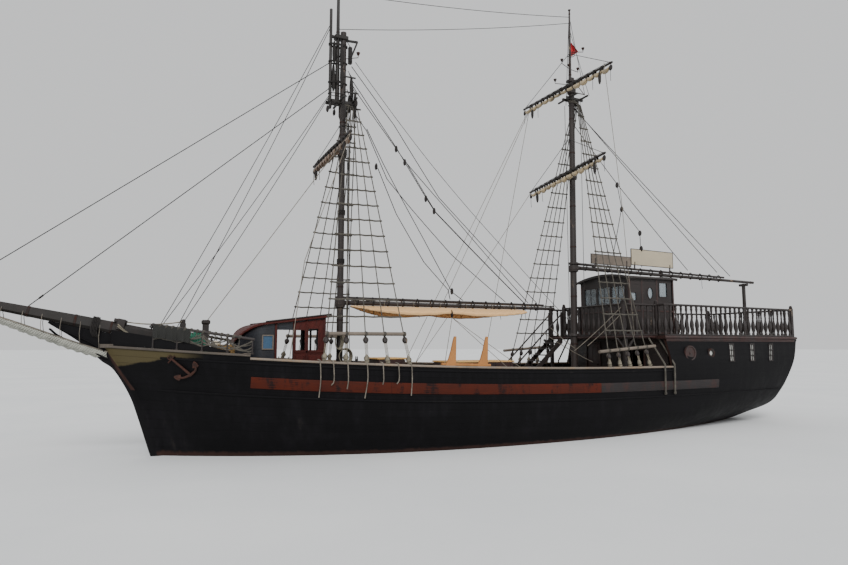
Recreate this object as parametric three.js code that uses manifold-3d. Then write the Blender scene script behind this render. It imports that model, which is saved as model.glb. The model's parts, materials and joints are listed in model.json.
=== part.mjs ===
// Two-masted wooden excursion ship: decked hull, deckhouse, raised quarterdeck with a helm
// shelter, gaff booms and square yards. Millimetres, +X to the bow, +Y to port, +Z up, with
// the origin on the centreline at the waterline, amidships.
import * as THREE from 'three';
import { mergeVertices } from 'three/addons/utils/BufferGeometryUtils.js';
import Module from 'manifold-3d';

const wasm = await Module();
wasm.setup();

// Driving dimensions of the hull
const MIDSHIP = 1000;
const DECK = 1200;
const BULWARK_TOP = 2140;
const FORECASTLE_TOP = 2240;
const FORECASTLE_DECK = 1950;
const QUARTERDECK = 3200;
const QUARTERDECK_THICK = 100;
const PLANK = 90;
const CAP_STEPS = 22;
const CAP_THICK = 60;
const MOULDING = 30;
const QUARTERDECK_FRONT = -2900;
const PORCH_HALF = 2080;
const SHEER_START = -2900;
const SHEER_RATE = 2.5e-6;
const CASTLE_FRONT = -4300;
const FORECASTLE_AFT = 9450;
const BULWARK_STEP = 9150;
const STEM_HALF = 80;
const STEM_PLATE_HALF = 75;

// Gaps: between pieces that touch, under what stands on a sheered deck, round a turning
// collar, and in a bearing
const TOUCH = 0.3;
const SEAT = 1;
const RUN = 8;
const BEARING_GAP = 0.8;
const BEARING_SIDES = 24;

// Past every face of the ship, for cutters that run right through
const FAR = 20000;
const SIDES = { port: 1, starboard: -1 };

// Hull form, one row for each level: height on the midship section, where the level meets
// the stem and the stern, half-breadth amidships, how full its bow and stern curves are,
// and half-breadth at the stern.
// height, stem, stern, half, bowPower, sternPower, sternHalf
const LEVELS = [
  [-1100, 9600, -8900, 120, 2.0, 2.0, 100],
  [-950, 10150, -9000, 950, 1.6, 1.6, 100],
  [-600, 10700, -9150, 1950, 1.9, 1.7, 105],
  [-200, 11000, -9400, 2450, 2.2, 1.8, 120],
  [200, 11250, -10250, 2680, 2.5, 2.2, 550],
  [600, 11450, -10750, 2790, 2.7, 2.4, 1250],
  [1200, 11850, -10950, 2860, 3.0, 2.5, 1750],
  [1750, 12250, -11150, 2870, 3.1, 2.5, 1950],
  [2260, 12620, -11350, 2840, 3.2, 2.5, 2050],
  [3150, 13200, -11620, 2560, 3.2, 2.2, 2020],
];
const LEVEL_COLUMNS = 6;
const HULL_FOOT = LEVELS[0][0];
const HULL_COLUMNS = 36;
const HULL_STEPS = 9;

// Masts: the place of each at the waterline level and its lean aft
const FORE_MAST_X = 6220;
const MAIN_MAST_X = -2440;
const MAIN_RAKE = 0.0158;
const FORE_MAST_RADIUS = 100;
const MAIN_MAST_RADIUS = 125;
const FORE_TOPMAST_OFFSET = 185;
const FORE_HEAD = 12650;
const FORE_TRUCK = 15900;
const MAIN_HEAD = 12600;
const MAIN_TRUCK = 15500;
const FORE_HOUNDS = 10400;
const MAIN_HOUNDS = 12000;
const MAST_SIDES = 12;
const FORE_TAPER = 12;
const MAIN_TAPER = 24;
const TOPMAST_RADII = [68, 34];
const POLE_RADII = [58, 30];
const POLE_OFFSET = 60;
const SPARE_SPAR = { offset: 230, radius: 36, top: 13350 };

// Trestle-trees run fore and aft on both sides of a masthead, and crosstrees lie across them
const TRESTLE = { near: 84, far: 150, aft: 420, fore: 330 };
const CROSSTREE_HALF = 560;
const CROSSTREE_WIDTH = 60;

// Booms, gaffs and yards
const FORE_BOOM_Z = 4150;
const FORE_BOOM_LENGTH = 7850;
const FORE_GAFF_LENGTH = 7400;
const MAIN_BOOM_Z = 5670;
const MAIN_BOOM_LENGTH = 9450;
const MAIN_GAFF_LENGTH = 7700;
const BOOM_RADIUS = 70;
const BOOM_TAPER = 18;
const GAFF_RADIUS = 52;
const YARD_OFFSET = 360;
const YARD_RADIUS = 60;
const SAIL_RADIUS = 105;
const COLLAR_HEIGHT = 150;
const COLLAR_WALL = 45;
const SADDLE_HEIGHT = 90;
const GOOSENECK = 10;

// Bowsprit: its heel, its rise and its length
const SPRIT_HEEL = new THREE.Vector3(10750, 0, 3015);
const SPRIT_ANGLE = Math.atan(0.197);
const SPRIT_LENGTH = 5450;
const SPRIT_HALF_HEEL = 150;
const SPRIT_HALF_TIP = 88;
const SPRIT_TAPER_START = 2300;
const SPRIT_CHAMFER = 0.3;

const FINISHES = {
  hullPaint: { color: 0x1b1a20, roughness: 0.7 },
  keelPaint: { color: 0x3a1d18, roughness: 0.8 },
  paleWood: { color: 0xb9ab96, roughness: 0.85 },
  deckWood: { color: 0x8b7458, roughness: 0.85 },
  redWood: { color: 0x6b3527, roughness: 0.7 },
  darkWood: { color: 0x3a2c25, roughness: 0.75 },
  spar: { color: 0x3d2f28, roughness: 0.7 },
  rope: { color: 0x5d544b, roughness: 0.95 },
  canvas: { color: 0xd9cbb2, roughness: 0.9 },
  awning: { color: 0xd9a76a, roughness: 0.9 },
  sign: { color: 0xe6dfd0, roughness: 0.6 },
  bronze: { color: 0x9a7b45, roughness: 0.4, metalness: 0.9 },
  iron: { color: 0x4a3a34, roughness: 0.7, metalness: 0.5 },
  flagRed: { color: 0xb3242c, roughness: 0.9 },
};

const boat = new THREE.Group();
const fittings = {};
for (const [name, values] of Object.entries(FINISHES)) {
  fittings[name] = new THREE.MeshStandardMaterial(values);
}

// Closed solids and their joins
function solid(geometry) {
  const bare = geometry.clone();
  bare.deleteAttribute('normal');
  bare.deleteAttribute('uv');
  const merged = mergeVertices(bare, 1e-4);
  const position = merged.getAttribute('position');
  const mesh = new wasm.Mesh({
    numProp: 3,
    vertProperties: new Float32Array(position.array),
    triVerts: new Uint32Array(merged.index.array),
  });
  return new wasm.Manifold(mesh);
}

function surface(body) {
  const mesh = body.getMesh();
  const geometry = new THREE.BufferGeometry();
  geometry.setAttribute('position', new THREE.BufferAttribute(mesh.vertProperties, 3));
  geometry.setIndex(new THREE.BufferAttribute(mesh.triVerts, 1));
  return geometry;
}

function join(bodies) {
  return bodies.reduce((whole, body) => whole.add(body));
}

function cut(body, cutters) {
  return cutters.reduce((rest, cutter) => rest.subtract(cutter), body);
}

function put(name, body, finish, parent = boat) {
  const mesh = new THREE.Mesh(surface(body), fittings[finish]);
  mesh.name = name;
  parent.add(mesh);
  return mesh;
}

// A box between two corners
function block(x0, x1, y0, y1, z0, z1) {
  const geometry = new THREE.BoxGeometry(x1 - x0, y1 - y0, z1 - z0);
  geometry.translate((x0 + x1) / 2, (y0 + y1) / 2, (z0 + z1) / 2);
  return solid(geometry);
}

// A round or tapered bar from one point to another
function bar(from, to, radius, endRadius = radius, sides = 6) {
  const start = new THREE.Vector3(...from);
  const run = new THREE.Vector3(...to).sub(start);
  const geometry = new THREE.CylinderGeometry(endRadius, radius, run.length(), sides);
  geometry.translate(0, run.length() / 2, 0);
  const turn = new THREE.Quaternion();
  turn.setFromUnitVectors(new THREE.Vector3(0, 1, 0), run.clone().normalize());
  geometry.applyQuaternion(turn);
  geometry.translate(start.x, start.y, start.z);
  return solid(geometry);
}

// A squared beam of one width along Y and one depth, between two points of one lengthwise plane
function beam(from, to, width, depth) {
  const start = new THREE.Vector3(...from);
  const run = new THREE.Vector3(...to).sub(start);
  const geometry = new THREE.BoxGeometry(run.length(), width, depth);
  geometry.translate(run.length() / 2, 0, 0);
  const turn = new THREE.Quaternion();
  turn.setFromUnitVectors(new THREE.Vector3(1, 0, 0), run.clone().normalize());
  geometry.applyQuaternion(turn);
  geometry.translate(start.x, start.y, start.z);
  return solid(geometry);
}

// An upright round post
function post(x, y, z0, z1, radius, sides = MAST_SIDES, topRadius = radius) {
  const geometry = new THREE.CylinderGeometry(topRadius, radius, z1 - z0, sides);
  geometry.rotateX(Math.PI / 2);
  geometry.translate(x, y, (z0 + z1) / 2);
  return solid(geometry);
}

// A plate with its outline in the XZ plane, or the XY plane, and a thickness along the third axis
function plateXZ(outline, y0, y1) {
  const shape = new THREE.Shape(outline.map(([x, z]) => new THREE.Vector2(x, z)));
  const geometry = new THREE.ExtrudeGeometry(shape, { depth: y1 - y0, bevelEnabled: false });
  geometry.rotateX(Math.PI / 2);
  geometry.translate(0, y1, 0);
  return solid(geometry);
}

// A plate with its outline in the YZ plane and a thickness along X
function plateYZ(outline, x0, x1) {
  const shape = new THREE.Shape(outline.map(([y, z]) => new THREE.Vector2(y, z)));
  const geometry = new THREE.ExtrudeGeometry(shape, { depth: x1 - x0, bevelEnabled: false });
  const axes = [new THREE.Vector3(0, 1, 0), new THREE.Vector3(0, 0, 1), new THREE.Vector3(1, 0, 0)];
  geometry.applyMatrix4(new THREE.Matrix4().makeBasis(...axes));
  geometry.translate(x0, 0, 0);
  return solid(geometry);
}

function plateXY(outline, z0, z1) {
  const shape = new THREE.Shape(outline.map(([x, y]) => new THREE.Vector2(x, y)));
  const geometry = new THREE.ExtrudeGeometry(shape, { depth: z1 - z0, bevelEnabled: false });
  geometry.translate(0, 0, z0);
  return solid(geometry);
}

// Skin over rings of equal point counts, with flat fans closing both ends
function loft(rings) {
  const count = rings[0].length;
  const positions = rings.flat(2);
  const index = [];
  for (let i = 0; i + 1 < rings.length; i++) {
    for (let j = 0; j < count; j++) {
      const a = i * count + j;
      const b = i * count + (j + 1) % count;
      index.push(a, b, b + count, a, b + count, a + count);
    }
  }
  const last = (rings.length - 1) * count;
  for (let j = 1; j + 1 < count; j++) {
    index.push(0, j + 1, j, last, last + j, last + j + 1);
  }
  const geometry = new THREE.BufferGeometry();
  geometry.setAttribute('position', new THREE.Float32BufferAttribute(positions, 3));
  geometry.setIndex(index);
  return outward(geometry);
}

// Turns every face over where a closed mesh comes out inside out
function outward(geometry) {
  const position = geometry.getAttribute('position');
  const index = geometry.index.array;
  const [a, b, c] = [new THREE.Vector3(), new THREE.Vector3(), new THREE.Vector3()];
  let volume = 0;
  for (let i = 0; i < index.length; i += 3) {
    a.fromBufferAttribute(position, index[i]);
    b.fromBufferAttribute(position, index[i + 1]);
    c.fromBufferAttribute(position, index[i + 2]);
    volume += a.dot(b.cross(c));
  }
  if (volume < 0) {
    for (let i = 0; i < index.length; i += 3) {
      [index[i + 1], index[i + 2]] = [index[i + 2], index[i + 1]];
    }
  }
  return solid(geometry);
}

// Keeps the biggest piece where a cut leaves loose slivers
function largest(body) {
  const pieces = body.decompose();
  pieces.sort((a, b) => b.volume() - a.volume());
  return pieces[0];
}

// Hull form
const heights = new Float32Array(LEVELS.map((row) => row[0]));
const levelValues = new Float32Array(LEVELS.flatMap((row) => row.slice(1)));
const levelCurve = new THREE.LinearInterpolant(heights, levelValues, LEVEL_COLUMNS);

function hullLevel(height) {
  const [stem, stern, half, bowPower, sternPower, sternHalf] = levelCurve.evaluate(height);
  return { stem, stern, half, bowPower, sternPower, sternHalf };
}

function sheer(x, height = DECK) {
  const share = Math.min(1, Math.max(0, height / DECK));
  return share * SHEER_RATE * Math.max(0, x - SHEER_START) ** 2;
}

function halfBreadth(x, height) {
  const level = hullLevel(height);
  if (x >= MIDSHIP) {
    const share = Math.min(1, (x - MIDSHIP) / (level.stem - MIDSHIP));
    return Math.max(STEM_HALF, level.half * (1 - share ** level.bowPower));
  }
  const share = Math.min(1, (MIDSHIP - x) / (MIDSHIP - level.stern));
  return level.sternHalf + (level.half - level.sternHalf) * (1 - share ** level.sternPower);
}

// The body between two levels, drawn in by an inset all round, and by more at the sharp stem
const STEM_INSET_SHARE = 2.5;
const INNER_STEM_HALF = 12;

function hullBody(low, high, inset = 0, steps = 4, columns = HULL_COLUMNS) {
  const port = [];
  for (let j = 0; j <= steps; j++) {
    const height = low + (high - low) * j / steps;
    const level = hullLevel(height);
    const stem = level.stem - STEM_INSET_SHARE * inset;
    const stern = level.stern + inset;
    const row = [];
    for (let i = 0; i <= columns; i++) {
      const share = -Math.cos(Math.PI * i / columns);
      const x = share > 0 ? MIDSHIP + share * (stem - MIDSHIP) : MIDSHIP + share * (MIDSHIP - stern);
      const breadth = Math.max(halfBreadth(x, height) - inset, inset > 0 ? INNER_STEM_HALF : STEM_HALF);
      row.push([x, breadth, height + sheer(x, height)]);
    }
    port.push(row);
  }
  const width = columns + 1;
  const positions = [];
  for (const side of [1, -1]) {
    for (const row of port) {
      for (const [x, y, z] of row) positions.push(x, side * y, z);
    }
  }
  const offset = (steps + 1) * width;
  const index = [];
  const quad = (a, b, c, d) => index.push(a, b, c, a, c, d);
  for (let j = 0; j < steps; j++) {
    for (let i = 0; i < columns; i++) {
      const a = j * width + i;
      quad(a, a + width, a + width + 1, a + 1);
      quad(offset + a, offset + a + 1, offset + a + width + 1, offset + a + width);
    }
    const stern = j * width;
    quad(stern, offset + stern, offset + stern + width, stern + width);
    const stem = stern + columns;
    quad(stem, stem + width, offset + stem + width, offset + stem);
  }
  for (let i = 0; i < columns; i++) {
    quad(i, i + 1, offset + i + 1, offset + i);
    const a = steps * width + i;
    quad(a, offset + a, offset + a + 1, a + 1);
  }
  const geometry = new THREE.BufferGeometry();
  geometry.setAttribute('position', new THREE.Float32BufferAttribute(positions, 3));
  geometry.setIndex(index);
  return outward(geometry);
}

// A strip along one side of the hull: its section is a rectangle between two heights and two
// distances in from the hull's face
function sideStrip(side, from, to, low, high, outer, inner, steps = 16, level = low) {
  const rings = [];
  for (let i = 0; i <= steps; i++) {
    const x = from + (to - from) * i / steps;
    const half = halfBreadth(x, level);
    const lift = sheer(x);
    rings.push([
      [x, side * (half - inner), low + lift],
      [x, side * (half - outer), low + lift],
      [x, side * (half - outer), high + lift],
      [x, side * (half - inner), high + lift],
    ]);
  }
  return loft(rings);
}

// Rudder and propeller sizes, which the hull and keel leave room for
const RUDDER_X = -9950;
const STOCK_RADIUS = 42;
const HEEL_PIN_RADIUS = 24;
const RUDDER_TOP = -70;
const RUDDER_FOOT = -1350;
const SHAFT_Z = -760;
const SHAFT_RADIUS = 35;
const PROPELLER_X = -9560;
const PROPELLER_RADIUS = 400;
const KEEL_FOOT = -1500;
const SKEG_TOP = -1370;

// Hull with its rudder trunk and shaft tube
const STOCK_TOP = 650;
const TRUNK_GAP = 14;
const TRUNK_LOW = -600;
const SHAFT_HEAD_X = -8760;
const trunk = post(RUDDER_X, 0, TRUNK_LOW, STOCK_TOP + 50, STOCK_RADIUS + TRUNK_GAP);
const tubeRadius = SHAFT_RADIUS + BEARING_GAP;
const shaftTube = bar([SHAFT_HEAD_X + 60, 0, SHAFT_Z], [PROPELLER_X - 140, 0, SHAFT_Z],
  tubeRadius, tubeRadius, BEARING_SIDES);
put('hull', cut(hullBody(HULL_FOOT, DECK, 0, HULL_STEPS), [trunk, shaftTube]), 'hullPaint');

// Keel with the heel that carries the rudder
const KEEL_HALF = 95;
const SKEG_AFT = RUDDER_X - 170;
const keelOutline = [
  [9550, HULL_FOOT - TOUCH], [9100, KEEL_FOOT], [SKEG_AFT, KEEL_FOOT], [SKEG_AFT, SKEG_TOP],
  [-9200, SKEG_TOP], [-8950, HULL_FOOT - TOUCH],
];
const heelHole = post(RUDDER_X, 0, KEEL_FOOT + 40, SKEG_TOP + 50, HEEL_PIN_RADIUS + BEARING_GAP, BEARING_SIDES);
put('keel', cut(plateXZ(keelOutline, -KEEL_HALF, KEEL_HALF), [heelHole]), 'keelPaint');

// Bowsprit, in its own leaning frame
const spritTurn = new THREE.Quaternion().setFromAxisAngle(new THREE.Vector3(0, 1, 0), -SPRIT_ANGLE);

function alongSprit(distance, drop = 0) {
  return new THREE.Vector3(distance, 0, -drop).applyQuaternion(spritTurn).add(SPRIT_HEEL);
}

function spritSolid(growth) {
  const sections = [
    [0, SPRIT_HALF_HEEL], [SPRIT_TAPER_START, SPRIT_HALF_HEEL], [SPRIT_LENGTH, SPRIT_HALF_TIP]];
  const rings = sections.map(([distance, half]) => {
    const h = half + growth;
    const chamfer = h * SPRIT_CHAMFER;
    const outline = [
      [-h, chamfer - h], [chamfer - h, -h], [h - chamfer, -h], [h, chamfer - h],
      [h, h - chamfer], [h - chamfer, h], [chamfer - h, h], [-h, h - chamfer],
    ];
    const reach = distance + (distance > 0 ? growth : -growth);
    return outline.map(([y, z]) => {
      const point = alongSprit(reach, -z);
      return [point.x, y, point.z];
    });
  });
  return loft(rings);
}
put('bowsprit', spritSolid(0), 'spar');

// Stem and beakhead knee under the bowsprit
const stemOutline = [
  [9600, -1080], [10500, -1150], [11080, -500], [11300, 0], [11640, 1000], [11870, 1600],
  [12250, 2230], [12560, 2480], [13080, 2960], [13780, 3420], [13760, 3900], [11700, 3900],
  [11700, 2900], [11300, 1700], [10900, 0], [10500, -800],
];
const stemNeighbours = [hullBody(HULL_FOOT - TOUCH, DECK + TOUCH, -TOUCH, HULL_STEPS), spritSolid(TOUCH)];
const aboveDeck = block(FORECASTLE_AFT, FAR, -400, 400, DECK - 200, FAR);
const stemBody = cut(plateXZ(stemOutline, -STEM_PLATE_HALF, STEM_PLATE_HALF), stemNeighbours);

// The inside of the planking above the deck, and the same with room to sit inside it
const innerForm = hullBody(DECK - 200, QUARTERDECK + 300, PLANK, 5);
const innerSeat = hullBody(DECK - 200, QUARTERDECK + 300, PLANK + TOUCH, 5);

// Bulwarks, forecastle and cap rails
const CAP_FORE = 12480;
const CAP_PROUD = 40;
const CAP_SUNK = 20;
const NOSE = { aft: 12300, fore: 12640, half: 190, low: FORECASTLE_TOP + 560, high: FORECASTLE_TOP + 660 };

// Cap and nose chock of the forecastle, grown all round where they are used as a cutter
function forecastleCaps(growth) {
  return Object.values(SIDES).map((side) => sideStrip(
    side, BULWARK_STEP, CAP_FORE + growth, FORECASTLE_TOP - CAP_SUNK - growth,
    FORECASTLE_TOP - CAP_SUNK + CAP_THICK + growth, -CAP_PROUD - growth, PLANK + 30 + growth, 12));
}
function forecastleNose(growth) {
  return block(NOSE.aft - growth, NOSE.fore + growth, -NOSE.half, NOSE.half, NOSE.low - growth, NOSE.high + growth);
}
const forecastleShell = cut(
  hullBody(DECK + TOUCH, FORECASTLE_TOP, 0, 3),
  [innerForm, block(-FAR, BULWARK_STEP, -FAR, FAR, 0, FAR)],
);
const forecastleBulwark = join([forecastleShell, ...forecastleCaps(0), forecastleNose(0)]);
const sprit = spritSolid(TOUCH);
put('forecastle_bulwark', cut(forecastleBulwark, [sprit]), 'hullPaint');
const outerPlanking = hullBody(DECK, FORECASTLE_TOP + 1, -TOUCH, 3);
const outerBow = join([outerPlanking.intersect(aboveDeck), forecastleNose(SEAT), ...forecastleCaps(SEAT)]);
put('stem', largest(cut(stemBody, [outerBow])), 'hullPaint');

const forecastleDeck = hullBody(DECK + TOUCH, FORECASTLE_DECK, -MOULDING, 1).intersect(innerSeat);
put('forecastle_deck', forecastleDeck.intersect(block(FORECASTLE_AFT, FAR, -FAR, FAR, 0, FAR)), 'deckWood');

const bulwarkRing = cut(hullBody(DECK + TOUCH, BULWARK_TOP, 0, 2), [innerForm]);
for (const [name, side] of Object.entries(SIDES)) {
  const wall = bulwarkRing.intersect(block(CASTLE_FRONT + TOUCH, BULWARK_STEP - TOUCH,
    side > 0 ? STEM_HALF : -FAR, side > 0 ? FAR : -STEM_HALF, 0, FAR));
  put(`bulwark_${name}`, wall, 'hullPaint');
  const cap = sideStrip(side, CASTLE_FRONT + TOUCH, BULWARK_STEP - TOUCH, BULWARK_TOP + SEAT,
    BULWARK_TOP + CAP_THICK, -45, PLANK + 45, CAP_STEPS);
  put(`cap_rail_${name}`, cap, 'paleWood');
}

// Stern castle: sides and transom in one shell, with slanted windows and a porthole
const CASTLE_WINDOWS = [-7700, -8780, -9800];
const WINDOW_WIDTH = 260;
const WINDOW_LOW = 2290;
const WINDOW_HIGH = 2900;
const WINDOW_SLANT = 170;
const PORTHOLE_X = -6620;
const PORTHOLE_Z = 2610;
const PORTHOLE_RADIUS = 150;
const TRANSOM_WINDOW_HALF = 190;
const TRANSOM_WINDOWS = [-1150, -400, 400, 1150];
const TRANSOM_CUT = -11000;
const castleTop = QUARTERDECK - QUARTERDECK_THICK - TOUCH;
const castleShell = cut(hullBody(DECK + TOUCH, castleTop, 0, 4), [
  innerForm,
  block(CASTLE_FRONT, FAR, -FAR, FAR, 0, FAR),
]);
const castleOpenings = CASTLE_WINDOWS.map((x) => plateXZ([
  [x + WINDOW_WIDTH / 2 + WINDOW_SLANT / 2, WINDOW_LOW],
  [x - WINDOW_WIDTH / 2 + WINDOW_SLANT / 2, WINDOW_LOW],
  [x - WINDOW_WIDTH / 2 - WINDOW_SLANT / 2, WINDOW_HIGH],
  [x + WINDOW_WIDTH / 2 - WINDOW_SLANT / 2, WINDOW_HIGH],
], -FAR, FAR));
castleOpenings.push(bar([PORTHOLE_X, -FAR, PORTHOLE_Z], [PORTHOLE_X, FAR, PORTHOLE_Z],
  PORTHOLE_RADIUS, PORTHOLE_RADIUS, 12));
for (const y of TRANSOM_WINDOWS) {
  castleOpenings.push(block(
    -FAR, TRANSOM_CUT, y - TRANSOM_WINDOW_HALF, y + TRANSOM_WINDOW_HALF, WINDOW_LOW, WINDOW_HIGH));
}
put('stern_castle', cut(castleShell, castleOpenings), 'hullPaint');

// Bulkhead across the front of the cabin, with its doorway
const BULKHEAD_X = -4380;
const BULKHEAD_THICK = 70;
const DOOR_Y = -1250;
const DOOR_WIDTH = 720;
const DOOR_HEIGHT = 1750;
const DOOR_SILL = 60;
const THROUGH_BULKHEAD = 500;
const BULKHEAD_WINDOW = { starboard: 500, port: 1400, low: DECK + 900, high: DECK + 1500 };
const bulkheadBody = hullBody(DECK + TOUCH, castleTop, 0, 1).intersect(innerSeat).intersect(
  block(BULKHEAD_X - BULKHEAD_THICK, BULKHEAD_X, -FAR, FAR, 0, FAR));
const doorway = block(BULKHEAD_X - THROUGH_BULKHEAD, BULKHEAD_X + THROUGH_BULKHEAD, DOOR_Y - DOOR_WIDTH / 2,
  DOOR_Y + DOOR_WIDTH / 2, DECK + DOOR_SILL, DECK + DOOR_HEIGHT);
const bulkheadWindow = block(BULKHEAD_X - THROUGH_BULKHEAD, BULKHEAD_X + THROUGH_BULKHEAD,
  BULKHEAD_WINDOW.starboard, BULKHEAD_WINDOW.port, BULKHEAD_WINDOW.low, BULKHEAD_WINDOW.high);
put('cabin_bulkhead', cut(bulkheadBody, [doorway, bulkheadWindow]), 'hullPaint');
const DOOR_GAP = 6;
const DOOR_FACE = 8;
const DOOR_THICK = 44;
const HINGE_RADIUS = 12;
const HINGE_SET = 4;
const KNOB = { y: DOOR_Y + 280, z: DECK + 950, radius: 14, reach: 60 };
const doorLow = DECK + DOOR_SILL + DOOR_GAP;
const doorHigh = DECK + DOOR_HEIGHT - DOOR_GAP;
put('cabin_door', join([
  block(BULKHEAD_X - DOOR_FACE - DOOR_THICK, BULKHEAD_X - DOOR_FACE, DOOR_Y - DOOR_WIDTH / 2 + DOOR_GAP,
    DOOR_Y + DOOR_WIDTH / 2 - DOOR_GAP, doorLow, doorHigh),
  post(BULKHEAD_X - HINGE_SET, DOOR_Y - DOOR_WIDTH / 2 + HINGE_RADIUS + 2 * TOUCH, doorLow, doorHigh, HINGE_RADIUS),
  bar([BULKHEAD_X - 20, KNOB.y, KNOB.z], [BULKHEAD_X + KNOB.reach, KNOB.y, KNOB.z], KNOB.radius),
]), 'redWood');

// Quarterdeck slab whose edge stands out as the moulding, carried in front by two posts
const MAST_HOLE_GAP = 60;
const mastHole = post(
  MAIN_MAST_X, 0, QUARTERDECK - 700, QUARTERDECK + 400, MAIN_MAST_RADIUS + MAST_HOLE_GAP, 16);
const quarterdeckSlab = hullBody(QUARTERDECK - QUARTERDECK_THICK, QUARTERDECK, -MOULDING, 1);
const PORCH_POST_HALF = 60;
const PORCH_POST_X = QUARTERDECK_FRONT - 100;
const PORCH_POST_Y = PORCH_HALF - 70;
const porchPosts = Object.values(SIDES).map((side) => block(
  PORCH_POST_X - PORCH_POST_HALF, PORCH_POST_X + PORCH_POST_HALF,
  side * PORCH_POST_Y - PORCH_POST_HALF, side * PORCH_POST_Y + PORCH_POST_HALF,
  DECK + SEAT + TOUCH, QUARTERDECK - 20));
put('quarterdeck', cut(join([
  quarterdeckSlab.intersect(block(-FAR, CASTLE_FRONT + 40, -FAR, FAR, 0, FAR)),
  block(CASTLE_FRONT - 100, QUARTERDECK_FRONT, -PORCH_HALF, PORCH_HALF, QUARTERDECK - QUARTERDECK_THICK, QUARTERDECK),
  ...porchPosts,
]), [mastHole]), 'redWood');

// Rail of the quarterdeck: sill, turned balusters and top rail round three sides, with the
// front broken by the head of the stair
const RAIL_HEIGHT = 1080;
const RAIL_THICK = 65;
const SILL_THICK = 55;
const RAIL_INSET = 35;
const RAIL_WIDTH = 110;
const RAIL_JOG_X = CASTLE_FRONT - 70;
const BALUSTER_PITCH = 500;
const BALUSTER_RADIUS = 48;
const BALUSTER_TENON = 5;
const AFT_BALUSTERS = [-1560, -1040, -520, 0, 520, 1040, 1560];
const FRONT_BALUSTERS = [-1105, -560, 0, 500, 1000, 1500];
const STAIR_Y = -1600;
const STAIR_WIDTH = 760;
const railAft = hullLevel(QUARTERDECK).stern + 60;

function railHalf(x) {
  const full = halfBreadth(x, QUARTERDECK) - RAIL_INSET;
  return x > RAIL_JOG_X + 10 ? PORCH_HALF - RAIL_INSET : full;
}

function baluster(x, y) {
  const top = QUARTERDECK + RAIL_HEIGHT - RAIL_THICK + BALUSTER_TENON;
  return post(x, y, QUARTERDECK + SILL_THICK - BALUSTER_TENON, top, BALUSTER_RADIUS, 6);
}
const RAIL_COURSES = [
  [QUARTERDECK + TOUCH, QUARTERDECK + SILL_THICK],
  [QUARTERDECK + RAIL_HEIGHT - RAIL_THICK, QUARTERDECK + RAIL_HEIGHT],
];

// One course of a side's rail: along the castle, in by a jog, and along the porch
function sideCourse(side, low, high) {
  const rings = [];
  const steps = 8;
  const aftX = railAft + RAIL_WIDTH + TOUCH;
  for (let i = 0; i <= steps; i++) {
    const x = RAIL_JOG_X + (aftX - RAIL_JOG_X) * i / steps;
    const y = side * railHalf(x);
    rings.push([[x, y - side * RAIL_WIDTH, low], [x, y, low], [x, y, high], [x, y - side * RAIL_WIDTH, high]]);
  }
  const porch = side * railHalf(QUARTERDECK_FRONT);
  const inner = porch - side * RAIL_WIDTH;
  const outer = side * railHalf(RAIL_JOG_X);
  return join([
    loft(rings),
    block(RAIL_JOG_X - RAIL_WIDTH, QUARTERDECK_FRONT, Math.min(inner, porch), Math.max(inner, porch), low, high),
    block(RAIL_JOG_X - RAIL_WIDTH, RAIL_JOG_X, Math.min(inner, outer), Math.max(inner, outer), low, high),
  ]);
}
const balusterCount = Math.round((QUARTERDECK_FRONT - railAft) / BALUSTER_PITCH);
for (const [name, side] of Object.entries(SIDES)) {
  const run = RAIL_COURSES.map(([low, high]) => sideCourse(side, low, high));
  for (let i = 0; i < balusterCount; i++) {
    const x = QUARTERDECK_FRONT - RAIL_WIDTH / 2 + (railAft + RAIL_WIDTH - QUARTERDECK_FRONT) * i / balusterCount;
    run.push(baluster(x, side * (railHalf(x) - RAIL_WIDTH / 2)));
  }
  put(`quarterdeck_rail_${name}`, join(run), 'redWood');
}
const aftHalf = railHalf(railAft);
const aftRail = RAIL_COURSES.map(([low, high]) => block(railAft, railAft + RAIL_WIDTH, -aftHalf, aftHalf, low, high));
for (const y of [RAIL_WIDTH / 2 - aftHalf, ...AFT_BALUSTERS, aftHalf - RAIL_WIDTH / 2]) {
  aftRail.push(baluster(railAft + RAIL_WIDTH / 2, y));
}
put('quarterdeck_rail_aft', join(aftRail), 'redWood');
const frontRunHalf = railHalf(QUARTERDECK_FRONT) - RAIL_WIDTH - TOUCH;
const stairGapY = STAIR_Y + STAIR_WIDTH / 2 + 60;
const frontRail = RAIL_COURSES.map(([low, high]) => block(
  QUARTERDECK_FRONT - RAIL_WIDTH, QUARTERDECK_FRONT, stairGapY, frontRunHalf, low, high));
for (const y of FRONT_BALUSTERS) frontRail.push(baluster(QUARTERDECK_FRONT - RAIL_WIDTH / 2, y));
put('quarterdeck_rail_front', join(frontRail), 'redWood');

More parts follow.
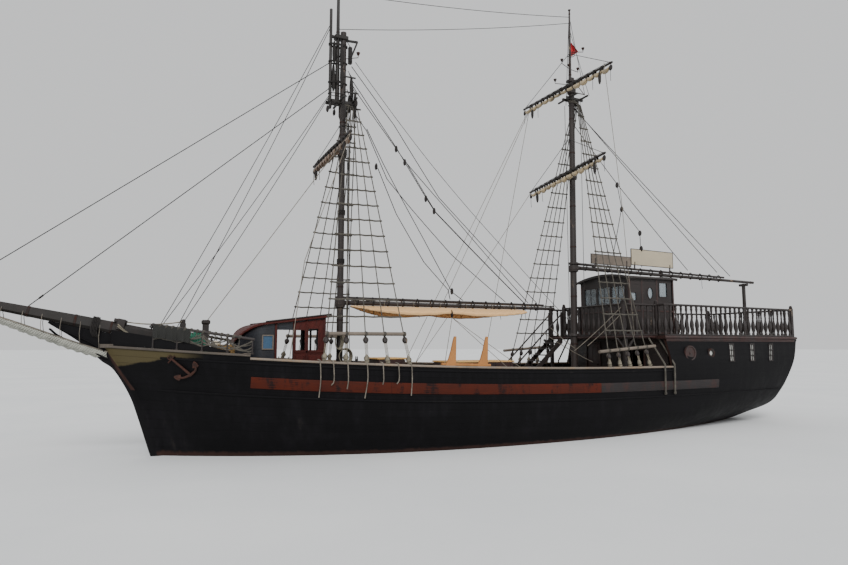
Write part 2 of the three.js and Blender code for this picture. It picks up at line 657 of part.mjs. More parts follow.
// Stair up to the quarterdeck, with two handrails
const STAIR_FOOT_X = -750;
const STAIR_HEAD_X = QUARTERDECK_FRONT + TOUCH;
const stairFootZ = DECK + sheer(STAIR_FOOT_X + 40) + SEAT;
const STRING_HALF = 22;
const STRING_DEPTH = 230;
const HANDRAIL_HEIGHT = 900;
const HANDRAIL_RADIUS = 28;
const NEWEL_RADIUS = 25;
const TREADS = 8;
const TREAD_THICK = 45;
const stairParts = [];
for (const y of [STAIR_Y - STAIR_WIDTH / 2, STAIR_Y + STAIR_WIDTH / 2]) {
  stairParts.push(plateXZ([
    [STAIR_FOOT_X + 40, stairFootZ], [STAIR_FOOT_X - 200, stairFootZ], [STAIR_HEAD_X, QUARTERDECK - STRING_DEPTH],
    [STAIR_HEAD_X, QUARTERDECK],
  ], y - STRING_HALF, y + STRING_HALF));
  const lowNewel = STAIR_FOOT_X - 60;
  const highNewel = STAIR_HEAD_X + 40;
  stairParts.push(bar([lowNewel, y, DECK + 100], [lowNewel, y, DECK + HANDRAIL_HEIGHT + 50], NEWEL_RADIUS));
  stairParts.push(bar([highNewel, y, QUARTERDECK - 120],
    [highNewel, y, QUARTERDECK + HANDRAIL_HEIGHT - 70], NEWEL_RADIUS));
  stairParts.push(bar([STAIR_FOOT_X - 30, y, DECK + HANDRAIL_HEIGHT],
    [highNewel, y, QUARTERDECK + HANDRAIL_HEIGHT - 80], HANDRAIL_RADIUS));
}
for (let i = 1; i <= TREADS; i++) {
  const share = i / (TREADS + 1);
  const x = STAIR_FOOT_X + (STAIR_HEAD_X - STAIR_FOOT_X) * share;
  const z = DECK + (QUARTERDECK - DECK) * share;
  stairParts.push(block(x - 120, x + 110, STAIR_Y - STAIR_WIDTH / 2, STAIR_Y + STAIR_WIDTH / 2, z - TREAD_THICK, z));
}
put('stair', join(stairParts), 'darkWood');

// Helm shelter on the quarterdeck: three walls with windows under a cambered roof, open aft
const SHELTER_FRONT = -3900;
const SHELTER_AFT = -6000;
const SHELTER_HALF = 1300;
const SHELTER_WALL = 50;
const SHELTER_EAVE = 5230;
const SHELTER_CROWN = 5400;
const ROOF_THICK = 50;
const AFT_POST_HALF = 55;
const FRONT_WINDOWS = { width: 680, low: 4350, high: 5000, edges: [-1080, -340, 400] };
const SIDE_WINDOWS = [
  // aft edge, width, low, high
  [-4750, 560, 4300, 5000], [-5650, 560, 4300, 5000], [-4500, 350, 4350, 4950],
];
const shelterTub = cut(
  block(SHELTER_AFT, SHELTER_FRONT, -SHELTER_HALF, SHELTER_HALF, QUARTERDECK + TOUCH, SHELTER_EAVE),
  [
    block(SHELTER_AFT - 100, SHELTER_FRONT - SHELTER_WALL, SHELTER_WALL - SHELTER_HALF,
      SHELTER_HALF - SHELTER_WALL, QUARTERDECK - 100, SHELTER_EAVE + 100),
    ...FRONT_WINDOWS.edges.map((y) => block(SHELTER_FRONT - 200, SHELTER_FRONT + 200, y, y + FRONT_WINDOWS.width,
      FRONT_WINDOWS.low, FRONT_WINDOWS.high)),
    ...SIDE_WINDOWS.map(([x, width, low, high]) => block(x, x + width, -FAR, FAR, low, high)),
  ],
);
const aftPosts = Object.values(SIDES).map((side) => block(
  SHELTER_AFT, SHELTER_AFT + 2 * AFT_POST_HALF,
  side * (SHELTER_HALF - AFT_POST_HALF) - AFT_POST_HALF, side * (SHELTER_HALF - AFT_POST_HALF) + AFT_POST_HALF,
  QUARTERDECK + TOUCH, SHELTER_EAVE));
put('helm_shelter', join([shelterTub, ...aftPosts]), 'darkWood');

function camber(y, eave, crown, half) {
  return eave + (crown - eave) * (1 - (y / half) ** 2);
}
const roofRing = [];
const ROOF_HALF = SHELTER_HALF + 90;
for (let i = 0; i <= 8; i++) {
  const y = -ROOF_HALF + 2 * ROOF_HALF * i / 8;
  roofRing.push([y, camber(y, SHELTER_EAVE + TOUCH, SHELTER_CROWN, ROOF_HALF)]);
}
const roofOutline = [
  ...roofRing.map(([y, z]) => [y, z + ROOF_THICK]).reverse(), ...roofRing];
const shelterRoof = plateYZ(roofOutline, SHELTER_AFT - 120, SHELTER_FRONT + 150);
const roofEndOutline = [
  [-ROOF_HALF + 95, SHELTER_EAVE + TOUCH], [ROOF_HALF - 95, SHELTER_EAVE + TOUCH],
  ...roofRing.slice(1, -1).map(([y, z]) => [y, z + 20]).reverse()];
const roofEnds = [SHELTER_FRONT - 45, SHELTER_AFT + 5].map((x) => plateYZ(roofEndOutline, x, x + 40));
put('helm_shelter_roof', join([shelterRoof, ...roofEnds]), 'darkWood');

// Helm: pedestal and wheel
const WHEEL_X = -4790;
const WHEEL_Z = 4180;
const WHEEL_RADIUS = 430;
const AXLE_RADIUS = 20;
const AXLE_END_X = -4580;
const PEDESTAL = { aft: -4700, fore: -4480, half: 150 };
const PLINTH = 40;
put('helm_pedestal', cut(join([
  block(PEDESTAL.aft, PEDESTAL.fore, -PEDESTAL.half, PEDESTAL.half, QUARTERDECK + TOUCH, WHEEL_Z + 120),
  block(PEDESTAL.aft - PLINTH, PEDESTAL.fore + PLINTH, -PEDESTAL.half - PLINTH, PEDESTAL.half + PLINTH,
    QUARTERDECK + TOUCH, QUARTERDECK + 60),
]), [bar([WHEEL_X - 10, 0, WHEEL_Z], [AXLE_END_X + 30, 0, WHEEL_Z], AXLE_RADIUS + SEAT, AXLE_RADIUS + SEAT, 12)]),
'darkWood');

function ringX(x, z, radius, tube, sections = 20) {
  const shape = [];
  for (let j = 0; j < 6; j++) {
    const angle = Math.PI * 2 * j / 6;
    shape.push(new THREE.Vector2(radius + tube * Math.cos(angle), tube * Math.sin(angle)));
  }
  const geometry = new THREE.LatheGeometry([...shape, shape[0].clone()], sections);
  geometry.rotateZ(Math.PI / 2);
  geometry.translate(x, 0, z);
  return solid(geometry);
}
const SPOKES = 8;
const HUB = { half: 45, radius: 62 };
const HANDLE_REACH = 150;
const wheelParts = [
  ringX(WHEEL_X, WHEEL_Z, WHEEL_RADIUS, 24),
  bar([WHEEL_X - HUB.half, 0, WHEEL_Z], [WHEEL_X + HUB.half, 0, WHEEL_Z], HUB.radius, HUB.radius, 12),
  bar([WHEEL_X, 0, WHEEL_Z], [AXLE_END_X, 0, WHEEL_Z], AXLE_RADIUS, AXLE_RADIUS, 12),
];
for (let i = 0; i < SPOKES; i++) {
  const angle = Math.PI * 2 * i / SPOKES;
  const reach = WHEEL_RADIUS + HANDLE_REACH;
  wheelParts.push(bar([WHEEL_X, 0, WHEEL_Z],
    [WHEEL_X, reach * Math.sin(angle), WHEEL_Z + reach * Math.cos(angle)], 16, 13, 6));
}
put('helm_wheel', join(wheelParts), 'redWood');

// Deckhouse before the fore mast: bowed front, doorway through both sides, windows, and a
// roof that rises towards the mast
const HOUSE_AFT = 6980;
const HOUSE_FORE = 8650;
const HOUSE_BOW = 620;
const HOUSE_HALF = 1150;
const HOUSE_WALL = 50;
const HOUSE_ROOF_FORE = 3330;
const HOUSE_ROOF_AFT = 3630;
const HOUSE_ROOF_THICK = 70;
const HOUSE_EAVE = { side: 90, bow: 60, aft: 160 };
const HOUSE_OPENINGS = [
  // aft, fore, starboard, port, low, high: doorway and windows through both sides, then front, then aft
  [7900, 8330, -FAR, FAR, 1500, 3290], [8430, 8630, -FAR, FAR, 2700, 3150],
  [7200, 7480, -FAR, FAR, 2750, 3300], [7560, 7840, -FAR, FAR, 2750, 3300],
  [8700, 9500, 160, 620, 2560, 3060], [8700, 9500, -620, -160, 2560, 3060],
  [6900, 7100, -350, 350, 1520, 3250],
];

function housePlan(half, bow, fore, aft) {
  const outline = [[aft, -half], [fore, -half]];
  const steps = 6;
  for (let i = 1; i < steps; i++) {
    const angle = Math.PI * (i / steps - 0.5);
    outline.push([fore + bow * Math.cos(angle), half * Math.sin(angle)]);
  }
  outline.push([fore, half], [aft, half]);
  return outline;
}
const roofRise = (HOUSE_ROOF_AFT - HOUSE_ROOF_FORE) / (HOUSE_FORE + HOUSE_BOW - HOUSE_AFT);

function underRoof(x) {
  return HOUSE_ROOF_FORE + (HOUSE_FORE + HOUSE_BOW - x) * roofRise;
}
const [roofAft, roofFore] = [HOUSE_AFT - 2000, HOUSE_FORE + 2500];
const houseTop = HOUSE_ROOF_AFT + 600;
const houseCutters = [
  plateXY(housePlan(HOUSE_HALF - HOUSE_WALL, HOUSE_BOW - HOUSE_WALL, HOUSE_FORE, HOUSE_AFT + HOUSE_WALL), 0, FAR),
  plateXZ([
    [roofAft, underRoof(roofAft)], [roofFore, underRoof(roofFore)], [roofFore, FAR], [roofAft, FAR],
  ], -FAR, FAR),
  hullBody(0, DECK + TOUCH, -800, 1),
  ...HOUSE_OPENINGS.map((corners) => block(...corners)),
];
const housePlanks = plateXY(housePlan(HOUSE_HALF, HOUSE_BOW, HOUSE_FORE, HOUSE_AFT), DECK - 200, houseTop);
put('deckhouse', cut(housePlanks, houseCutters), 'darkWood');
const roofPlanks = plateXY(housePlan(
  HOUSE_HALF + HOUSE_EAVE.side, HOUSE_BOW + HOUSE_EAVE.bow, HOUSE_FORE, HOUSE_AFT - HOUSE_EAVE.aft),
HOUSE_ROOF_FORE - 330, houseTop);
const roofLayer = plateXZ([
  [roofAft, underRoof(roofAft) + TOUCH], [roofFore, underRoof(roofFore) + TOUCH],
  [roofFore, underRoof(roofFore) + HOUSE_ROOF_THICK], [roofAft, underRoof(roofAft) + HOUSE_ROOF_THICK],
], -FAR, FAR);
put('deckhouse_roof', roofPlanks.intersect(roofLayer), 'redWood');

// Benches along both bulwarks
const BENCH_FORE = 5200;
const BENCH_AFT = -700;
const BENCH_SEAT = 450;
const BENCH_DEPTH = 420;
for (const [name, side] of Object.entries(SIDES)) {
  const inner = PLANK + 40;
  const seat = sideStrip(side, BENCH_AFT, BENCH_FORE, DECK + BENCH_SEAT - 50, DECK + BENCH_SEAT, inner,
    inner + BENCH_DEPTH, 12, BULWARK_TOP);
  const front = sideStrip(side, BENCH_AFT, BENCH_FORE, DECK + SEAT, DECK + BENCH_SEAT - 40, inner + BENCH_DEPTH - 70,
    inner + BENCH_DEPTH - 35, 12, BULWARK_TOP);
  put(`bench_${name}`, join([seat, front]), 'paleWood');
}

// Masts
function mastCollar(x, low, radius, height = COLLAR_HEIGHT) {
  return cut(post(x, 0, low, low + height, radius + RUN + COLLAR_WALL, 16),
    [post(x, 0, low - 50, low + height + 50, radius + RUN + 4, 16)]);
}

function saddle(x, top, radius) {
  return post(x, 0, top - SADDLE_HEIGHT, top, radius + COLLAR_WALL, 16, radius + COLLAR_WALL + 10);
}
// A mast's foot stands on the higher edge of the sheer under it
const foreFoot = DECK + sheer(FORE_MAST_X + FORE_MAST_RADIUS) + 2 * TOUCH;
const foreCollarLow = FORE_BOOM_Z - COLLAR_HEIGHT / 2;
const FORE_YARD_Z = 8800;
const foreTopX = FORE_MAST_X + FORE_TOPMAST_OFFSET;

function foreLowerMast(growth) {
  const radius = FORE_MAST_RADIUS + growth;
  return post(FORE_MAST_X, 0, foreFoot, FORE_HEAD, radius, MAST_SIDES, radius - FORE_TAPER);
}

function foreUpperMast(growth) {
  const [low, high] = TOPMAST_RADII;
  return post(foreTopX, 0, FORE_HOUNDS - 120, FORE_TRUCK, low + growth, MAST_SIDES, high + growth);
}

function spareSpar(growth) {
  const x = foreTopX + SPARE_SPAR.offset;
  return bar([x, 0, FORE_HOUNDS - 30], [x, 0, SPARE_SPAR.top], SPARE_SPAR.radius + growth);
}

function trestleTree(side, from, to, low, high) {
  const [a, b] = [side * TRESTLE.near, side * TRESTLE.far];
  return block(from, to, Math.min(a, b), Math.max(a, b), low, high);
}

function crosstree(x, half, low, high) {
  return block(x - CROSSTREE_WIDTH / 2, x + CROSSTREE_WIDTH / 2, -half, half, low, high);
}
put('fore_mast', join([
  foreLowerMast(0),
  saddle(FORE_MAST_X, foreCollarLow - TOUCH, FORE_MAST_RADIUS),
  saddle(FORE_MAST_X, FORE_YARD_Z - COLLAR_HEIGHT / 2 - TOUCH, FORE_MAST_RADIUS - 8),
]), 'spar');
const foreTopmast = join([
  foreUpperMast(0),
  block(FORE_MAST_X - 130, foreTopX + 110, -125, 125, FORE_HEAD - 260, FORE_HEAD - 140),
  ...Object.values(SIDES).map((side) => trestleTree(
    side, FORE_MAST_X - TRESTLE.aft, foreTopX + TRESTLE.fore, FORE_HOUNDS - 110, FORE_HOUNDS - 10)),
  crosstree(foreTopX - 57, CROSSTREE_HALF, FORE_HOUNDS - 60, FORE_HOUNDS),
  crosstree(FORE_MAST_X - 270, CROSSTREE_HALF, FORE_HOUNDS - 60, FORE_HOUNDS),
  crosstree(foreTopX + 50, TRESTLE.far + 10, FORE_HOUNDS - 100, FORE_HOUNDS - 20),
  spareSpar(0),
  crosstree(foreTopX + SPARE_SPAR.offset, TRESTLE.far, FORE_HOUNDS - 100, FORE_HOUNDS - 20),
  block(foreTopX, foreTopX + SPARE_SPAR.offset + 40, -40, 40, FORE_HEAD - 240, FORE_HEAD - 160),
]);
put('fore_topmast', cut(foreTopmast, [foreLowerMast(TOUCH)]), 'spar');

// The main rig stands in a frame that leans aft with its mast
const mainRig = new THREE.Group();
mainRig.position.set(MAIN_MAST_X, 0, 0);
mainRig.rotation.y = -MAIN_RAKE;
boat.add(mainRig);
const mainCollarLow = MAIN_BOOM_Z - COLLAR_HEIGHT / 2;
const MAIN_LOWER_YARD_Z = 9080;
const MAIN_UPPER_YARD_Z = 12350;
const mainFoot = DECK + MAIN_MAST_RADIUS * MAIN_RAKE + sheer(MAIN_MAST_X) + 2 * TOUCH;

function mainLowerMast(growth) {
  const radius = MAIN_MAST_RADIUS + growth;
  return post(0, 0, mainFoot, MAIN_HEAD + 200, radius, MAST_SIDES, radius - MAIN_TAPER);
}
put('main_mast', join([
  mainLowerMast(0),
  post(POLE_OFFSET, 0, MAIN_HEAD - 140, MAIN_TRUCK, POLE_RADII[0], MAST_SIDES, POLE_RADII[1]),
  saddle(0, mainCollarLow - TOUCH, MAIN_MAST_RADIUS),
  saddle(0, MAIN_LOWER_YARD_Z - COLLAR_HEIGHT / 2 - TOUCH, MAIN_MAST_RADIUS - 10),
  saddle(0, MAIN_UPPER_YARD_Z - COLLAR_HEIGHT / 2 - TOUCH, MAIN_MAST_RADIUS - 16),
]), 'spar', mainRig);
const mainCross = join([
  ...Object.values(SIDES).map((side) => trestleTree(
    side, -TRESTLE.aft, TRESTLE.fore, MAIN_HOUNDS - 80, MAIN_HOUNDS + 20)),
  crosstree(-300, CROSSTREE_HALF, MAIN_HOUNDS - 40, MAIN_HOUNDS + 20),
  crosstree(180, CROSSTREE_HALF, MAIN_HOUNDS - 40, MAIN_HOUNDS + 20),
]);
put('main_crosstrees', cut(mainCross, [mainLowerMast(TOUCH)]), 'spar', mainRig);

// Shrouds: five to a side from the cap rail to a collar abaft the masthead, with a sheer pole
const SHROUD_RADIUS = 13;
const SHROUD_HEAD_Y = 70;
const SHROUD_STEP_X = 25;
const SHROUD_STEP_Z = 30;
const LANYARD = { halfX: 45, halfY: 32, height: 230 };
const SHEER_POLE = { radius: 24, over: 0.08 };
const SEIZING = { halfX: 30, halfY: 45, halfZ: 35 };
const HEAD_COLLAR = { aft: 200, fore: 60, inner: 22, outer: 130 };

function shroudSet(side, feet, footLevel, head, poleZ, mastRoom) {
  const parts = [];
  const polePoints = [];
  for (const [i, x] of feet.entries()) {
    const y = side * (halfBreadth(x, BULWARK_TOP) - 5);
    const z = footLevel + sheer(x);
    const top = [head[0] - SHROUD_STEP_X * i, side * SHROUD_HEAD_Y, head[2] - SHROUD_STEP_Z * i];
    const share = (poleZ - z) / (top[2] - z);
    parts.push(bar([x, y, z + 60], top, SHROUD_RADIUS, SHROUD_RADIUS, 6));
    parts.push(block(x - LANYARD.halfX, x + LANYARD.halfX, y - LANYARD.halfY, y + LANYARD.halfY,
      z - 4, z + LANYARD.height));
    polePoints.push([x + (top[0] - x) * share, y + (top[1] - y) * share, poleZ]);
  }
  const first = polePoints[0];
  const last = polePoints[polePoints.length - 1];
  const beyond = (a, b) => a.map((value, i) => value + (value - b[i]) * SHEER_POLE.over);
  parts.push(bar(beyond(first, last), beyond(last, first), SHEER_POLE.radius));
  for (const [x, y, z] of polePoints) {
    parts.push(block(x - SEIZING.halfX, x + SEIZING.halfX, y - SEIZING.halfY, y + SEIZING.halfY,
      z - SEIZING.halfZ, z + SEIZING.halfZ));
  }
  const headLow = head[2] - SHROUD_STEP_Z * feet.length - 60;
  const collarY = [side * HEAD_COLLAR.inner, side * HEAD_COLLAR.outer];
  parts.push(block(head[0] - HEAD_COLLAR.aft, head[0] + HEAD_COLLAR.fore, Math.min(...collarY), Math.max(...collarY),
    headLow, head[2] + 60));
  const capRoom = sideStrip(side, CASTLE_FRONT + TOUCH, BULWARK_STEP - TOUCH, BULWARK_TOP,
    BULWARK_TOP + CAP_THICK + TOUCH, -60, PLANK + 60, CAP_STEPS);
  return cut(join(parts), [mastRoom, capRoom]);
}
const FORE_FEET = [7380, 6840, 6290, 5730, 5130];
const MAIN_FEET = [-1600, -2020, -2430, -2850, -3290];
const foreHead = [FORE_MAST_X - 150, 0, FORE_HOUNDS - 170];
const mainMastAt = (z) => MAIN_MAST_X - MAIN_RAKE * z;
const mainHead = [mainMastAt(MAIN_HOUNDS) - 170, 0, MAIN_HOUNDS - 150];
const [roomLow, roomHigh] = [MAIN_HOUNDS - 2500, MAIN_HOUNDS + 500];
const mainShroudRoom = bar([mainMastAt(roomLow), 0, roomLow], [mainMastAt(roomHigh), 0, roomHigh],
  MAIN_MAST_RADIUS + TOUCH, MAIN_MAST_RADIUS, 24);
for (const [name, side] of Object.entries(SIDES)) {
  const capTop = BULWARK_TOP + CAP_THICK;
  put(`fore_shrouds_${name}`, shroudSet(side, FORE_FEET, capTop, foreHead, 3170, foreLowerMast(TOUCH)), 'rope');
  put(`main_shrouds_${name}`, shroudSet(side, MAIN_FEET, capTop, mainHead, 2790, mainShroudRoom), 'rope');
}

// Fore-and-aft stays from the fore mast to the bowsprit
const STAY_RADIUS = 11;

function spritTop(distance) {
  const share = Math.max(0, distance - SPRIT_TAPER_START) / (SPRIT_LENGTH - SPRIT_TAPER_START);
  return alongSprit(distance, -SPRIT_HALF_HEEL - (SPRIT_HALF_TIP - SPRIT_HALF_HEEL) * share - 10);
}
const STAYS = { outer_stay: { head: 11750, foot: 5250 }, inner_stay: { head: 10950, foot: 3560 } };
for (const [name, ends] of Object.entries(STAYS)) {
  const foot = spritTop(ends.foot);
  const stay = bar([foreTopX, 0, ends.head], [foot.x, 0, foot.z], STAY_RADIUS);
  put(name, largest(cut(stay, [
    foreUpperMast(TOUCH),
    spareSpar(TOUCH),
    spritSolid(TOUCH),
  ])), 'rope');
}

// Booms and gaffs, each pair one swinging body
const SPAR_SIDES = 10;
const CHOCK_SHARES = [0.12, 0.55, 0.93];
const CHOCK = { half: 60, halfY: 40 };

function gaffBar(x, z, length, radius, growth = 0) {
  const near = radius + RUN + GOOSENECK;
  return bar([x - near, 0, z + 20], [x - length, 0, z - 12],
    GAFF_RADIUS - 6 + growth, GAFF_RADIUS - 14 + growth, SPAR_SIDES);
}

function boomBar(x, z, length, radius, growth) {
  const near = radius + RUN + GOOSENECK;
  return bar([x - near, 0, z], [x - length, 0, z],
    BOOM_RADIUS + growth, BOOM_RADIUS - BOOM_TAPER + growth, SPAR_SIDES);
}

function boomSet(x, z, length, gaffLength, radius) {
  const boom = join([mastCollar(x, z - COLLAR_HEIGHT / 2, radius), boomBar(x, z, length, radius, 0)]);
  const gaffZ = z + BOOM_RADIUS + GAFF_RADIUS + 4;
  const gaff = join([
    mastCollar(x, gaffZ - 10, radius, 70),
    gaffBar(x, gaffZ, gaffLength, radius),
    ...CHOCK_SHARES.map((share) => x - gaffLength * share).map((chockX) => block(
      chockX - CHOCK.half, chockX + CHOCK.half, -CHOCK.halfY, CHOCK.halfY, z + BOOM_RADIUS - BOOM_TAPER, gaffZ)),
  ]);
  return { boom, gaff: cut(gaff, [boomBar(x, z, length, radius, TOUCH)]), gaffZ };
}
const fore = boomSet(FORE_MAST_X, FORE_BOOM_Z, FORE_BOOM_LENGTH, FORE_GAFF_LENGTH, FORE_MAST_RADIUS);
put('fore_boom', fore.boom, 'spar');
put('fore_gaff', fore.gaff, 'spar');
const main = boomSet(0, MAIN_BOOM_Z, MAIN_BOOM_LENGTH, MAIN_GAFF_LENGTH, MAIN_MAST_RADIUS);
put('main_boom', main.boom, 'spar', mainRig);
put('main_gaff', main.gaff, 'spar', mainRig);

// Awning slung under the fore boom, narrow by the mast
const AWNING = [
  // distance aft of the mast, half-width, drop of the edge below the boom
  [330, 60, 60], [900, 420, 190], [1800, 800, 290], [3200, 900, 320], [4700, 880, 300], [6000, 640, 240],
  [6350, 560, 200],
];
put('awning', loft(AWNING.map(([aft, half, drop]) => {
  const x = FORE_MAST_X - aft;
  const awningTop = FORE_BOOM_Z - BOOM_RADIUS + BOOM_TAPER * (aft - 200) / FORE_BOOM_LENGTH - TOUCH;
  return [
    [x, 0, awningTop], [x, half, awningTop - drop + 15], [x, half, awningTop - drop - 15],
    [x, 0, awningTop - 34], [x, -half, awningTop - drop - 15], [x, -half, awningTop - drop + 15],
  ];
})), 'awning');

// Blank boards carried on the main gaff
const BOARD_HALF = 16;
const BATTEN = { half: 22, height: 300, places: [-1000, -2500, -2900, -4700] };
const BOARDS = [
  // aft, fore, low, high, measured from the gaff
  [-2720, -800, 80, 460], [-4870, -2719, 170, 800],
];
const boards = join([
  ...BOARDS.map(([aft, foreEnd, low, high]) => block(
    aft, foreEnd, -BOARD_HALF, BOARD_HALF, main.gaffZ + low, main.gaffZ + high)),
  ...BATTEN.places.map((x) => block(
    x - BATTEN.half, x + BATTEN.half, -BATTEN.half, BATTEN.half, main.gaffZ, main.gaffZ + BATTEN.height)),
]);
put('sign_boards', cut(boards, [gaffBar(0, main.gaffZ, MAIN_GAFF_LENGTH, MAIN_MAST_RADIUS, TOUCH)]), 'sign', mainRig);

// Yards with furled sails, each on a collar that turns on the mast
const TRUSS_RADIUS = 38;
const YARD_TAPER = 24;
const SAIL_STEPS = 16;
const SAIL_SIDES = 8;
const SAIL_SHORT = 130;

function yardSet(x, z, half, radius, yaw, cock) {
  const frame = new THREE.Matrix4().makeRotationZ(-yaw).multiply(new THREE.Matrix4().makeRotationX(cock));
  const mast = new THREE.Vector3(x, 0, z);
  const at = (offset, y, lift) => new THREE.Vector3(offset, y, lift).applyMatrix4(frame).add(mast);
  const tip = (side) => at(YARD_OFFSET, side * half, 0).toArray();
  const centre = at(YARD_OFFSET, 0, 0).toArray();
  const near = at(radius + RUN + GOOSENECK, 0, 0).toArray();
  const yard = join([
    mastCollar(x, z - COLLAR_HEIGHT / 2, radius),
    bar(near, centre, TRUSS_RADIUS),
    ...Object.values(SIDES).map((side) => bar(
      centre, tip(side), YARD_RADIUS, YARD_RADIUS - YARD_TAPER, SPAR_SIDES)),
  ]);
  const rings = [];
  const drop = YARD_RADIUS + SAIL_RADIUS + TOUCH;
  for (let i = 0; i <= SAIL_STEPS; i++) {
    const share = i / SAIL_STEPS * 2 - 1;
    const r = SAIL_RADIUS * (0.55 + 0.45 * Math.sqrt(Math.max(0, 1 - share * share)));
    const ring = [];
    for (let j = 0; j < SAIL_SIDES; j++) {
      const angle = Math.PI * 2 * j / SAIL_SIDES;
      ring.push(at(YARD_OFFSET + r * Math.cos(angle) * 0.85, share * (half - SAIL_SHORT),
        -drop + (SAIL_RADIUS - r) * 0.9 + r * Math.sin(angle)).toArray());
    }
    rings.push(ring);
  }
  return { yard: largest(yard), sail: loft(rings) };
}
const foreYard = yardSet(FORE_MAST_X, FORE_YARD_Z, 1970, FORE_MAST_RADIUS - 8, 0, 0);
put('fore_yard', foreYard.yard, 'spar');
put('fore_furled_sail', foreYard.sail, 'canvas');
const lowerYard = yardSet(0, MAIN_LOWER_YARD_Z, 2350, MAIN_MAST_RADIUS - 10, 0.05, 0.06);
put('main_lower_yard', lowerYard.yard, 'spar', mainRig);
put('main_lower_sail', lowerYard.sail, 'canvas', mainRig);
const upperYard = yardSet(0, MAIN_UPPER_YARD_Z, 2450, MAIN_MAST_RADIUS - 16, -0.05, 0);
put('main_upper_yard', upperYard.yard, 'spar', mainRig);
put('main_upper_sail', upperYard.sail, 'canvas', mainRig);

// Crutch that the main boom lies over
const CRUTCH_X = -11385;
const CRUTCH = { half: 55, headHalf: 60, headReach: 190, headDepth: 102 };
const crutchTop = MAIN_BOOM_Z - (MAIN_MAST_X - CRUTCH_X) * MAIN_RAKE - BOOM_RADIUS - 2;
put('boom_crutch', join([
  block(CRUTCH_X - CRUTCH.half, CRUTCH_X + CRUTCH.half, -CRUTCH.headHalf, CRUTCH.headHalf,
    QUARTERDECK + TOUCH, crutchTop),
  block(CRUTCH_X - CRUTCH.headHalf, CRUTCH_X + CRUTCH.headHalf, -CRUTCH.headReach, CRUTCH.headReach,
    crutchTop - CRUTCH.headDepth, crutchTop),
]), 'spar');

// Bow fittings: bitts that hold the heel of the bowsprit, a rail round the forecastle, the
// anchor and the net under the bowsprit
const BITTS = { half: 60, inner: 175, outer: 300, top: 3560, barReach: 420, barLow: 3000, barHigh: 3120 };
const bittsX = SPRIT_HEEL.x - 2 * BITTS.half;
const bittsFoot = FORECASTLE_DECK + sheer(bittsX + BITTS.half) + SEAT;
const bittsBlock = (y0, y1, z0, z1) => block(bittsX - BITTS.half, bittsX + BITTS.half, y0, y1, z0, z1);
put('bowsprit_bitts', join([
  bittsBlock(BITTS.inner, BITTS.outer, bittsFoot, BITTS.top),
  bittsBlock(-BITTS.outer, -BITTS.inner, bittsFoot, BITTS.top),
  bittsBlock(-BITTS.barReach, BITTS.barReach, BITTS.barLow, BITTS.barHigh),
]), 'darkWood');

const RAIL_STATIONS = [9100, 9680, 10260, 10830, 11380];
const BOW_RAIL = { start: 9050, startZ: 3010, rise: 0.16, inset: 40, postRadius: 22, radius: 34 };
const railTop = (x) => BOW_RAIL.startZ + (x - BOW_RAIL.start) * BOW_RAIL.rise;
const railBreadth = (x) => halfBreadth(x, FORECASTLE_TOP) - BOW_RAIL.inset;
const bowRail = [];
for (const side of Object.values(SIDES)) {
  const points = RAIL_STATIONS.map((x) => [x, side * railBreadth(x), railTop(x)]);
  for (const [i, point] of points.entries()) {
    const foot = FORECASTLE_TOP + CAP_THICK - CAP_SUNK + sheer(point[0]) + 2 * SEAT;
    bowRail.push(bar([point[0], point[1], foot], point, BOW_RAIL.postRadius));
    if (i > 0) bowRail.push(bar(points[i - 1], point, BOW_RAIL.radius));
  }
}
const railFrontX = RAIL_STATIONS[RAIL_STATIONS.length - 1];
const railFrontZ = railTop(railFrontX) + 12;
const railFrontHalf = railBreadth(railFrontX);
bowRail.push(bar([railFrontX, -railFrontHalf, railFrontZ], [railFrontX, railFrontHalf, railFrontZ], BOW_RAIL.radius));
put('forecastle_rail', join(bowRail), 'darkWood');

const ANCHOR_X = 10760;
const offHull = (x, z, gap) => [x, halfBreadth(x, z - sheer(x)) + gap, z];
const crown = offHull(ANCHOR_X - 280, 2120, 28);
const SHANK_RADIUS = 30;
const ARM_RADII = [34, 20];
const STOCK_BAR_RADIUS = 18;
const anchorBody = join([
  bar(crown, offHull(ANCHOR_X + 220, 2560, 28), SHANK_RADIUS),
  bar(crown, offHull(ANCHOR_X - 330, 2430, 60), ...ARM_RADII),
  bar(crown, offHull(ANCHOR_X + 70, 2060, 80), ...ARM_RADII),
  bar(offHull(ANCHOR_X + 130, 2590, 30), offHull(ANCHOR_X + 240, 2440, 30), STOCK_BAR_RADIUS),
]);
put('anchor', largest(cut(anchorBody, [outerPlanking])), 'iron');

const NET = [
  // distance along X, top, bottom, half-width
  [12420, 2700, 2480, 90], [13100, 2930, 2700, 190], [13760, 3170, 2960, 260], [14400, 3410, 3220, 290],
  [15100, 3660, 3520, 230], [15700, 3860, 3780, 120],
];
const netBody = loft(NET.map(([x, top, bottom, half]) => [
  [x, -half, top], [x, -half * 0.5, bottom], [x, half * 0.5, bottom], [x, half, top]]));
const stemRoom = stemOutline.map(([x, z]) => [x + SEAT, z - SEAT]);
put('bowsprit_net', largest(cut(netBody, [
  plateXZ(stemOutline, -STEM_PLATE_HALF - TOUCH, STEM_PLATE_HALF + TOUCH),
  plateXZ(stemRoom, -STEM_PLATE_HALF - SEAT, STEM_PLATE_HALF + SEAT),
  spritSolid(TOUCH),
  outerBow,
])), 'rope');

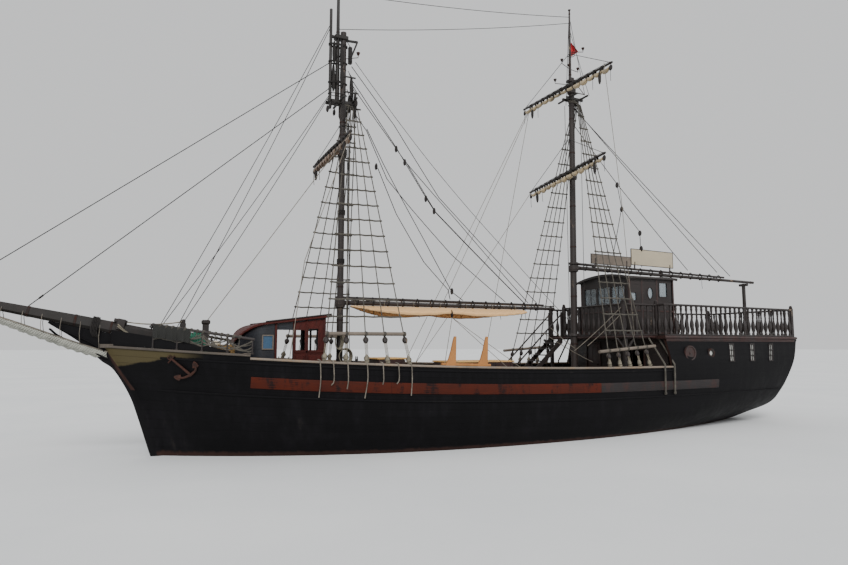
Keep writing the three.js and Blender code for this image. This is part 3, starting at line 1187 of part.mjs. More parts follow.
// Timbers that stand on the rail at the boarding place
const TIMBER_Y = halfBreadth(3000, BULWARK_TOP) - 60;
const chockLow = BULWARK_TOP + CAP_THICK + 2 * TOUCH;
const chockTop = chockLow + 70;
const TIMBER_WIDTH = 90;
const timberFin = (aft, foot, top) => plateXZ(
  [[aft + foot, chockTop - 10], [aft, chockTop - 10], [aft - 20, 3110], [aft + top, 3110]],
  TIMBER_Y - TIMBER_WIDTH / 2, TIMBER_Y + TIMBER_WIDTH / 2);
const timbers = join([
  timberFin(3780, 340, 50),
  timberFin(2770, 340, 50),
  sideStrip(SIDES.port, 2680, 4190, chockLow, chockTop, 15, 15 + TIMBER_WIDTH, 4, BULWARK_TOP),
]);
const timberRoom = sideStrip(SIDES.port, CASTLE_FRONT, BULWARK_STEP, BULWARK_TOP - 200, chockLow,
  -60, PLANK + 60, CAP_STEPS);
put('boarding_timbers', cut(timbers, [timberRoom]), 'paleWood');

// Rudder on a stock that turns in the hull and stands in the keel's heel
const rudderOutline = [
  [RUDDER_X + 60, RUDDER_FOOT], [RUDDER_X - 760, RUDDER_FOOT + 30], [RUDDER_X - 820, -700],
  [RUDDER_X - 640, RUDDER_TOP - 60], [RUDDER_X + 60, RUDDER_TOP],
];
const RUDDER_HALF = 38;
put('rudder', join([
  plateXZ(rudderOutline, -RUDDER_HALF, RUDDER_HALF),
  post(RUDDER_X, 0, RUDDER_FOOT, STOCK_TOP, STOCK_RADIUS),
  post(RUDDER_X, 0, KEEL_FOOT + 60, RUDDER_FOOT + 20, HEEL_PIN_RADIUS, BEARING_SIDES),
]), 'keelPaint');

const BOSS = { half: 90, aftRadius: 60, foreRadius: 80 };
const blades = [
  bar([PROPELLER_X - BOSS.half, 0, SHAFT_Z], [PROPELLER_X + BOSS.half, 0, SHAFT_Z],
    BOSS.aftRadius, BOSS.foreRadius, MAST_SIDES),
  bar([PROPELLER_X, 0, SHAFT_Z], [SHAFT_HEAD_X, 0, SHAFT_Z], SHAFT_RADIUS, SHAFT_RADIUS, BEARING_SIDES),
];
const BLADE_COUNT = 3;
const BLADE = { thick: 22, halfWidth: 130, middle: 0.56, reach: 0.46, pitch: 0.6 };
for (let i = 0; i < BLADE_COUNT; i++) {
  const shape = new THREE.Shape();
  shape.absellipse(
    0, PROPELLER_RADIUS * BLADE.middle, BLADE.halfWidth, PROPELLER_RADIUS * BLADE.reach, 0, Math.PI * 2);
  const blade = new THREE.ExtrudeGeometry(shape, { depth: BLADE.thick, bevelEnabled: false, curveSegments: 10 });
  blade.translate(0, 0, -BLADE.thick / 2);
  blade.rotateY(Math.PI / 2 - BLADE.pitch);
  blade.rotateX(Math.PI * 2 * i / BLADE_COUNT);
  blade.translate(PROPELLER_X, 0, SHAFT_Z);
  blades.push(solid(blade));
}
put('propeller', join(blades), 'bronze');

// Flag at the main pole, whose radius at the flag's height leaves it this far from the middle
const FLAG = { low: 13650, high: 14250, half: 14, fly: 342.6, clear: 47.4 };
const flagHoist = POLE_OFFSET - FLAG.clear;
put('flag', block(flagHoist - FLAG.fly, flagHoist, -FLAG.half, FLAG.half, FLAG.low, FLAG.high), 'flagRed', mainRig);

export default boat;
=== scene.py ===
"""Finish of a two-masted wooden excursion ship: planking, joinery, rig, cloth and stage.
Metres, +X to the bow, +Y to port, +Z up, with the waterline at z = 0."""
import json
import math
import bmesh
import bpy
import numpy as np
from mathutils import Matrix, Vector

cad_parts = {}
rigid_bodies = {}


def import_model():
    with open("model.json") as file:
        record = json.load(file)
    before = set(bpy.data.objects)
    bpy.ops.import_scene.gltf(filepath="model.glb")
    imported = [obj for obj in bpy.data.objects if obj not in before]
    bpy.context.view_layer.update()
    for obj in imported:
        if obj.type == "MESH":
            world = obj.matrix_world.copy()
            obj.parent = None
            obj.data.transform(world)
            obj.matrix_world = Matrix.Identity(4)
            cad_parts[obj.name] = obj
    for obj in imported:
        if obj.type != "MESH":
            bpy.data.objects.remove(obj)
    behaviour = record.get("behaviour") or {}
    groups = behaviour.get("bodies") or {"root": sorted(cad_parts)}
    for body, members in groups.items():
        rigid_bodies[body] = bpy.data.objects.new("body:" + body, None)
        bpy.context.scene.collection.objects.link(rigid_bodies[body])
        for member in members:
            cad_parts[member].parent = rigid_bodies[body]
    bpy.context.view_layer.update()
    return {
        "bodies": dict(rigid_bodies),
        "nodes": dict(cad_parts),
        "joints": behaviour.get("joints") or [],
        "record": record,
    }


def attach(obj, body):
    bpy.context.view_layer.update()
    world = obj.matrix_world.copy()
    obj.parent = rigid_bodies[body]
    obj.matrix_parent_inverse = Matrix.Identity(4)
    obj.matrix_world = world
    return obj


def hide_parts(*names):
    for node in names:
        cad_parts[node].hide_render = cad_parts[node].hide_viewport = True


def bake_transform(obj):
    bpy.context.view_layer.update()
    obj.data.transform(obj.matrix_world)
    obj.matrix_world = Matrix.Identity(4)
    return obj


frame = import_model()

bl_info = {
    "name": "Two-masted excursion ship",
    "version": (1, 0, 0),
    "blender": (4, 5, 0),
    "location": "3D View > Sidebar > Ship",
    "description": "Builds the planking, joinery, rig and cloth of a wooden ship around its model",
    "category": "Add Mesh",
}

# Driving sizes of the hull
MIDSHIP = 1.0
DECK = 1.2
BULWARK_TOP = 2.14
FORECASTLE_TOP = 2.24
FORECASTLE_DECK = 1.95
QUARTERDECK = 3.2
CASTLE_TOP = 3.1
PLANK = 0.09
MOULDING = 0.03
STEM_HALF = 0.08
SHEER_START = -2.9
SHEER_RATE = 2.5e-3
CASTLE_FRONT = -4.3
QUARTERDECK_FRONT = -2.9
PORCH_HALF = 2.08
BULWARK_STEP = 9.15
FORECASTLE_AFT = 9.45
PORT, STARBOARD = 1, -1
BOTH = (PORT, STARBOARD)
SIDES = ((PORT, "port"), (STARBOARD, "starboard"))
AHEAD, ABEAM, UP = (1.0, 0.0, 0.0), (0.0, 1.0, 0.0), (0.0, 0.0, 1.0)

# Hull form: height on the midship section, stem, stern, half-breadth amidships, fullness of the
# bow and of the stern, half-breadth at the stern
LEVELS = np.array([
    [-1.10, 9.60, -8.90, 0.12, 2.0, 2.0, 0.10],
    [-0.95, 10.15, -9.00, 0.95, 1.6, 1.6, 0.10],
    [-0.60, 10.70, -9.15, 1.95, 1.9, 1.7, 0.105],
    [-0.20, 11.00, -9.40, 2.45, 2.2, 1.8, 0.12],
    [0.20, 11.25, -10.25, 2.68, 2.5, 2.2, 0.55],
    [0.60, 11.45, -10.75, 2.79, 2.7, 2.4, 1.25],
    [1.20, 11.85, -10.95, 2.86, 3.0, 2.5, 1.75],
    [1.75, 12.25, -11.15, 2.87, 3.1, 2.5, 1.95],
    [2.26, 12.62, -11.35, 2.84, 3.2, 2.5, 2.05],
    [3.15, 13.20, -11.62, 2.56, 3.2, 2.2, 2.02],
])
HULL_FOOT = LEVELS[0, 0]


def form(height):
    """Stem, stern, half-breadth, two fullness powers and stern half-breadth at nominal heights:
    cubic curves through the rows of LEVELS, with the mean slope of both sides at each row."""
    heights, values = LEVELS[:, 0], LEVELS[:, 1:]
    slopes = np.gradient(values, heights, axis=0)
    height = np.clip(np.asarray(height, float), heights[0], heights[-1])
    k = np.clip(np.searchsorted(heights, height, side="right") - 1, 0, len(heights) - 2)
    span = heights[k + 1] - heights[k]
    t = ((height - heights[k]) / span)[..., None]
    span = span[..., None]
    start = (2 * t**3 - 3 * t**2 + 1) * values[k] + (t**3 - 2 * t**2 + t) * span * slopes[k]
    end = (3 * t**2 - 2 * t**3) * values[k + 1] + (t**3 - t**2) * span * slopes[k + 1]
    return np.moveaxis(start + end, -1, 0)


def sheer(x, height=DECK):
    """Lift of a level towards the bow: the square of the distance past SHEER_START, in full from
    the deck's height up and in proportion below it."""
    share = np.clip(np.asarray(height, float) / DECK, 0, 1)
    return share * SHEER_RATE * np.maximum(0, np.asarray(x, float) - SHEER_START) ** 2


def half_breadth(x, height):
    """Half-breadth of the hull: it falls from amidships towards the stem and the stern with a power
    of the share of the way there."""
    stem, stern, half, bow_power, stern_power, stern_half = form(height)
    x = np.asarray(x, float)
    fore = np.clip((x - MIDSHIP) / (stem - MIDSHIP), 0, 1)
    aft = np.clip((MIDSHIP - x) / (MIDSHIP - stern), 0, 1)
    bow = np.maximum(STEM_HALF, half * (1 - fore**bow_power))
    return np.where(x >= MIDSHIP, bow, stern_half + (half - stern_half) * (1 - aft**stern_power))


def beam(x, height):
    """Half-breadth of the hull at one place, as a plain number."""
    return float(half_breadth(x, height))


def sheered(x, height=DECK):
    """Height of a level at one place along the ship, with the sheer added."""
    return height + float(sheer(x))


def stacked(*axes):
    """Points from arrays of X, Y and Z that are stretched to one shape."""
    return np.stack(np.broadcast_arrays(*axes), axis=-1)


def skin(x, height, side, inset=0.0):
    """Points on one side's planking at places along the ship and nominal heights."""
    breadth = np.maximum(half_breadth(x, height) - inset, 0.0)
    return stacked(x, side * breadth, height + sheer(x, height))


# Surfaces
class Patch:
    """A piece of surface: points, arrays of faces by corner count, and a UV pair at each corner."""

    def __init__(self, points, faces, uvs):
        self.points, self.faces, self.uvs = points, faces, uvs

    def outward(self):
        """Turned so that its signed volume, the sum of its faces' pyramids, is positive."""
        volume = 0.0
        for faces in self.faces:
            corners = self.points[faces]
            volume += (corners[:, :1] * np.cross(corners[:, 1:-1], corners[:, 2:])).sum()
        if volume >= 0:
            return self
        return Patch(self.points, [f[:, ::-1] for f in self.faces], [u[:, ::-1] for u in self.uvs])

    def copies(self, matrices):
        """One patch that holds a copy of this one under each four-by-four matrix."""
        matrices = np.asarray(matrices, float)
        points = np.einsum("kij,nj->kni", matrices[:, :3, :3], self.points)
        points = (points + matrices[:, None, :3, 3]).reshape(-1, 3)
        step = np.arange(len(matrices))[:, None, None]
        faces = [(f[None] + step * len(self.points)).reshape(-1, f.shape[1]) for f in self.faces]
        uvs = [(u[None] + step[..., None] * (1.37, 0.61)).reshape(-1, *u.shape[1:]) for u in self.uvs]
        return Patch(points, faces, uvs)


def unit(vectors):
    """Vectors divided by their lengths."""
    return vectors / np.maximum(np.linalg.norm(vectors, axis=-1, keepdims=True), 1e-12)


def lengths(points, axis):
    """Running length along one axis of a grid of points, as a mean over the other axis."""
    steps = np.linalg.norm(np.diff(points, axis=axis), axis=2).mean(axis=1 - axis)
    return np.concatenate([[0.0], np.cumsum(steps)])


def cap(ring, first):
    """Flat face over a ring of points, with its UV in the ring's own plane."""
    points, numbers = ring
    middle = points.mean(axis=0)
    along = unit(points[0] - middle)
    normal = unit(np.cross(points, np.roll(points, -1, axis=0)).sum(axis=0) + 1e-9)
    across = np.cross(normal, along)
    uv = np.stack([(points - middle) @ along, (points - middle) @ across], axis=1)
    return (numbers[None], uv[None]) if first else (numbers[::-1][None], uv[::-1][None])


def grid(points, closed=False, looped=False, caps=False, u=None, v=None, turn=False):
    """Surface over rows and columns of points, one four-sided face to a cell. With closed the last
    column joins the first, with looped the last row joins the first, and caps close both end rows.
    U is the length along the rows and V the length across them, unless they are given."""
    points = np.asarray(points, float)
    rows, columns, _ = points.shape
    ring = np.concatenate([points, points[:, :1]], axis=1) if closed else points
    ring = np.concatenate([ring, ring[:1]], axis=0) if looped else ring
    shape = ring.shape[:2]
    u = lengths(ring, 0)[:, None] if u is None else np.asarray(u, float)
    v = lengths(ring, 1)[None] if v is None else np.asarray(v, float)
    uv = np.stack([np.broadcast_to(u, shape), np.broadcast_to(v, shape)], axis=-1)
    i, j = (a.ravel() for a in np.meshgrid(np.arange(shape[0] - 1), np.arange(shape[1] - 1), indexing="ij"))
    down, right = (i + 1) % rows, (j + 1) % columns
    quads = np.stack(
        [i * columns + j, down * columns + j, down * columns + right, i * columns + right], axis=1)
    corner = np.stack([uv[i, j], uv[i + 1, j], uv[i + 1, j + 1], uv[i, j + 1]], axis=1)
    faces, uvs = [quads], [corner]
    if caps:
        for row in (0, rows - 1):
            numbers = np.arange(columns) + row * columns
            face, face_uv = cap((points[row], numbers), row == 0)
            faces.append(face)
            uvs.append(face_uv)
    patch = Patch(points.reshape(-1, 3), faces, uvs)
    if turn:
        return Patch(patch.points, [f[:, ::-1] for f in faces], [w[:, ::-1] for w in uvs])
    return patch.outward() if caps or (closed and looped) else patch


def solid(points, **uv):
    """Surface that is closed round its columns and over both of its end rows."""
    return grid(points, closed=True, caps=True, **uv)


def carried(path, profile, up=UP, looped=False, scale=None):
    """A profile carried along a path: its first axis lies level across the path and its second one
    as near to `up` as the path allows, and scale draws it in or out at each point."""
    path, profile = np.asarray(path, float), np.asarray(profile, float)
    if looped:
        tangent = unit(np.roll(path, -1, axis=0) - np.roll(path, 1, axis=0))
    else:
        tangent = unit(np.gradient(path, axis=0))
    across = unit(np.cross(np.asarray(up, float), tangent))
    rise = np.cross(tangent, across)
    if scale is not None:
        profile = profile * np.asarray(scale, float)[:, None, None]
    return path[:, None] + across[:, None] * profile[..., :1] + rise[:, None] * profile[..., 1:]


def circle(sides, radius=1.0, start=0.0):
    """Points round a circle."""
    angle = start + np.arange(sides) * 2 * math.pi / sides
    return radius * np.stack([np.cos(angle), np.sin(angle)], axis=1)


def tube(path, radius, sides=8, up=None, looped=False, lay=False):
    """Round bar along a path, its radius one number or one for each point. With lay its V counts
    turns instead of metres, for rope."""
    path = np.asarray(path, float)
    if up is None:
        up = UP if abs(unit(path[-1] - path[0])[2]) < 0.8 or looped else (1.0, 0.2, 0.0)
    scale = np.broadcast_to(radius, len(path))
    rings = carried(path, circle(sides), up, looped, scale)
    v = np.linspace(0, 1, sides + 1)[None] if lay else None
    return grid(rings, closed=True, looped=looped, caps=not looped, v=v)


def rope(path, radius, up=None, looped=False):
    """Rope along a path: a tube of six sides whose V counts turns."""
    return tube(path, radius, 6, up, looped, lay=True)


def chamfered(width, depth, cut):
    """Eight corners of a rectangle with its edges broken."""
    w, d = width / 2, depth / 2
    return np.array([
        [-w, cut - d], [cut - w, -d], [w - cut, -d], [w, cut - d],
        [w, d - cut], [w - cut, d], [cut - w, d], [-w, d - cut],
    ])


def timber(start, end, width, depth, up=UP, cut=0.008, taper=1.0):
    """Squared bar between two points with all its edges broken: an eight-cornered section that is
    drawn in over the last few millimetres at both ends."""
    start, end = np.asarray(start, float), np.asarray(end, float)
    run = np.linalg.norm(end - start)
    share = np.array([0.0, cut / run, 1 - cut / run, 1.0])
    path = start + (end - start) * share[:, None]
    inner = 1 - 1.6 * cut / min(width, depth)
    scale = np.array([inner, 1.0, taper, taper * inner])
    return solid(carried(path, chamfered(width, depth, cut), up, scale=scale))


def post(foot, low, high, width, cut):
    """Square upright timber at a place, from one height to another."""
    return timber((*foot, low), (*foot, high), width, width, AHEAD, cut)


def box(low, high, cut=0.008):
    """Timber that fills the space between two corners, with its length along its longest side."""
    low, high = np.asarray(low, float), np.asarray(high, float)
    size, middle = high - low, (low + high) / 2
    axis = int(np.argmax(size))
    step = np.zeros(3)
    step[axis] = size[axis] / 2
    up = UP if axis != 2 else AHEAD
    if axis == 0:
        width, depth = size[1], size[2]
    elif axis == 1:
        width, depth = size[0], size[2]
    else:
        width, depth = size[1], size[0]
    return timber(middle - step, middle + step, width, depth, up, min(cut, 0.3 * min(width, depth)))


def turned(profile, base, axis=UP, sides=16):
    """Lathe work: rows of radius and height, turned about an axis that starts at base."""
    profile, base, axis = np.asarray(profile, float), np.asarray(base, float), unit(np.asarray(axis, float))
    across = unit(np.cross(axis, ABEAM if abs(axis[1]) < 0.9 else AHEAD))
    rise = np.cross(axis, across)
    ring = circle(sides)
    round_it = ring[:, :1] * across + ring[:, 1:] * rise
    rings = base + profile[:, None, :1] * round_it[None] + profile[:, 1][:, None, None] * axis
    return solid(rings)


def around(count):
    """Angles of equal steps round a circle."""
    return np.linspace(0, math.tau, count + 1)[:-1]


def smooth_line(points, steps=8):
    """Curve through points: a Catmull-Rom cubic between each pair, as whole arrays."""
    points = np.asarray(points, float)
    ends = np.concatenate([2 * points[:1] - points[1:2], points, 2 * points[-1:] - points[-2:-1]])
    a, b, c, d = ends[:-3, None], ends[1:-2, None], ends[2:-1, None], ends[3:, None]
    t = (np.arange(steps) / steps)[None, :, None]
    curve = 0.5 * (
        2 * b + (c - a) * t + (2 * a - 5 * b + 4 * c - d) * t**2 + (3 * b - a - 3 * c + d) * t**3)
    return np.concatenate([curve.reshape(-1, points.shape[1]), points[-1:]])


def offset(outline, distance):
    """Closed outline moved in by a distance, each corner along the mean of its two edges' normals."""
    outline = np.asarray(outline, float)
    before = unit(outline - np.roll(outline, 1, axis=0))
    after = unit(np.roll(outline, -1, axis=0) - outline)
    normal = np.stack([-before[:, 1] - after[:, 1], before[:, 0] + after[:, 0]], axis=1)
    area = (outline[:, 0] * np.roll(outline[:, 1], -1) - np.roll(outline[:, 0], -1) * outline[:, 1]).sum()
    square = (normal**2).sum(axis=1, keepdims=True)
    return outline + math.copysign(1.0, area) * distance * 2 * normal / np.maximum(square, 1.0)


def laid_on(outline, plane, place):
    """Points of a flat outline in the plane across an axis, at a place on that axis."""
    outline = np.asarray(outline, float)
    column = np.full(len(outline), place)
    order = {"x": (column, outline[:, 0], outline[:, 1]), "y": (outline[:, 0], column, outline[:, 1]),
             "z": (outline[:, 0], outline[:, 1], column)}[plane]
    return np.stack(order, axis=1)


def plate(outline, low, high, plane="y", cut=0.008):
    """Board of any outline with broken edges: the outline at four depths, drawn in at both faces."""
    inner = offset(outline, cut)
    places = ((inner, low), (outline, low + cut), (outline, high - cut), (inner, high))
    rows = np.stack([laid_on(o, plane, place) for o, place in places])
    return solid(rows)


def hoop(outline, width, low, high, plane="y"):
    """Flat frame round an outline: its inner and outer edges at two depths, joined all round."""
    outer = offset(outline, -width)
    rows = ((outline, low), (outline, high), (outer, high), (outer, low))
    rings = np.stack([laid_on(o, plane, place) for o, place in rows])
    return grid(rings, closed=True, looped=True)


def slack(start, end, sag=0.0, steps=12):
    """Line between two points that hangs down by the sag in the middle, as a parabola."""
    share = np.linspace(0, 1, steps + 1)
    line = np.asarray(start, float) + (np.asarray(end, float) - np.asarray(start, float)) * share[:, None]
    line[:, 2] -= 4 * sag * share * (1 - share)
    return line


def shift(*places):
    """Matrices that move a patch to places."""
    return np.array([Matrix.Translation(Vector(p)) for p in places])


def built(name, patches, finish, body="ship", replaces=(), carve=(), sharp=35.0, weld=False):
    """One object from patches: their points, faces and UVs joined as whole arrays, cut by the carve
    patches, shaded smooth up to the sharp angle, and told the body that it rides on. A
    piece that will be blended between two bodies has None for its body."""
    mesh = mesh_of(name, patches)
    piece = bpy.data.objects.new(name, mesh)
    bpy.context.collection.objects.link(piece)
    if carve:
        carve_out(piece, carve)
    if weld:
        work = bmesh.new()
        work.from_mesh(piece.data)
        bmesh.ops.remove_doubles(work, verts=work.verts, dist=1e-5)
        work.to_mesh(piece.data)
        work.free()
    piece.data.polygons.foreach_set("use_smooth", np.ones(len(piece.data.polygons), bool))
    piece.data.set_sharp_from_angle(angle=math.radians(sharp))
    piece.data.materials.append(bpy.data.materials[finish])
    if body:
        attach(piece, body)
    if replaces:
        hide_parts(*replaces)
    return piece


def mesh_of(name, patches):
    """Mesh that holds all the patches' points and faces and their UVs."""
    points, corners, starts, uvs = [], [], [], []
    first_point, first_corner = 0, 0
    for patch in patches:
        points.append(patch.points)
        for faces, uv in zip(patch.faces, patch.uvs):
            size = faces.shape[1]
            corners.append((faces + first_point).ravel())
            starts.append(first_corner + np.arange(len(faces)) * size)
            uvs.append(uv.reshape(-1, 2))
            first_corner += faces.size
        first_point += len(patch.points)
    points, corners, starts, uvs = (np.concatenate(a) for a in (points, corners, starts, uvs))
    mesh = bpy.data.meshes.new(name)
    mesh.vertices.add(len(points))
    mesh.vertices.foreach_set("co", points.astype(np.float32).ravel())
    mesh.loops.add(len(corners))
    mesh.loops.foreach_set("vertex_index", corners.astype(np.int32))
    mesh.polygons.add(len(starts))
    mesh.polygons.foreach_set("loop_start", starts.astype(np.int32))
    layer = mesh.uv_layers.new(name="UVMap")
    layer.data.foreach_set("uv", uvs.astype(np.float32).ravel())
    mesh.update(calc_edges=True)
    mesh.validate()
    return mesh


def carve_out(piece, cutters):
    """Cuts patches out of a piece with an exact boolean and keeps the result as its mesh."""
    tool = bpy.data.objects.new(f"{piece.name}_cutter", mesh_of("cutter", cutters))
    bpy.context.collection.objects.link(tool)
    modifier = piece.modifiers.new("cut", "BOOLEAN")
    modifier.operation, modifier.solver, modifier.object = "DIFFERENCE", "EXACT", tool
    graph = bpy.context.evaluated_depsgraph_get()
    cut_mesh = bpy.data.meshes.new_from_object(piece.evaluated_get(graph), depsgraph=graph)
    piece.modifiers.clear()
    piece.data = cut_mesh
    bpy.data.objects.remove(tool)


# Finishes
# Settings of a Mix node for colours, whose inputs 6 and 7 are the colours and output 2 the result
COLOUR_MIX = {"out": 2, "data_type": "RGBA"}


def linear(code):
    """Linear colour of an sRGB hex value."""
    channels = np.array([int(code[i:i + 2], 16) for i in (1, 3, 5)]) / 255
    bright = ((channels + 0.055) / 1.055) ** 2.4
    return (*np.where(channels <= 0.04045, channels / 12.92, bright).tolist(), 1.0)


def shade(colour, factor):
    """A colour made darker or lighter by a factor."""
    return (*[min(1.0, c * factor) for c in colour[:3]], 1.0)


def add(tree, kind, *values, out=0, stops=(), named=(), **settings):
    """Adds one node: its settings, then its inputs in order or by name, each a number, a colour or
    another node's output, then a ramp's stops. Returns one of its outputs, or all for None."""
    made = tree.nodes.new("ShaderNode" + kind)
    for name, value in settings.items():
        setattr(made, name, value)
    for socket, value in [*enumerate(values), *dict(named).items()]:
        if isinstance(value, bpy.types.NodeSocket):
            tree.links.new(value, made.inputs[socket])
        else:
            made.inputs[socket].default_value = value
    for i, (place, colour) in enumerate(stops):
        element = made.color_ramp.elements[i] if i < 2 else made.color_ramp.elements.new(place)
        element.position, element.color = place, colour
    return made.outputs if out is None or not len(made.outputs) else made.outputs[out]


def streaks(tree, place, scale, stretch=(1, 1, 1), detail=5.0, rough=0.55):
    """Cloudy pattern of one over the scale in metres, drawn out along the axes by the stretch."""
    moved = add(tree, "Mapping", place, named={"Scale": stretch})
    return add(tree, "TexNoise", moved, named={"Scale": scale, "Detail": detail, "Roughness": rough})


def band(tree, value, low, high, soft):
    """One where a value lies between two bounds, with soft edges, and zero outside."""
    start = add(tree, "Math", low, soft, operation="SUBTRACT")
    end = add(tree, "Math", high, soft, operation="ADD")
    rise = add(tree, "MapRange", value, start, low, 0.0, 1.0)
    fall = add(tree, "MapRange", value, high, end, 1.0, 0.0)
    return add(tree, "Math", rise, fall, operation="MULTIPLY")


def summed(tree, *terms):
    """Sum of patterns, each times its own weight."""
    total = 0.0
    for pattern, weight in terms:
        total = add(tree, "Math", pattern, weight, total, operation="MULTIPLY_ADD")
    return total


def started(name):
    """Node tree of a new, empty material, with its UV and Object coordinates."""
    material = bpy.data.materials.new(name)
    material.use_nodes = True
    tree = material.node_tree
    tree.nodes.clear()
    places = add(tree, "TexCoord", out=None)
    return tree, places["UV"], places["Object"]


def shaded(tree, colour, rough, height=None, depth=0.002, strength=0.8, **fixed):
    """Ends a material: its colour, its roughness, a height that becomes bump over a depth in metres,
    and values that are the same all over, each on its own socket."""
    inputs = {"Base Color": colour, "Roughness": rough}
    inputs.update({name.replace("_", " "): value for name, value in fixed.items()})
    if height is not None:
        inputs["Normal"] = add(
            tree, "Bump", named={"Height": height, "Distance": depth, "Strength": strength})
    shader = add(tree, "BsdfPrincipled", named=inputs)
    add(tree, "OutputMaterial", shader)


def timber_finish(
        name, colour, worn, wear, grain_mm=10.0, rough=(0.55, 0.85), planks=None, contrast=0.45, shine=0.5):
    """Wood: its fibres are streaks along U, 25 times as long as wide, and its weathering is cloudy in
    the ship's own space, where the worn colour shows through. Planks give width, length and seam."""
    tree, uv, place = started(name)
    across = 1000.0 / grain_mm
    fibre = streaks(tree, uv, 1.0, (across / 25, across, 1), 6.0, 0.65)
    weather = streaks(tree, place, 1.3, detail=4.0)
    patches = streaks(tree, place, 2.6, (1, 1, 0.4), 6.0, 0.7)
    tone = summed(tree, (fibre, 0.55), (weather, 0.45))
    stops = [(0.34, shade(colour, 1 - contrast)), (0.5, colour), (0.68, shade(colour, 1 + contrast))]
    paint = add(tree, "ValToRGB", tone, stops=stops)
    bare = add(tree, "MapRange", summed(tree, (patches, 0.6), (fibre, 0.4)), 0.66 - wear / 4,
               0.7 - wear / 4, 0.0, 0.85)
    paint = add(tree, "Mix", bare, named={6: paint, 7: worn}, **COLOUR_MIX)
    height = summed(tree, (fibre, 0.5), (bare, -0.1))
    if planks:
        width, length, seam = planks
        tint, joint = add(
            tree, "TexBrick", uv, out=None, offset=0.37, offset_frequency=2,
            named={"Color1": (0.6, 0.6, 0.6, 1), "Color2": (1, 1, 1, 1), "Mortar": (0.12, 0.12, 0.12, 1),
                   "Scale": 1.0, "Mortar Size": seam, "Mortar Smooth": 0.2, "Bias": 0.1,
                   "Brick Width": length, "Row Height": width})
        paint = add(tree, "Mix", 0.85, named={6: paint, 7: tint}, blend_type="MULTIPLY", **COLOUR_MIX)
        height = summed(tree, (height, 1.0), (joint, -1.2))
    dull = add(tree, "MapRange", tone, 0.35, 0.65, *rough)
    shaded(tree, paint, dull, height, 0.004 if planks else 0.0015, Specular_IOR_Level=shine)


def hull_finish(name, colour, faded, panel, weed):
    """Planks under black oil paint. U is the place along the ship and V the nominal height: a faded
    tan panel lies under the bow's cap, weed lies at the water and bottom paint below it."""
    tree, uv, place = started(name)
    along, level, _ = add(tree, "SeparateXYZ", uv, out=None)
    fibre = streaks(tree, uv, 1.0, (2.4, 60, 1), 6.0, 0.65)
    runs = streaks(tree, place, 1.0, (5.0, 5.0, 0.45), 6.0, 0.7)
    cloud = streaks(tree, place, 0.8, detail=7.0, rough=0.65)
    tone = summed(tree, (runs, 0.5), (cloud, 0.5))
    stops = [(0.36, shade(colour, 0.6)), (0.5, colour), (0.6, shade(colour, 1.8)), (0.7, faded)]
    paint = add(tree, "ValToRGB", tone, stops=stops)
    ragged = summed(tree, (runs, 0.16), (level, 1.0))
    foot = add(tree, "MapRange", along, 10.9, 12.3, 2.2, 1.82)
    bow = add(tree, "Math", band(tree, ragged, foot, 2.4, 0.04), band(tree, along, 10.9, 14.0, 0.7),
              operation="MULTIPLY")
    paint = add(tree, "Mix", add(tree, "Math", bow, 0.9, operation="MULTIPLY"), named={6: paint, 7: panel},
                **COLOUR_MIX)
    paint = add(tree, "Mix", band(tree, ragged, -3.0, 0.14, 0.05), named={6: paint, 7: weed}, **COLOUR_MIX)
    tint, joint = add(
        tree, "TexBrick", uv, out=None, offset=0.37, offset_frequency=2,
        named={"Color1": (0.72, 0.72, 0.72, 1), "Color2": (1, 1, 1, 1), "Mortar": (0.3, 0.3, 0.3, 1),
               "Scale": 1.0, "Mortar Size": 0.005, "Mortar Smooth": 0.4, "Bias": 0.2, "Brick Width": 3.6,
               "Row Height": 0.17})
    paint = add(tree, "Mix", 0.7, named={6: paint, 7: tint}, blend_type="MULTIPLY", **COLOUR_MIX)
    relief = summed(tree, (fibre, 0.35), (cloud, 0.6), (joint, -0.8))
    dull = add(tree, "MapRange", tone, 0.35, 0.68, 0.5, 0.8)
    shaded(tree, paint, dull, relief, 0.006, Specular_IOR_Level=0.1)


def rope_finish(name, colour, lay_mm=80.0):
    """Three-strand rope: U is metres and V counts turns, so the sine of both gives strands that wind
    once round in a lay, which is drawn coarse enough to show. The same sine darkens the colour in the
    grooves between the strands and lightens it on their crowns: painted shade and painted highlight."""
    tree, uv, place = started(name)
    along, turn, _ = add(tree, "SeparateXYZ", uv, out=None)
    wound = summed(tree, (along, 6000 * math.pi / lay_mm), (turn, 6 * math.pi))
    strand = add(tree, "Math", wound, operation="SINE")
    # the strand's sine in the tone paints shade in the grooves and highlight on the crowns
    tone = summed(tree, (strand, 0.1), (streaks(tree, place, 6.0, detail=4.0), 1.0))
    paint = add(tree, "ValToRGB", tone, stops=[(0.3, shade(colour, 0.55)), (0.5, colour),
                                               (0.7, shade(colour, 1.4))])
    shaded(tree, paint, 0.9, strand, 0.003)


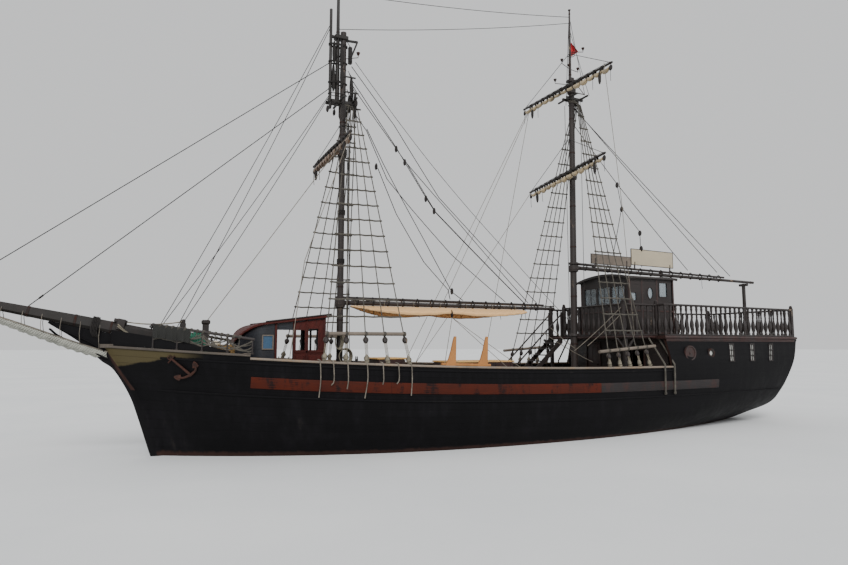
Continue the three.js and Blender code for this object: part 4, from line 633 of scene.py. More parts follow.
def cloth_finish(name, colour, stain, thread_mm=5.0, seam_m=0.6, sheen=0.25):
    """Woven cloth: the product of two crossed sines is the weave, drawn coarse enough to show, with
    a sewn seam at every cloth's width and stains that are cloudy in the ship's own space. The weave
    also makes the colour a little darker between the threads and lighter on them: painted shade and
    painted highlight."""
    tree, uv, place = started(name)
    along, across, _ = add(tree, "SeparateXYZ", uv, out=None)
    threads = [add(tree, "Math", add(tree, "Math", way, 2000 * math.pi / thread_mm, operation="MULTIPLY"),
                   operation="SINE") for way in (along, across)]
    weave = add(tree, "Math", *threads, operation="MULTIPLY")
    share = add(tree, "Math", add(tree, "Math", along, seam_m, operation="DIVIDE"), operation="FRACT")
    seam = band(tree, share, 0.01, 0.03, 0.01)
    # the weave in the tone paints a little shade between the threads and highlight on them
    tone = summed(tree, (weave, 0.03), (streaks(tree, place, 2.4, detail=6.0, rough=0.65), 1.0))
    paint = add(tree, "ValToRGB", tone, stops=[(0.34, stain), (0.5, shade(colour, 0.9)), (0.62, colour)])
    paint = add(tree, "Mix", add(tree, "Math", seam, 0.45, operation="MULTIPLY"),
                named={6: paint, 7: stain}, **COLOUR_MIX)
    shaded(tree, paint, 0.88, summed(tree, (weave, 0.4), (seam, 1.0)), 0.0012, Sheen_Weight=sheen)


def net_finish(name, colour, mesh_m=0.06):
    """Knotted twine: a diamond lattice where two crossed sets of bands in U and V meet, pale on the
    twine and dark in the openings between, drawn coarse enough to show. The dark of the openings is
    painted shade where the gaps through the net would be."""
    tree, uv, place = started(name)
    along, across, _ = add(tree, "SeparateXYZ", uv, out=None)
    slants = []
    for weight in (1.0, -1.0):
        slant = summed(tree, (along, 1 / mesh_m), (across, weight / mesh_m))
        slants.append(band(tree, add(tree, "Math", slant, operation="FRACT"), 0.35, 0.6, 0.1))
    twine = add(tree, "Math", *slants, operation="MAXIMUM")
    # the twine raises the tone, and the openings between are left dark as painted shade
    tone = summed(tree, (twine, 0.3), (streaks(tree, place, 4.0), 0.6))
    paint = add(tree, "ValToRGB", tone, stops=[(0.25, shade(colour, 0.35)), (0.5, colour),
                                               (0.75, shade(colour, 1.3))])
    shaded(tree, paint, 0.92, twine, 0.01)


def metal_finish(name, colour, bloom, metallic, rough, spread=0.5):
    """Cast or forged metal: bare where a cloud of a few centimetres is low and under a bloom of rust
    or patina where it is high, with a pitted bump."""
    tree, _, place = started(name)
    cloud = streaks(tree, place, 7.0, detail=8.0, rough=0.7)
    paint = add(tree, "ValToRGB", cloud, stops=[(spread - 0.1, colour), (spread + 0.08, bloom)])
    dull = add(tree, "MapRange", cloud, 0.35, 0.65, rough, min(1.0, rough + 0.35))
    shaded(tree, paint, dull, streaks(tree, place, 90.0, detail=3.0), 0.001, Metallic=metallic)


def glass_finish(name, colour, clear=0.8):
    """Window glass, drawn flat and a little hazed by salt where a cloud is high."""
    tree, _, place = started(name)
    haze = streaks(tree, place, 4.0, detail=5.0)
    rough = add(tree, "MapRange", haze, 0.4, 0.7, 0.03, 0.3)
    shaded(tree, colour, rough, Transmission_Weight=clear, IOR=1.5)


# Name, hex value, what it colours
COLOURS = (
    ("hull", "#0c0b0d", "Black oil paint of the planking"),
    ("hull_faded", "#252221", "Black paint where it has chalked"),
    ("wale", "#4c1a0a", "Red oxide paint of the wale"),
    ("bow_panel", "#4f4731", "Faded tan panel under the bow's cap"),
    ("bottom", "#33231f", "Bottom paint and weed at the water"),
    ("cap", "#82766a", "Silvered cap rails"),
    ("deck", "#8d7456", "Scrubbed deck planks"),
    ("red_stain", "#2f1611", "Red-stained joinery"),
    ("house_red", "#481812", "Red paint of the deckhouse"),
    ("dark_stain", "#1f1715", "Dark-stained joinery"),
    ("navy", "#10131c", "Blue-black paint of the deckhouse front"),
    ("mast", "#201815", "Oiled masts"),
    ("topmast", "#17130f", "Tarred topmast and pole"),
    ("bare_wood", "#8f7a63", "Bare wood where paint and oil have gone"),
    ("pine", "#c9a063", "Sawn pine"),
    ("fin", "#a06a36", "Oiled boarding timbers"),
    ("tarred_rope", "#1e1a18", "Tarred standing rigging"),
    ("grey_rope", "#6e675d", "Grey rope"),
    ("ratline", "#4a463f", "Ratlines, grey-brown with age"),
    ("pale_rope", "#746d5e", "Pale new rope"),
    ("canvas", "#a89675", "Furled sails"),
    ("brown_canvas", "#6d5540", "Furled fore sail"),
    # the awning's light, warm value also stands for sunlight through the sheet: painted light
    ("awning", "#eaa552", "Awning cloth"),
    ("board", "#aa9f88", "Painted boards"),
    ("flag", "#b3161f", "Flag"),
    ("net", "#9c9c92", "Net under the bowsprit"),
    ("green_net", "#2f6b56", "Heaped green net"),
    ("iron", "#2b2422", "Forged iron"),
    ("rust", "#3f2218", "Rust"),
    ("bronze", "#8d6b35", "Cast bronze"),
)

# Name, metres, what it measures
SIZES = (
    ("fore_pitch", 0.47, "Height from one fore ratline to the next"),
    ("main_pitch", 0.53, "Height from one main ratline to the next"),
    ("shroud_radius", 0.016, "Radius of the shrouds"),
    ("ratline_radius", 0.025, "Radius of the ratlines"),
    ("line_radius", 0.010, "Radius of the running rigging"),
    ("stay_radius", 0.012, "Radius of the stays"),
    ("stanchion_pitch", 0.78, "Distance between the bulwark's stanchions"),
    ("baluster_pitch", 0.25, "Distance between the rail's balusters"),
)


class ShipColours(bpy.types.PropertyGroup):
    """Colours of the ship's finishes"""
    __annotations__ = {
        name: bpy.props.FloatVectorProperty(name=name.replace("_", " ").capitalize(), description=words,
                                            subtype="COLOR", size=4, min=0.0, max=1.0, default=linear(code))
        for name, code, words in COLOURS}


class ShipSizes(bpy.types.PropertyGroup):
    """Sizes of the ship's repeated parts"""
    __annotations__ = {
        name: bpy.props.FloatProperty(name=name.replace("_", " ").capitalize(), description=words,
                                      default=size, min=0.001, unit="LENGTH")
        for name, size, words in SIZES}


def make_finishes(colours):
    """Every finish, from the colours that the user may change."""
    c = {name: tuple(getattr(colours, name)) for name, _, _ in COLOURS}
    boards, strakes = (0.12, 2.4, 0.003), (0.34, 4.2, 0.004)
    # Softwood planks, brushed black oil paint: dull satin, chalked in runs
    hull_finish("oil_painted_planks", c["hull"], c["hull_faded"], c["bow_panel"], c["bottom"])
    # Oak rub rails, stem and knee, black oil paint as on the planking
    timber_finish("black_painted_oak", c["hull"], c["hull_faded"], 0.25, 20, (0.65, 0.9), None, 0.2, 0.15)
    # Oak wale, red oxide oil paint: chalky, gone to dark wood in places
    timber_finish("red_oxide_oak", c["wale"], c["hull"], 0.5, 20, (0.6, 0.85), strakes, 0.45, 0.2)
    # The same wale abaft the boarding place, with most of its paint gone
    timber_finish("worn_red_oxide_oak", shade(c["wale"], 0.35), c["hull"], 0.8, 20, (0.6, 0.85), strakes)
    # Oak keel and rudder, bottom paint: dull red-brown
    timber_finish("bottom_painted_oak", shade(c["bottom"], 1.3), c["hull"], 0.5, 18, (0.7, 0.9), strakes)
    # Iroko cap rail, unpainted and silvered by sun: matt with open grain
    timber_finish("silvered_iroko", c["cap"], c["bare_wood"], 0.6, 9, (0.75, 0.95), (0.3, 2.6, 0.003), 0.3)
    # Pine deck, scrubbed: matt with dark caulked seams
    timber_finish("scrubbed_pine_deck", c["deck"], c["cap"], 0.6, 10, (0.7, 0.92), (0.11, 3.1, 0.004), 0.35)
    # Pine joinery, brushed red stain: satin with the grain showing
    timber_finish("red_stained_pine", c["red_stain"], c["dark_stain"], 0.6, 10, (0.45, 0.75))
    # The same joinery as boards, with seams
    timber_finish("red_stained_boards", c["red_stain"], c["dark_stain"], 0.6, 10, (0.45, 0.75), boards)
    # Deckhouse joinery, red oil paint, dulled
    timber_finish(
        "red_painted_boards", c["house_red"], c["dark_stain"], 0.45, 12, (0.55, 0.8), boards, 0.4, 0.25)
    # Pine joinery, dark stain: nearly black with dull highlights
    timber_finish("dark_stained_pine", c["dark_stain"], c["bare_wood"], 0.2, 10, (0.5, 0.8))
    # The same stain on boards, with seams
    timber_finish("dark_stained_boards", c["dark_stain"], c["bare_wood"], 0.2, 10, (0.5, 0.8), boards)
    # Plywood boards, blue-black gloss paint, chalked
    timber_finish("navy_painted_boards", c["navy"], c["dark_stain"], 0.5, 16, (0.4, 0.65), boards)
    # Spruce masts, oiled: long cracks and pale worn patches
    timber_finish("oiled_spruce", c["mast"], c["bare_wood"], 0.26, 9, (0.5, 0.8))
    # Iroko cap of the forecastle, darker than the other caps: the cap colour at three tenths
    timber_finish("darkened_iroko", shade(c["cap"], 0.3), c["cap"], 0.25, 9, (0.75, 0.95))
    # Spruce topmast, tarred: near black
    timber_finish("tarred_spruce", c["topmast"], c["mast"], 0.6, 9, (0.5, 0.8))
    # Sawn pine, left bare: pale yellow
    timber_finish("sawn_pine", c["pine"], c["bare_wood"], 0.4, 7, (0.7, 0.9), None, 0.25)
    # Pine of the boarding timbers, oiled: orange-brown
    timber_finish("oiled_pine", c["fin"], c["pine"], 0.3, 7, (0.6, 0.85), None, 0.25)
    # Spruce sheer poles and old boards, bare and gone grey
    timber_finish("greyed_spruce", shade(c["cap"], 0.6), c["cap"], 0.3, 9, (0.75, 0.95))
    # Plywood boards, cream oil paint: soft satin with rain marks
    timber_finish("cream_painted_ply", c["board"], c["cap"], 0.3, 60, (0.5, 0.7), None, 0.08)
    # Hemp, laid and tarred
    rope_finish("tarred_hemp", c["tarred_rope"])
    # Manila, laid and greyed by sun
    rope_finish("grey_manila", c["grey_rope"])
    # Manila of the ratlines, gone grey-brown with age
    rope_finish("weathered_manila", c["ratline"])
    # Polyester, laid, nearly new
    rope_finish("pale_rope", c["pale_rope"], 60.0)
    # Flax canvas, woven and sewn in cloths
    cloth_finish("flax_canvas", c["canvas"], shade(c["canvas"], 0.3))
    # Flax canvas of the fore sail, tanned brown
    cloth_finish("tanned_canvas", c["brown_canvas"], shade(c["brown_canvas"], 0.45))
    # Acrylic awning cloth, woven, faded by sun, its colour also made light and warm as painted light for
    # the sun that shines through the thin sheet
    cloth_finish("awning_cloth", c["awning"], shade(c["awning"], 0.7), 4.0, 0.9)
    # Wool bunting, woven
    cloth_finish("bunting", c["flag"], shade(c["flag"], 0.6), 4.0, 0.6)
    # Nylon net, knotted twine
    net_finish("knotted_net", c["net"])
    # Nylon net, black with tar
    net_finish("tarred_net", shade(c["net"], 0.05))
    # Polyethylene net, green
    net_finish("green_knotted_net", c["green_net"])
    # Wrought iron, blackened and rusting
    metal_finish("wrought_iron", c["iron"], c["rust"], 0.6, 0.5, 0.56)
    # Forged anchor iron under rust
    metal_finish("rusted_iron", c["rust"], c["iron"], 0.3, 0.7, 0.58)
    # Bronze, sand cast and tarnished
    metal_finish("cast_bronze", c["bronze"], shade(c["bronze"], 0.4), 0.95, 0.35, 0.55)
    # Vinyl, moulded and scuffed
    metal_finish("moulded_vinyl", c["board"], c["cap"], 0.0, 0.45, 0.6)
    # Cane, woven and oiled: drawn as coarse as it needs to show
    net_finish("woven_cane", shade(c["pine"], 0.7), 0.03)
    # Drawn glass
    glass_finish("drawn_glass", linear("#97a2a8"))
    # Drawn glass before a dark room, its blue colour a painted reflection of the sky
    glass_finish("blued_glass", linear("#355672"), 0.2)
    # Drawn glass, pale grey and nearly opaque
    glass_finish("whitened_glass", linear("#b4b5b0"), 0.05)


# Hull, bulwarks and caps
HULL_TOP = 1.18
CAP_LOW, CAP_HIGH = 2.141, 2.2


def broken(near, far, low, high, cut=0.01):
    """Eight corners of a rectangle from one inset to another and one height to another."""
    return chamfered(far - near, high - low, cut) + ((near + far) / 2, (low + high) / 2)


def strip(side, aft, fore, section, level=None, steps=48):
    """Strip along one side: a section of insets and nominal heights, carried along the planking,
    whose breadth is taken at one level or at the section's own heights."""
    x = np.linspace(aft, fore, steps + 1)[:, None]
    inset, height = np.asarray(section, float).T
    breadth = half_breadth(x, height if level is None else level)
    points = stacked(x, side * np.maximum(breadth - inset, 0.01), height + sheer(x))
    return solid(points)


def across(aft, fore, low, high, inset, cut=0.006, steps=60):
    """Body right across the ship between two heights: eight corners at each place along it, with U
    the place and V the distance from the centreline, so that its planks run fore and aft."""
    x = np.linspace(aft, fore, steps + 1)
    under, over = (np.maximum(half_breadth(x, h) - inset, 0.02) for h in (low, high))
    y = np.stack([cut - under, under - cut, under, over, over - cut, cut - over, -over, -under], axis=1)
    height = np.array([low, low, low + cut, high - cut, high, high, high - cut, low + cut])
    points = stacked(x[:, None], y, height + sheer(x)[:, None])
    v = np.concatenate([y, y[:, :1]], axis=1) + 5.0
    return solid(points, u=x[:, None], v=v)


def shell(side, aft, fore, low, high, thick=PLANK, steps=48, rows=10):
    """Wall of planking on one side: its section goes up the outside and down the inside, and each
    level ends at its own place on the stem. V is the height, and ten more on the inside."""
    heights = np.linspace(low, high, rows)
    both = np.concatenate([heights, heights[::-1]])
    inside = np.repeat([0.0, 1.0], rows)
    end = np.minimum(fore, form(both)[0] - 2.5 * thick * inside)
    share = 1 - (1 - np.linspace(0, 1, steps + 1)[:, None]) ** 1.7
    x = aft + (end - aft) * share
    u = np.concatenate([x, x[:, :1]], axis=1)
    v = np.append(both + 10 * inside, low)[None]
    return solid(skin(x, both, side, thick * inside), u=u, v=v)


def castle_walls(low, high, steps=30, rows=10, thick=PLANK):
    """Sides and transom in one wall: a path from the front on the port side round the stern to the
    front on the starboard side, at every height of a section that goes up outside and down inside."""
    heights = np.linspace(low, high, rows)
    both = np.concatenate([heights, heights[::-1]])
    inside = np.repeat([0.0, thick], rows)
    stern = form(both)[1] + inside
    share = np.linspace(0, 1, steps + 1)[:, None]
    x = CASTLE_FRONT + (stern - CASTLE_FRONT) * share
    port = skin(x, both, PORT, inside)
    turn = np.linspace(1, -1, 14)[1:-1, None, None]
    transom = port[-1:] * np.concatenate([np.ones_like(turn), turn, np.ones_like(turn)], axis=2)
    starboard = (port * (1, -1, 1))[::-1]
    points = np.concatenate([port, transom, starboard])
    u = -lengths(points[:, :1], 0)[:, None]
    v = np.append(both + 10 * (inside > 0), low)[None]
    return solid(points, u=u, v=v)


def facing(patch, direction):
    """A patch turned so that its faces look along a direction."""
    normals = sum(np.cross(c[:, 1] - c[:, 0], c[:, 2] - c[:, 0]).sum(axis=0)
                  for c in (patch.points[f] for f in patch.faces))
    if normals @ np.asarray(direction, float) >= 0:
        return patch
    return Patch(patch.points, [f[:, ::-1] for f in patch.faces], [u[:, ::-1] for u in patch.uvs])


def make_hull(sizes):
    """Hull with a raked stem and a transom, its deck, keel, rudder, propeller and wales."""
    rows = 26
    heights = np.linspace(HULL_FOOT, HULL_TOP, rows)
    stem, stern = form(heights)[:2]
    share = -np.cos(math.pi * np.linspace(0, 1, 97))[:, None]
    x = MIDSHIP + share * np.where(share > 0, stem - MIDSHIP, MIDSHIP - stern)
    port, starboard = (skin(x, heights, side) for side in BOTH)
    u = np.concatenate([x, x[:, ::-1], x[:, :1]], axis=1)
    v = np.concatenate([heights, heights[::-1], heights[:1]])[None]
    body = grid(np.concatenate([port, starboard[:, ::-1]], axis=1), closed=True, u=u, v=v).outward()
    ends = []
    for row, way in ((0, -1), (-1, 1)):
        between = np.linspace(0, 1, 9)[None, :, None]
        points = port[row][:, None] * (1 - between) + starboard[row][:, None] * between
        ends.append(facing(grid(points, u=points[:, :, 1] + 40, v=heights[:, None]), (way, 0, 0)))
    built("hull_planking", [body, *ends], "oil_painted_planks", replaces=["hull"], weld=True)
    built("main_deck", [across(-10.86, 11.6, DECK - 0.05, DECK, PLANK - 0.03)], "scrubbed_pine_deck")
    wales, dull = [], []
    for side in BOTH:
        section = [(0.02, 1.42), (-0.022, 1.43), (-0.03, 1.46), (-0.03, 1.68), (-0.022, 1.71), (0.02, 1.72)]
        wales.append(strip(side, -1.2, 9.1, section, steps=60))
        dull.append(strip(side, -6.6, -1.2, section, steps=30))
        for low in (1.2, 2.02):
            wales.append(strip(
                side, CASTLE_FRONT if low > 2 else -10.9, 11.2,
                [(0.02, low), (-0.018, low + 0.008), (-0.026, low + 0.03), (-0.018, low + 0.052),
                 (0.02, low + 0.06)], steps=80))
    built("wales", wales[::3], "red_oxide_oak")
    built("wales_aft", dull, "worn_red_oxide_oak")
    built("rub_rails", [w for i, w in enumerate(wales) if i % 3], "black_painted_oak")
    keel = [
        (9.55, HULL_FOOT), (9.1, -1.5), (-10.12, -1.5), (-10.12, -1.37), (-9.2, -1.37), (-8.95, HULL_FOOT)]
    built("keel_timber", [plate(keel, -0.095, 0.095, cut=0.015)], "bottom_painted_oak", replaces=["keel"])
    make_rudder()


def make_rudder():
    """Rudder of bolted planks on an iron stock, and a cast propeller with three twisted blades."""
    stock = (-9.95, 0.0)
    outline = [(-9.89, -1.35), (-10.71, -1.32), (-10.77, -0.7), (-10.59, -0.13), (-9.89, -0.07)]
    parts = [plate(outline, -0.038, 0.038, cut=0.02)]
    for z in (-1.15, -0.75, -0.35):
        parts.append(plate(rect(-9.9, -10.6, z, z + 0.06), -0.05, 0.05, cut=0.006))
    built("rudder_blade", parts, "bottom_painted_oak", "rudder", ["rudder"])
    rod = [tube([(*stock, -1.35), (*stock, 0.65)], 0.042, 16),
           tube([(*stock, -1.44), (*stock, -1.33)], 0.024, 16)]
    built("rudder_stock", rod, "rusted_iron", "rudder")
    centre = np.array([-9.56, 0.0, -0.76])
    parts = [turned([(0.012, -0.17), (0.05, -0.13), (0.062, -0.08), (0.08, 0.08), (0.07, 0.1)], centre,
                    AHEAD, 24), turned([(0.034, 0.0), (0.034, 0.79)], centre, AHEAD)]
    reach = np.linspace(0.06, 0.4, 14)[:, None]
    share = (reach - 0.06) / 0.34
    chord = 0.13 * np.sqrt(np.clip(np.sin(math.pi * (0.12 + 0.86 * share)), 0, 1))
    twist = 1.15 - 0.65 * share
    ring = circle(16)
    blade = stacked(chord * ring[:, 0] * np.cos(twist) - 0.011 * ring[:, 1] * np.sin(twist),
                    chord * ring[:, 0] * np.sin(twist) + 0.011 * ring[:, 1] * np.cos(twist), reach)
    blade = solid(blade)
    turns = [Matrix.Translation(centre) @ Matrix.Rotation(math.tau * i / 3, 4, "X") for i in range(3)]
    parts.append(blade.copies(turns))
    built("propeller_casting", parts, "cast_bronze", "propeller", ["propeller"])


def make_bulwarks(sizes):
    """Bulwarks on stanchions under their cap rails, from the castle to the step of the forecastle."""
    for side, name in SIDES:
        wall = shell(side, CASTLE_FRONT, BULWARK_STEP, HULL_TOP, BULWARK_TOP)
        built(f"bulwark_planks_{name}", [wall], "oil_painted_planks", replaces=[f"bulwark_{name}"])
        cap = strip(side, CASTLE_FRONT, BULWARK_STEP, broken(-0.045, 0.135, CAP_LOW, CAP_HIGH, 0.014),
                    BULWARK_TOP, 70)
        built(f"cap_{name}", [cap], "silvered_iroko", replaces=[f"cap_rail_{name}"])
        posts = []
        for x in np.arange(CASTLE_FRONT + 0.3, BULWARK_STEP - 0.1, sizes.stanchion_pitch):
            foot, head = (skin(x, h, side, PLANK + 0.035) for h in (DECK, BULWARK_TOP))
            posts.append(timber(foot, head, 0.085, 0.075, AHEAD, 0.006))
        built(f"stanchions_{name}", posts, "dark_stained_pine")


STEM_LINE = [(9.6, -1.08), (10.5, -1.15), (11.08, -0.5), (11.3, 0.0), (11.64, 1.0), (11.87, 1.6),
             (12.25, 2.23), (12.56, 2.48), (13.08, 2.96), (13.78, 3.42)]
SPRIT_HEEL = np.array([10.75, 0.0, 3.015])
SPRIT_WAY = np.array([math.cos(math.atan(0.197)), 0.0, math.sin(math.atan(0.197))])
BITTS_X, BITTS_Y = 10.63, 0.2375
SPRIT_RISE = np.array([-SPRIT_WAY[2], 0.0, SPRIT_WAY[0]])


def sprit_half(distance):
    """Half-width of the bowsprit, full to 2.3 m from its heel and tapering to its tip at 5.45 m."""
    return 0.15 - 0.062 * np.clip((np.asarray(distance, float) - 2.3) / 3.15, 0, 1)


def on_sprit(distance, lift=0.0, y=0.0):
    """Point at a distance along the bowsprit's middle, lifted at right angles to it."""
    return SPRIT_HEEL + SPRIT_WAY * distance + SPRIT_RISE * lift + (0.0, y, 0.0)


def make_bow(sizes):
    """Forecastle with its bulwark, caps and rail, the stem and its knee, bowsprit, bitts and anchor."""
    walls, caps = [], []
    for side in BOTH:
        walls.append(shell(side, BULWARK_STEP, 13.0, HULL_TOP, FORECASTLE_TOP))
        section = broken(-0.04, 0.12, 2.22, 2.28, 0.014)
        caps.append(strip(side, BULWARK_STEP, 12.48, section, FORECASTLE_TOP, 50))
        section = broken(-0.05, 0.14, 2.275, 2.3, 0.008)
        caps.append(strip(side, BULWARK_STEP - 0.01, BULWARK_STEP + 0.16, section, FORECASTLE_TOP, 4))
    angle = np.linspace(-math.pi / 2, math.pi / 2, 13)
    nose = [(12.2, -0.19), *[(12.46 + 0.18 * math.cos(a), 0.19 * math.sin(a)) for a in angle], (12.2, 0.19)]
    caps.append(plate(nose, 2.8, 2.9, "z", 0.012))
    built("forecastle_planks", walls, "oil_painted_planks", replaces=["forecastle_bulwark"])
    built("forecastle_caps", caps, "darkened_iroko")
    boards = []
    for side in BOTH:
        x = np.linspace(9.6, 12.35, 30)[:, None]
        rise = np.interp(x, (9.6, 10.2, 12.35), (0.04, 0.16, 0.4))
        inset = np.array([[0.05, 0.05, 0.09, 0.09]])
        height = FORECASTLE_TOP + 0.042 + sheer(x) + rise * np.array([[0, 1, 1, 0]])
        y = side * np.maximum(half_breadth(x, FORECASTLE_TOP) - inset, 0.02)
        boards.append(solid(stacked(x, y, height)))
    built("wash_boards", boards, "black_painted_oak")
    under = FORECASTLE_DECK - 0.05
    floor = across(FORECASTLE_AFT, 12.1, under, FORECASTLE_DECK, PLANK - 0.01)
    built("forecastle_floor", [floor], "scrubbed_pine_deck", replaces=["forecastle_deck"])
    front = across(FORECASTLE_AFT, FORECASTLE_AFT + 0.06, DECK, under, PLANK - 0.02, steps=2)
    built("forecastle_break", [front], "dark_stained_boards")
    posts = []
    for side in BOTH:
        for x in np.arange(BULWARK_STEP + 0.4, 12.2, 0.6):
            posts.append(timber(skin(x, FORECASTLE_DECK, side, PLANK + 0.03),
                                skin(x, 2.22, side, PLANK + 0.03), 0.08, 0.07, AHEAD, 0.006))
    built("forecastle_stanchions", posts, "dark_stained_pine")
    edge = smooth_line(STEM_LINE, 6)
    under = [(x, SPRIT_HEEL[2] + 0.197 * (x - SPRIT_HEEL[0]) - 0.155 + 0.02 * max(0, x - 13.0))
             for x in (13.76, 13.2, 12.6, 11.9)]
    back = [(11.75, 2.9), (11.3, 1.7), (10.9, 0.0), (10.5, -0.8)]
    stem = plate([*edge, *under, *back], -0.075, 0.075, cut=0.014)
    trail = []
    for side in BOTH:
        for level in (2.42, 2.62):
            path = smooth_line(
                [(12.42 + 0.35 * (level - 2.42), side * 0.1, level + 0.1),
                 (12.9, side * 0.095, level + 0.36), (13.5, side * 0.09, level + 0.66),
                 (13.74, side * 0.085, level + 0.86)], 6)
            trail.append(tube(path, 0.022))
    built("stem_and_knee", [stem, *trail], "black_painted_oak", replaces=["stem"])
    make_bowsprit()
    make_bow_fittings()


def make_bowsprit():
    """Squared bowsprit that tapers past the knee, with its iron bands, cap, gammoning and heel bitts."""
    places = np.array([0, 0.012, 1.0, 2.3, 3.0, 3.8, 4.6, 5.43, 5.45])
    half = sprit_half(places) * np.array([0.93, 1, 1, 1, 1, 1, 1, 1, 0.86])
    section = chamfered(2, 2, 0.5)
    spar = solid(carried([on_sprit(p) for p in places], section, scale=half))
    built("bowsprit_spar", [spar], "tarred_spruce", replaces=["bowsprit"])
    bands = []
    for place, wide in (
            (1.42, 0.05), (1.62, 0.05), (2.45, 0.06), (3.5, 0.06), (4.4, 0.05), (5.2, 0.07), (5.38, 0.05)):
        h = sprit_half(place) + 0.008
        path = [on_sprit(place), on_sprit(place + 0.004), on_sprit(place + wide - 0.004),
                on_sprit(place + wide)]
        bands.append(solid(carried(path, section, scale=np.array([0.96, 1, 1, 0.96]) * h)))
    for side in BOTH:
        bands.append(tube([on_sprit(5.24, 0, side * 0.09), on_sprit(5.24, 0, side * 0.15)], 0.014))
        ring = circle(12, 0.035)
        path = [on_sprit(5.24 + a, b, side * 0.16) for a, b in ring]
        bands.append(tube(path, 0.009, 6, ABEAM, looped=True))
    built("bowsprit_bands", bands, "wrought_iron")
    cap = [
        timber(on_sprit(1.44, -0.04), on_sprit(1.44, 0.255), 0.36, 0.2, AHEAD, 0.015),
        timber(on_sprit(1.3, 0.2), on_sprit(1.62, 0.2), 0.3, 0.09, cut=0.012),
    ]
    built("bowsprit_cap", cap, "dark_stained_pine")
    turns = []
    for i in range(5):
        place = 1.95 + 0.034 * i
        h = sprit_half(place) + 0.016
        loop = [on_sprit(place, h, -h), on_sprit(place, h, h), on_sprit(place, -h, h),
                on_sprit(place - 0.1, -0.32, 0.09), on_sprit(place - 0.1, -0.32, -0.09),
                on_sprit(place, -h, -h)]
        turns.append(tube(
            smooth_line([*loop, loop[0]], 4)[:-1], 0.012, 8, SPRIT_WAY, looped=True, lay=True))
    built("bowsprit_gammoning", turns, "tarred_hemp")
    posts = []
    foot = sheered(10.69, FORECASTLE_DECK) + 0.001
    for side in BOTH:
        y = side * BITTS_Y
        posts += [
            timber((BITTS_X, y, foot), (BITTS_X, y, 3.46), 0.125, 0.12, AHEAD, 0.012),
            timber((BITTS_X, y, 3.44), (BITTS_X, y, 3.56), 0.105, 0.1, AHEAD, 0.03),
        ]
    posts.append(timber((BITTS_X, -0.42, 3.06), (BITTS_X, 0.42, 3.06), 0.12, 0.12, cut=0.014))
    built("bowsprit_bitt_timbers", posts, "dark_stained_pine", replaces=["bowsprit_bitts"])


def rail_place(x, side, lift=0.0):
    """Point on the forecastle rail, which rises towards the bow."""
    return np.array([x, side * (beam(x, FORECASTLE_TOP) - 0.04), 3.01 + 0.16 * (x - 9.05) + lift])


def make_bow_fittings():
    """Rail round the forecastle with its ropes, and the anchor on its side."""
    stations = [9.1, 9.68, 10.26, 10.83, 11.38]
    rails, ropes = [], []
    # heights of both ends under the rail, and sag, of the ropes between two posts
    runs = ((-0.12, -0.16, 0.08), (-0.3, -0.25, 0.05), (-0.05, -0.36, 0.03), (-0.36, -0.06, 0.06),
            (-0.2, -0.1, 0.16))
    fine = np.linspace(9.05, 11.42, 20)
    for side in BOTH:
        rails.append(tube([rail_place(x, side) for x in fine], 0.036, 12))
        for x in stations:
            foot = sheered(x, FORECASTLE_TOP + 0.042)
            top = rail_place(x, side)
            tall = top[2] - foot
            profile = [(0.045, 0.0), (0.045, 0.025), (0.024, 0.04), (0.022, tall * 0.5),
                       (0.027, tall * 0.55), (0.022, tall * 0.6), (0.02, tall)]
            rails.append(turned(profile, (top[0], top[1], foot), UP, 12))
        for i, (a, b) in enumerate(zip(stations, stations[1:])):
            for k, (start, end, sag) in enumerate(runs):
                ends = rail_place(a, side, start), rail_place(b, side, end)
                ropes.append(rope(slack(*ends, sag, 8), 0.012 + 0.005 * ((i + k) % 3)))
        for x in np.arange(9.4, 11.3, 0.14):
            place = rail_place(x, side)
            ropes += [
                wound(place, 0.045, 0.013, 2, (1, 0, 0.16), 10),
                rope([place - (0, 0, 0.04), place + (0.03, side * 0.02, -0.2 - 0.1 * math.sin(29 * x))],
                     0.011, AHEAD),
            ]
    ends = [rail_place(stations[-1], side, 0.012) for side in BOTH]
    rails.append(tube(ends, 0.036, 12, UP))
    built("forecastle_rails", rails, "dark_stained_pine", replaces=["forecastle_rail"])
    built("forecastle_ropes", ropes, "weathered_manila")
    x0 = 10.76

    def off_hull(x, z, gap):
        """Point beside the hull on the port side, off the planking by a gap."""
        return np.array([x, beam(x, z - sheer(x)) + gap, z])
    crown, ring = off_hull(x0 - 0.28, 2.12, 0.04), off_hull(x0 + 0.22, 2.56, 0.04)
    arms = []
    for tip, bend, gap in (
            ((x0 - 0.34, 2.42), (x0 - 0.38, 2.26), 0.07), ((x0 + 0.06, 2.07), (x0 - 0.1, 2.05), 0.09)):
        path = smooth_line([crown, off_hull(*bend, 0.06), off_hull(*tip, gap)], 6)
        arms.append(tube(path, np.linspace(0.036, 0.02, len(path)), 10))
        end, way = path[-1], unit(path[-1] - path[-4])
        arms.append(solid(carried([end - way * 0.12, end - way * 0.1, end, end + way * 0.05],
                                  chamfered(1, 0.12, 0.05), ABEAM, scale=[0.1, 0.16, 0.1, 0.02])))
    arms += [
        tube([crown, (crown + ring) / 2, ring], [0.036, 0.03, 0.027], 10),
        tube([off_hull(x0 + 0.12, 2.6, 0.045), off_hull(x0 + 0.25, 2.43, 0.045)], 0.018, 10),
        tube([ring + (a * 0.7, 0.0, b * 0.7) for a, b in circle(14, 0.075)], 0.011, 8, ABEAM, looped=True),
    ]
    built("anchor_forging", arms, "rusted_iron", replaces=["anchor"])


# Deckhouse, castle, quarterdeck and helm
HOUSE_AFT, HOUSE_FORE, HOUSE_BOW, HOUSE_HALF = 6.98, 8.65, 0.62, 1.15
RAIL_INSET, RAIL_WIDTH, RAIL_HIGH = 0.035, 0.11, 1.08
RAIL_AFT, RAIL_FORE = -11.505, -2.955
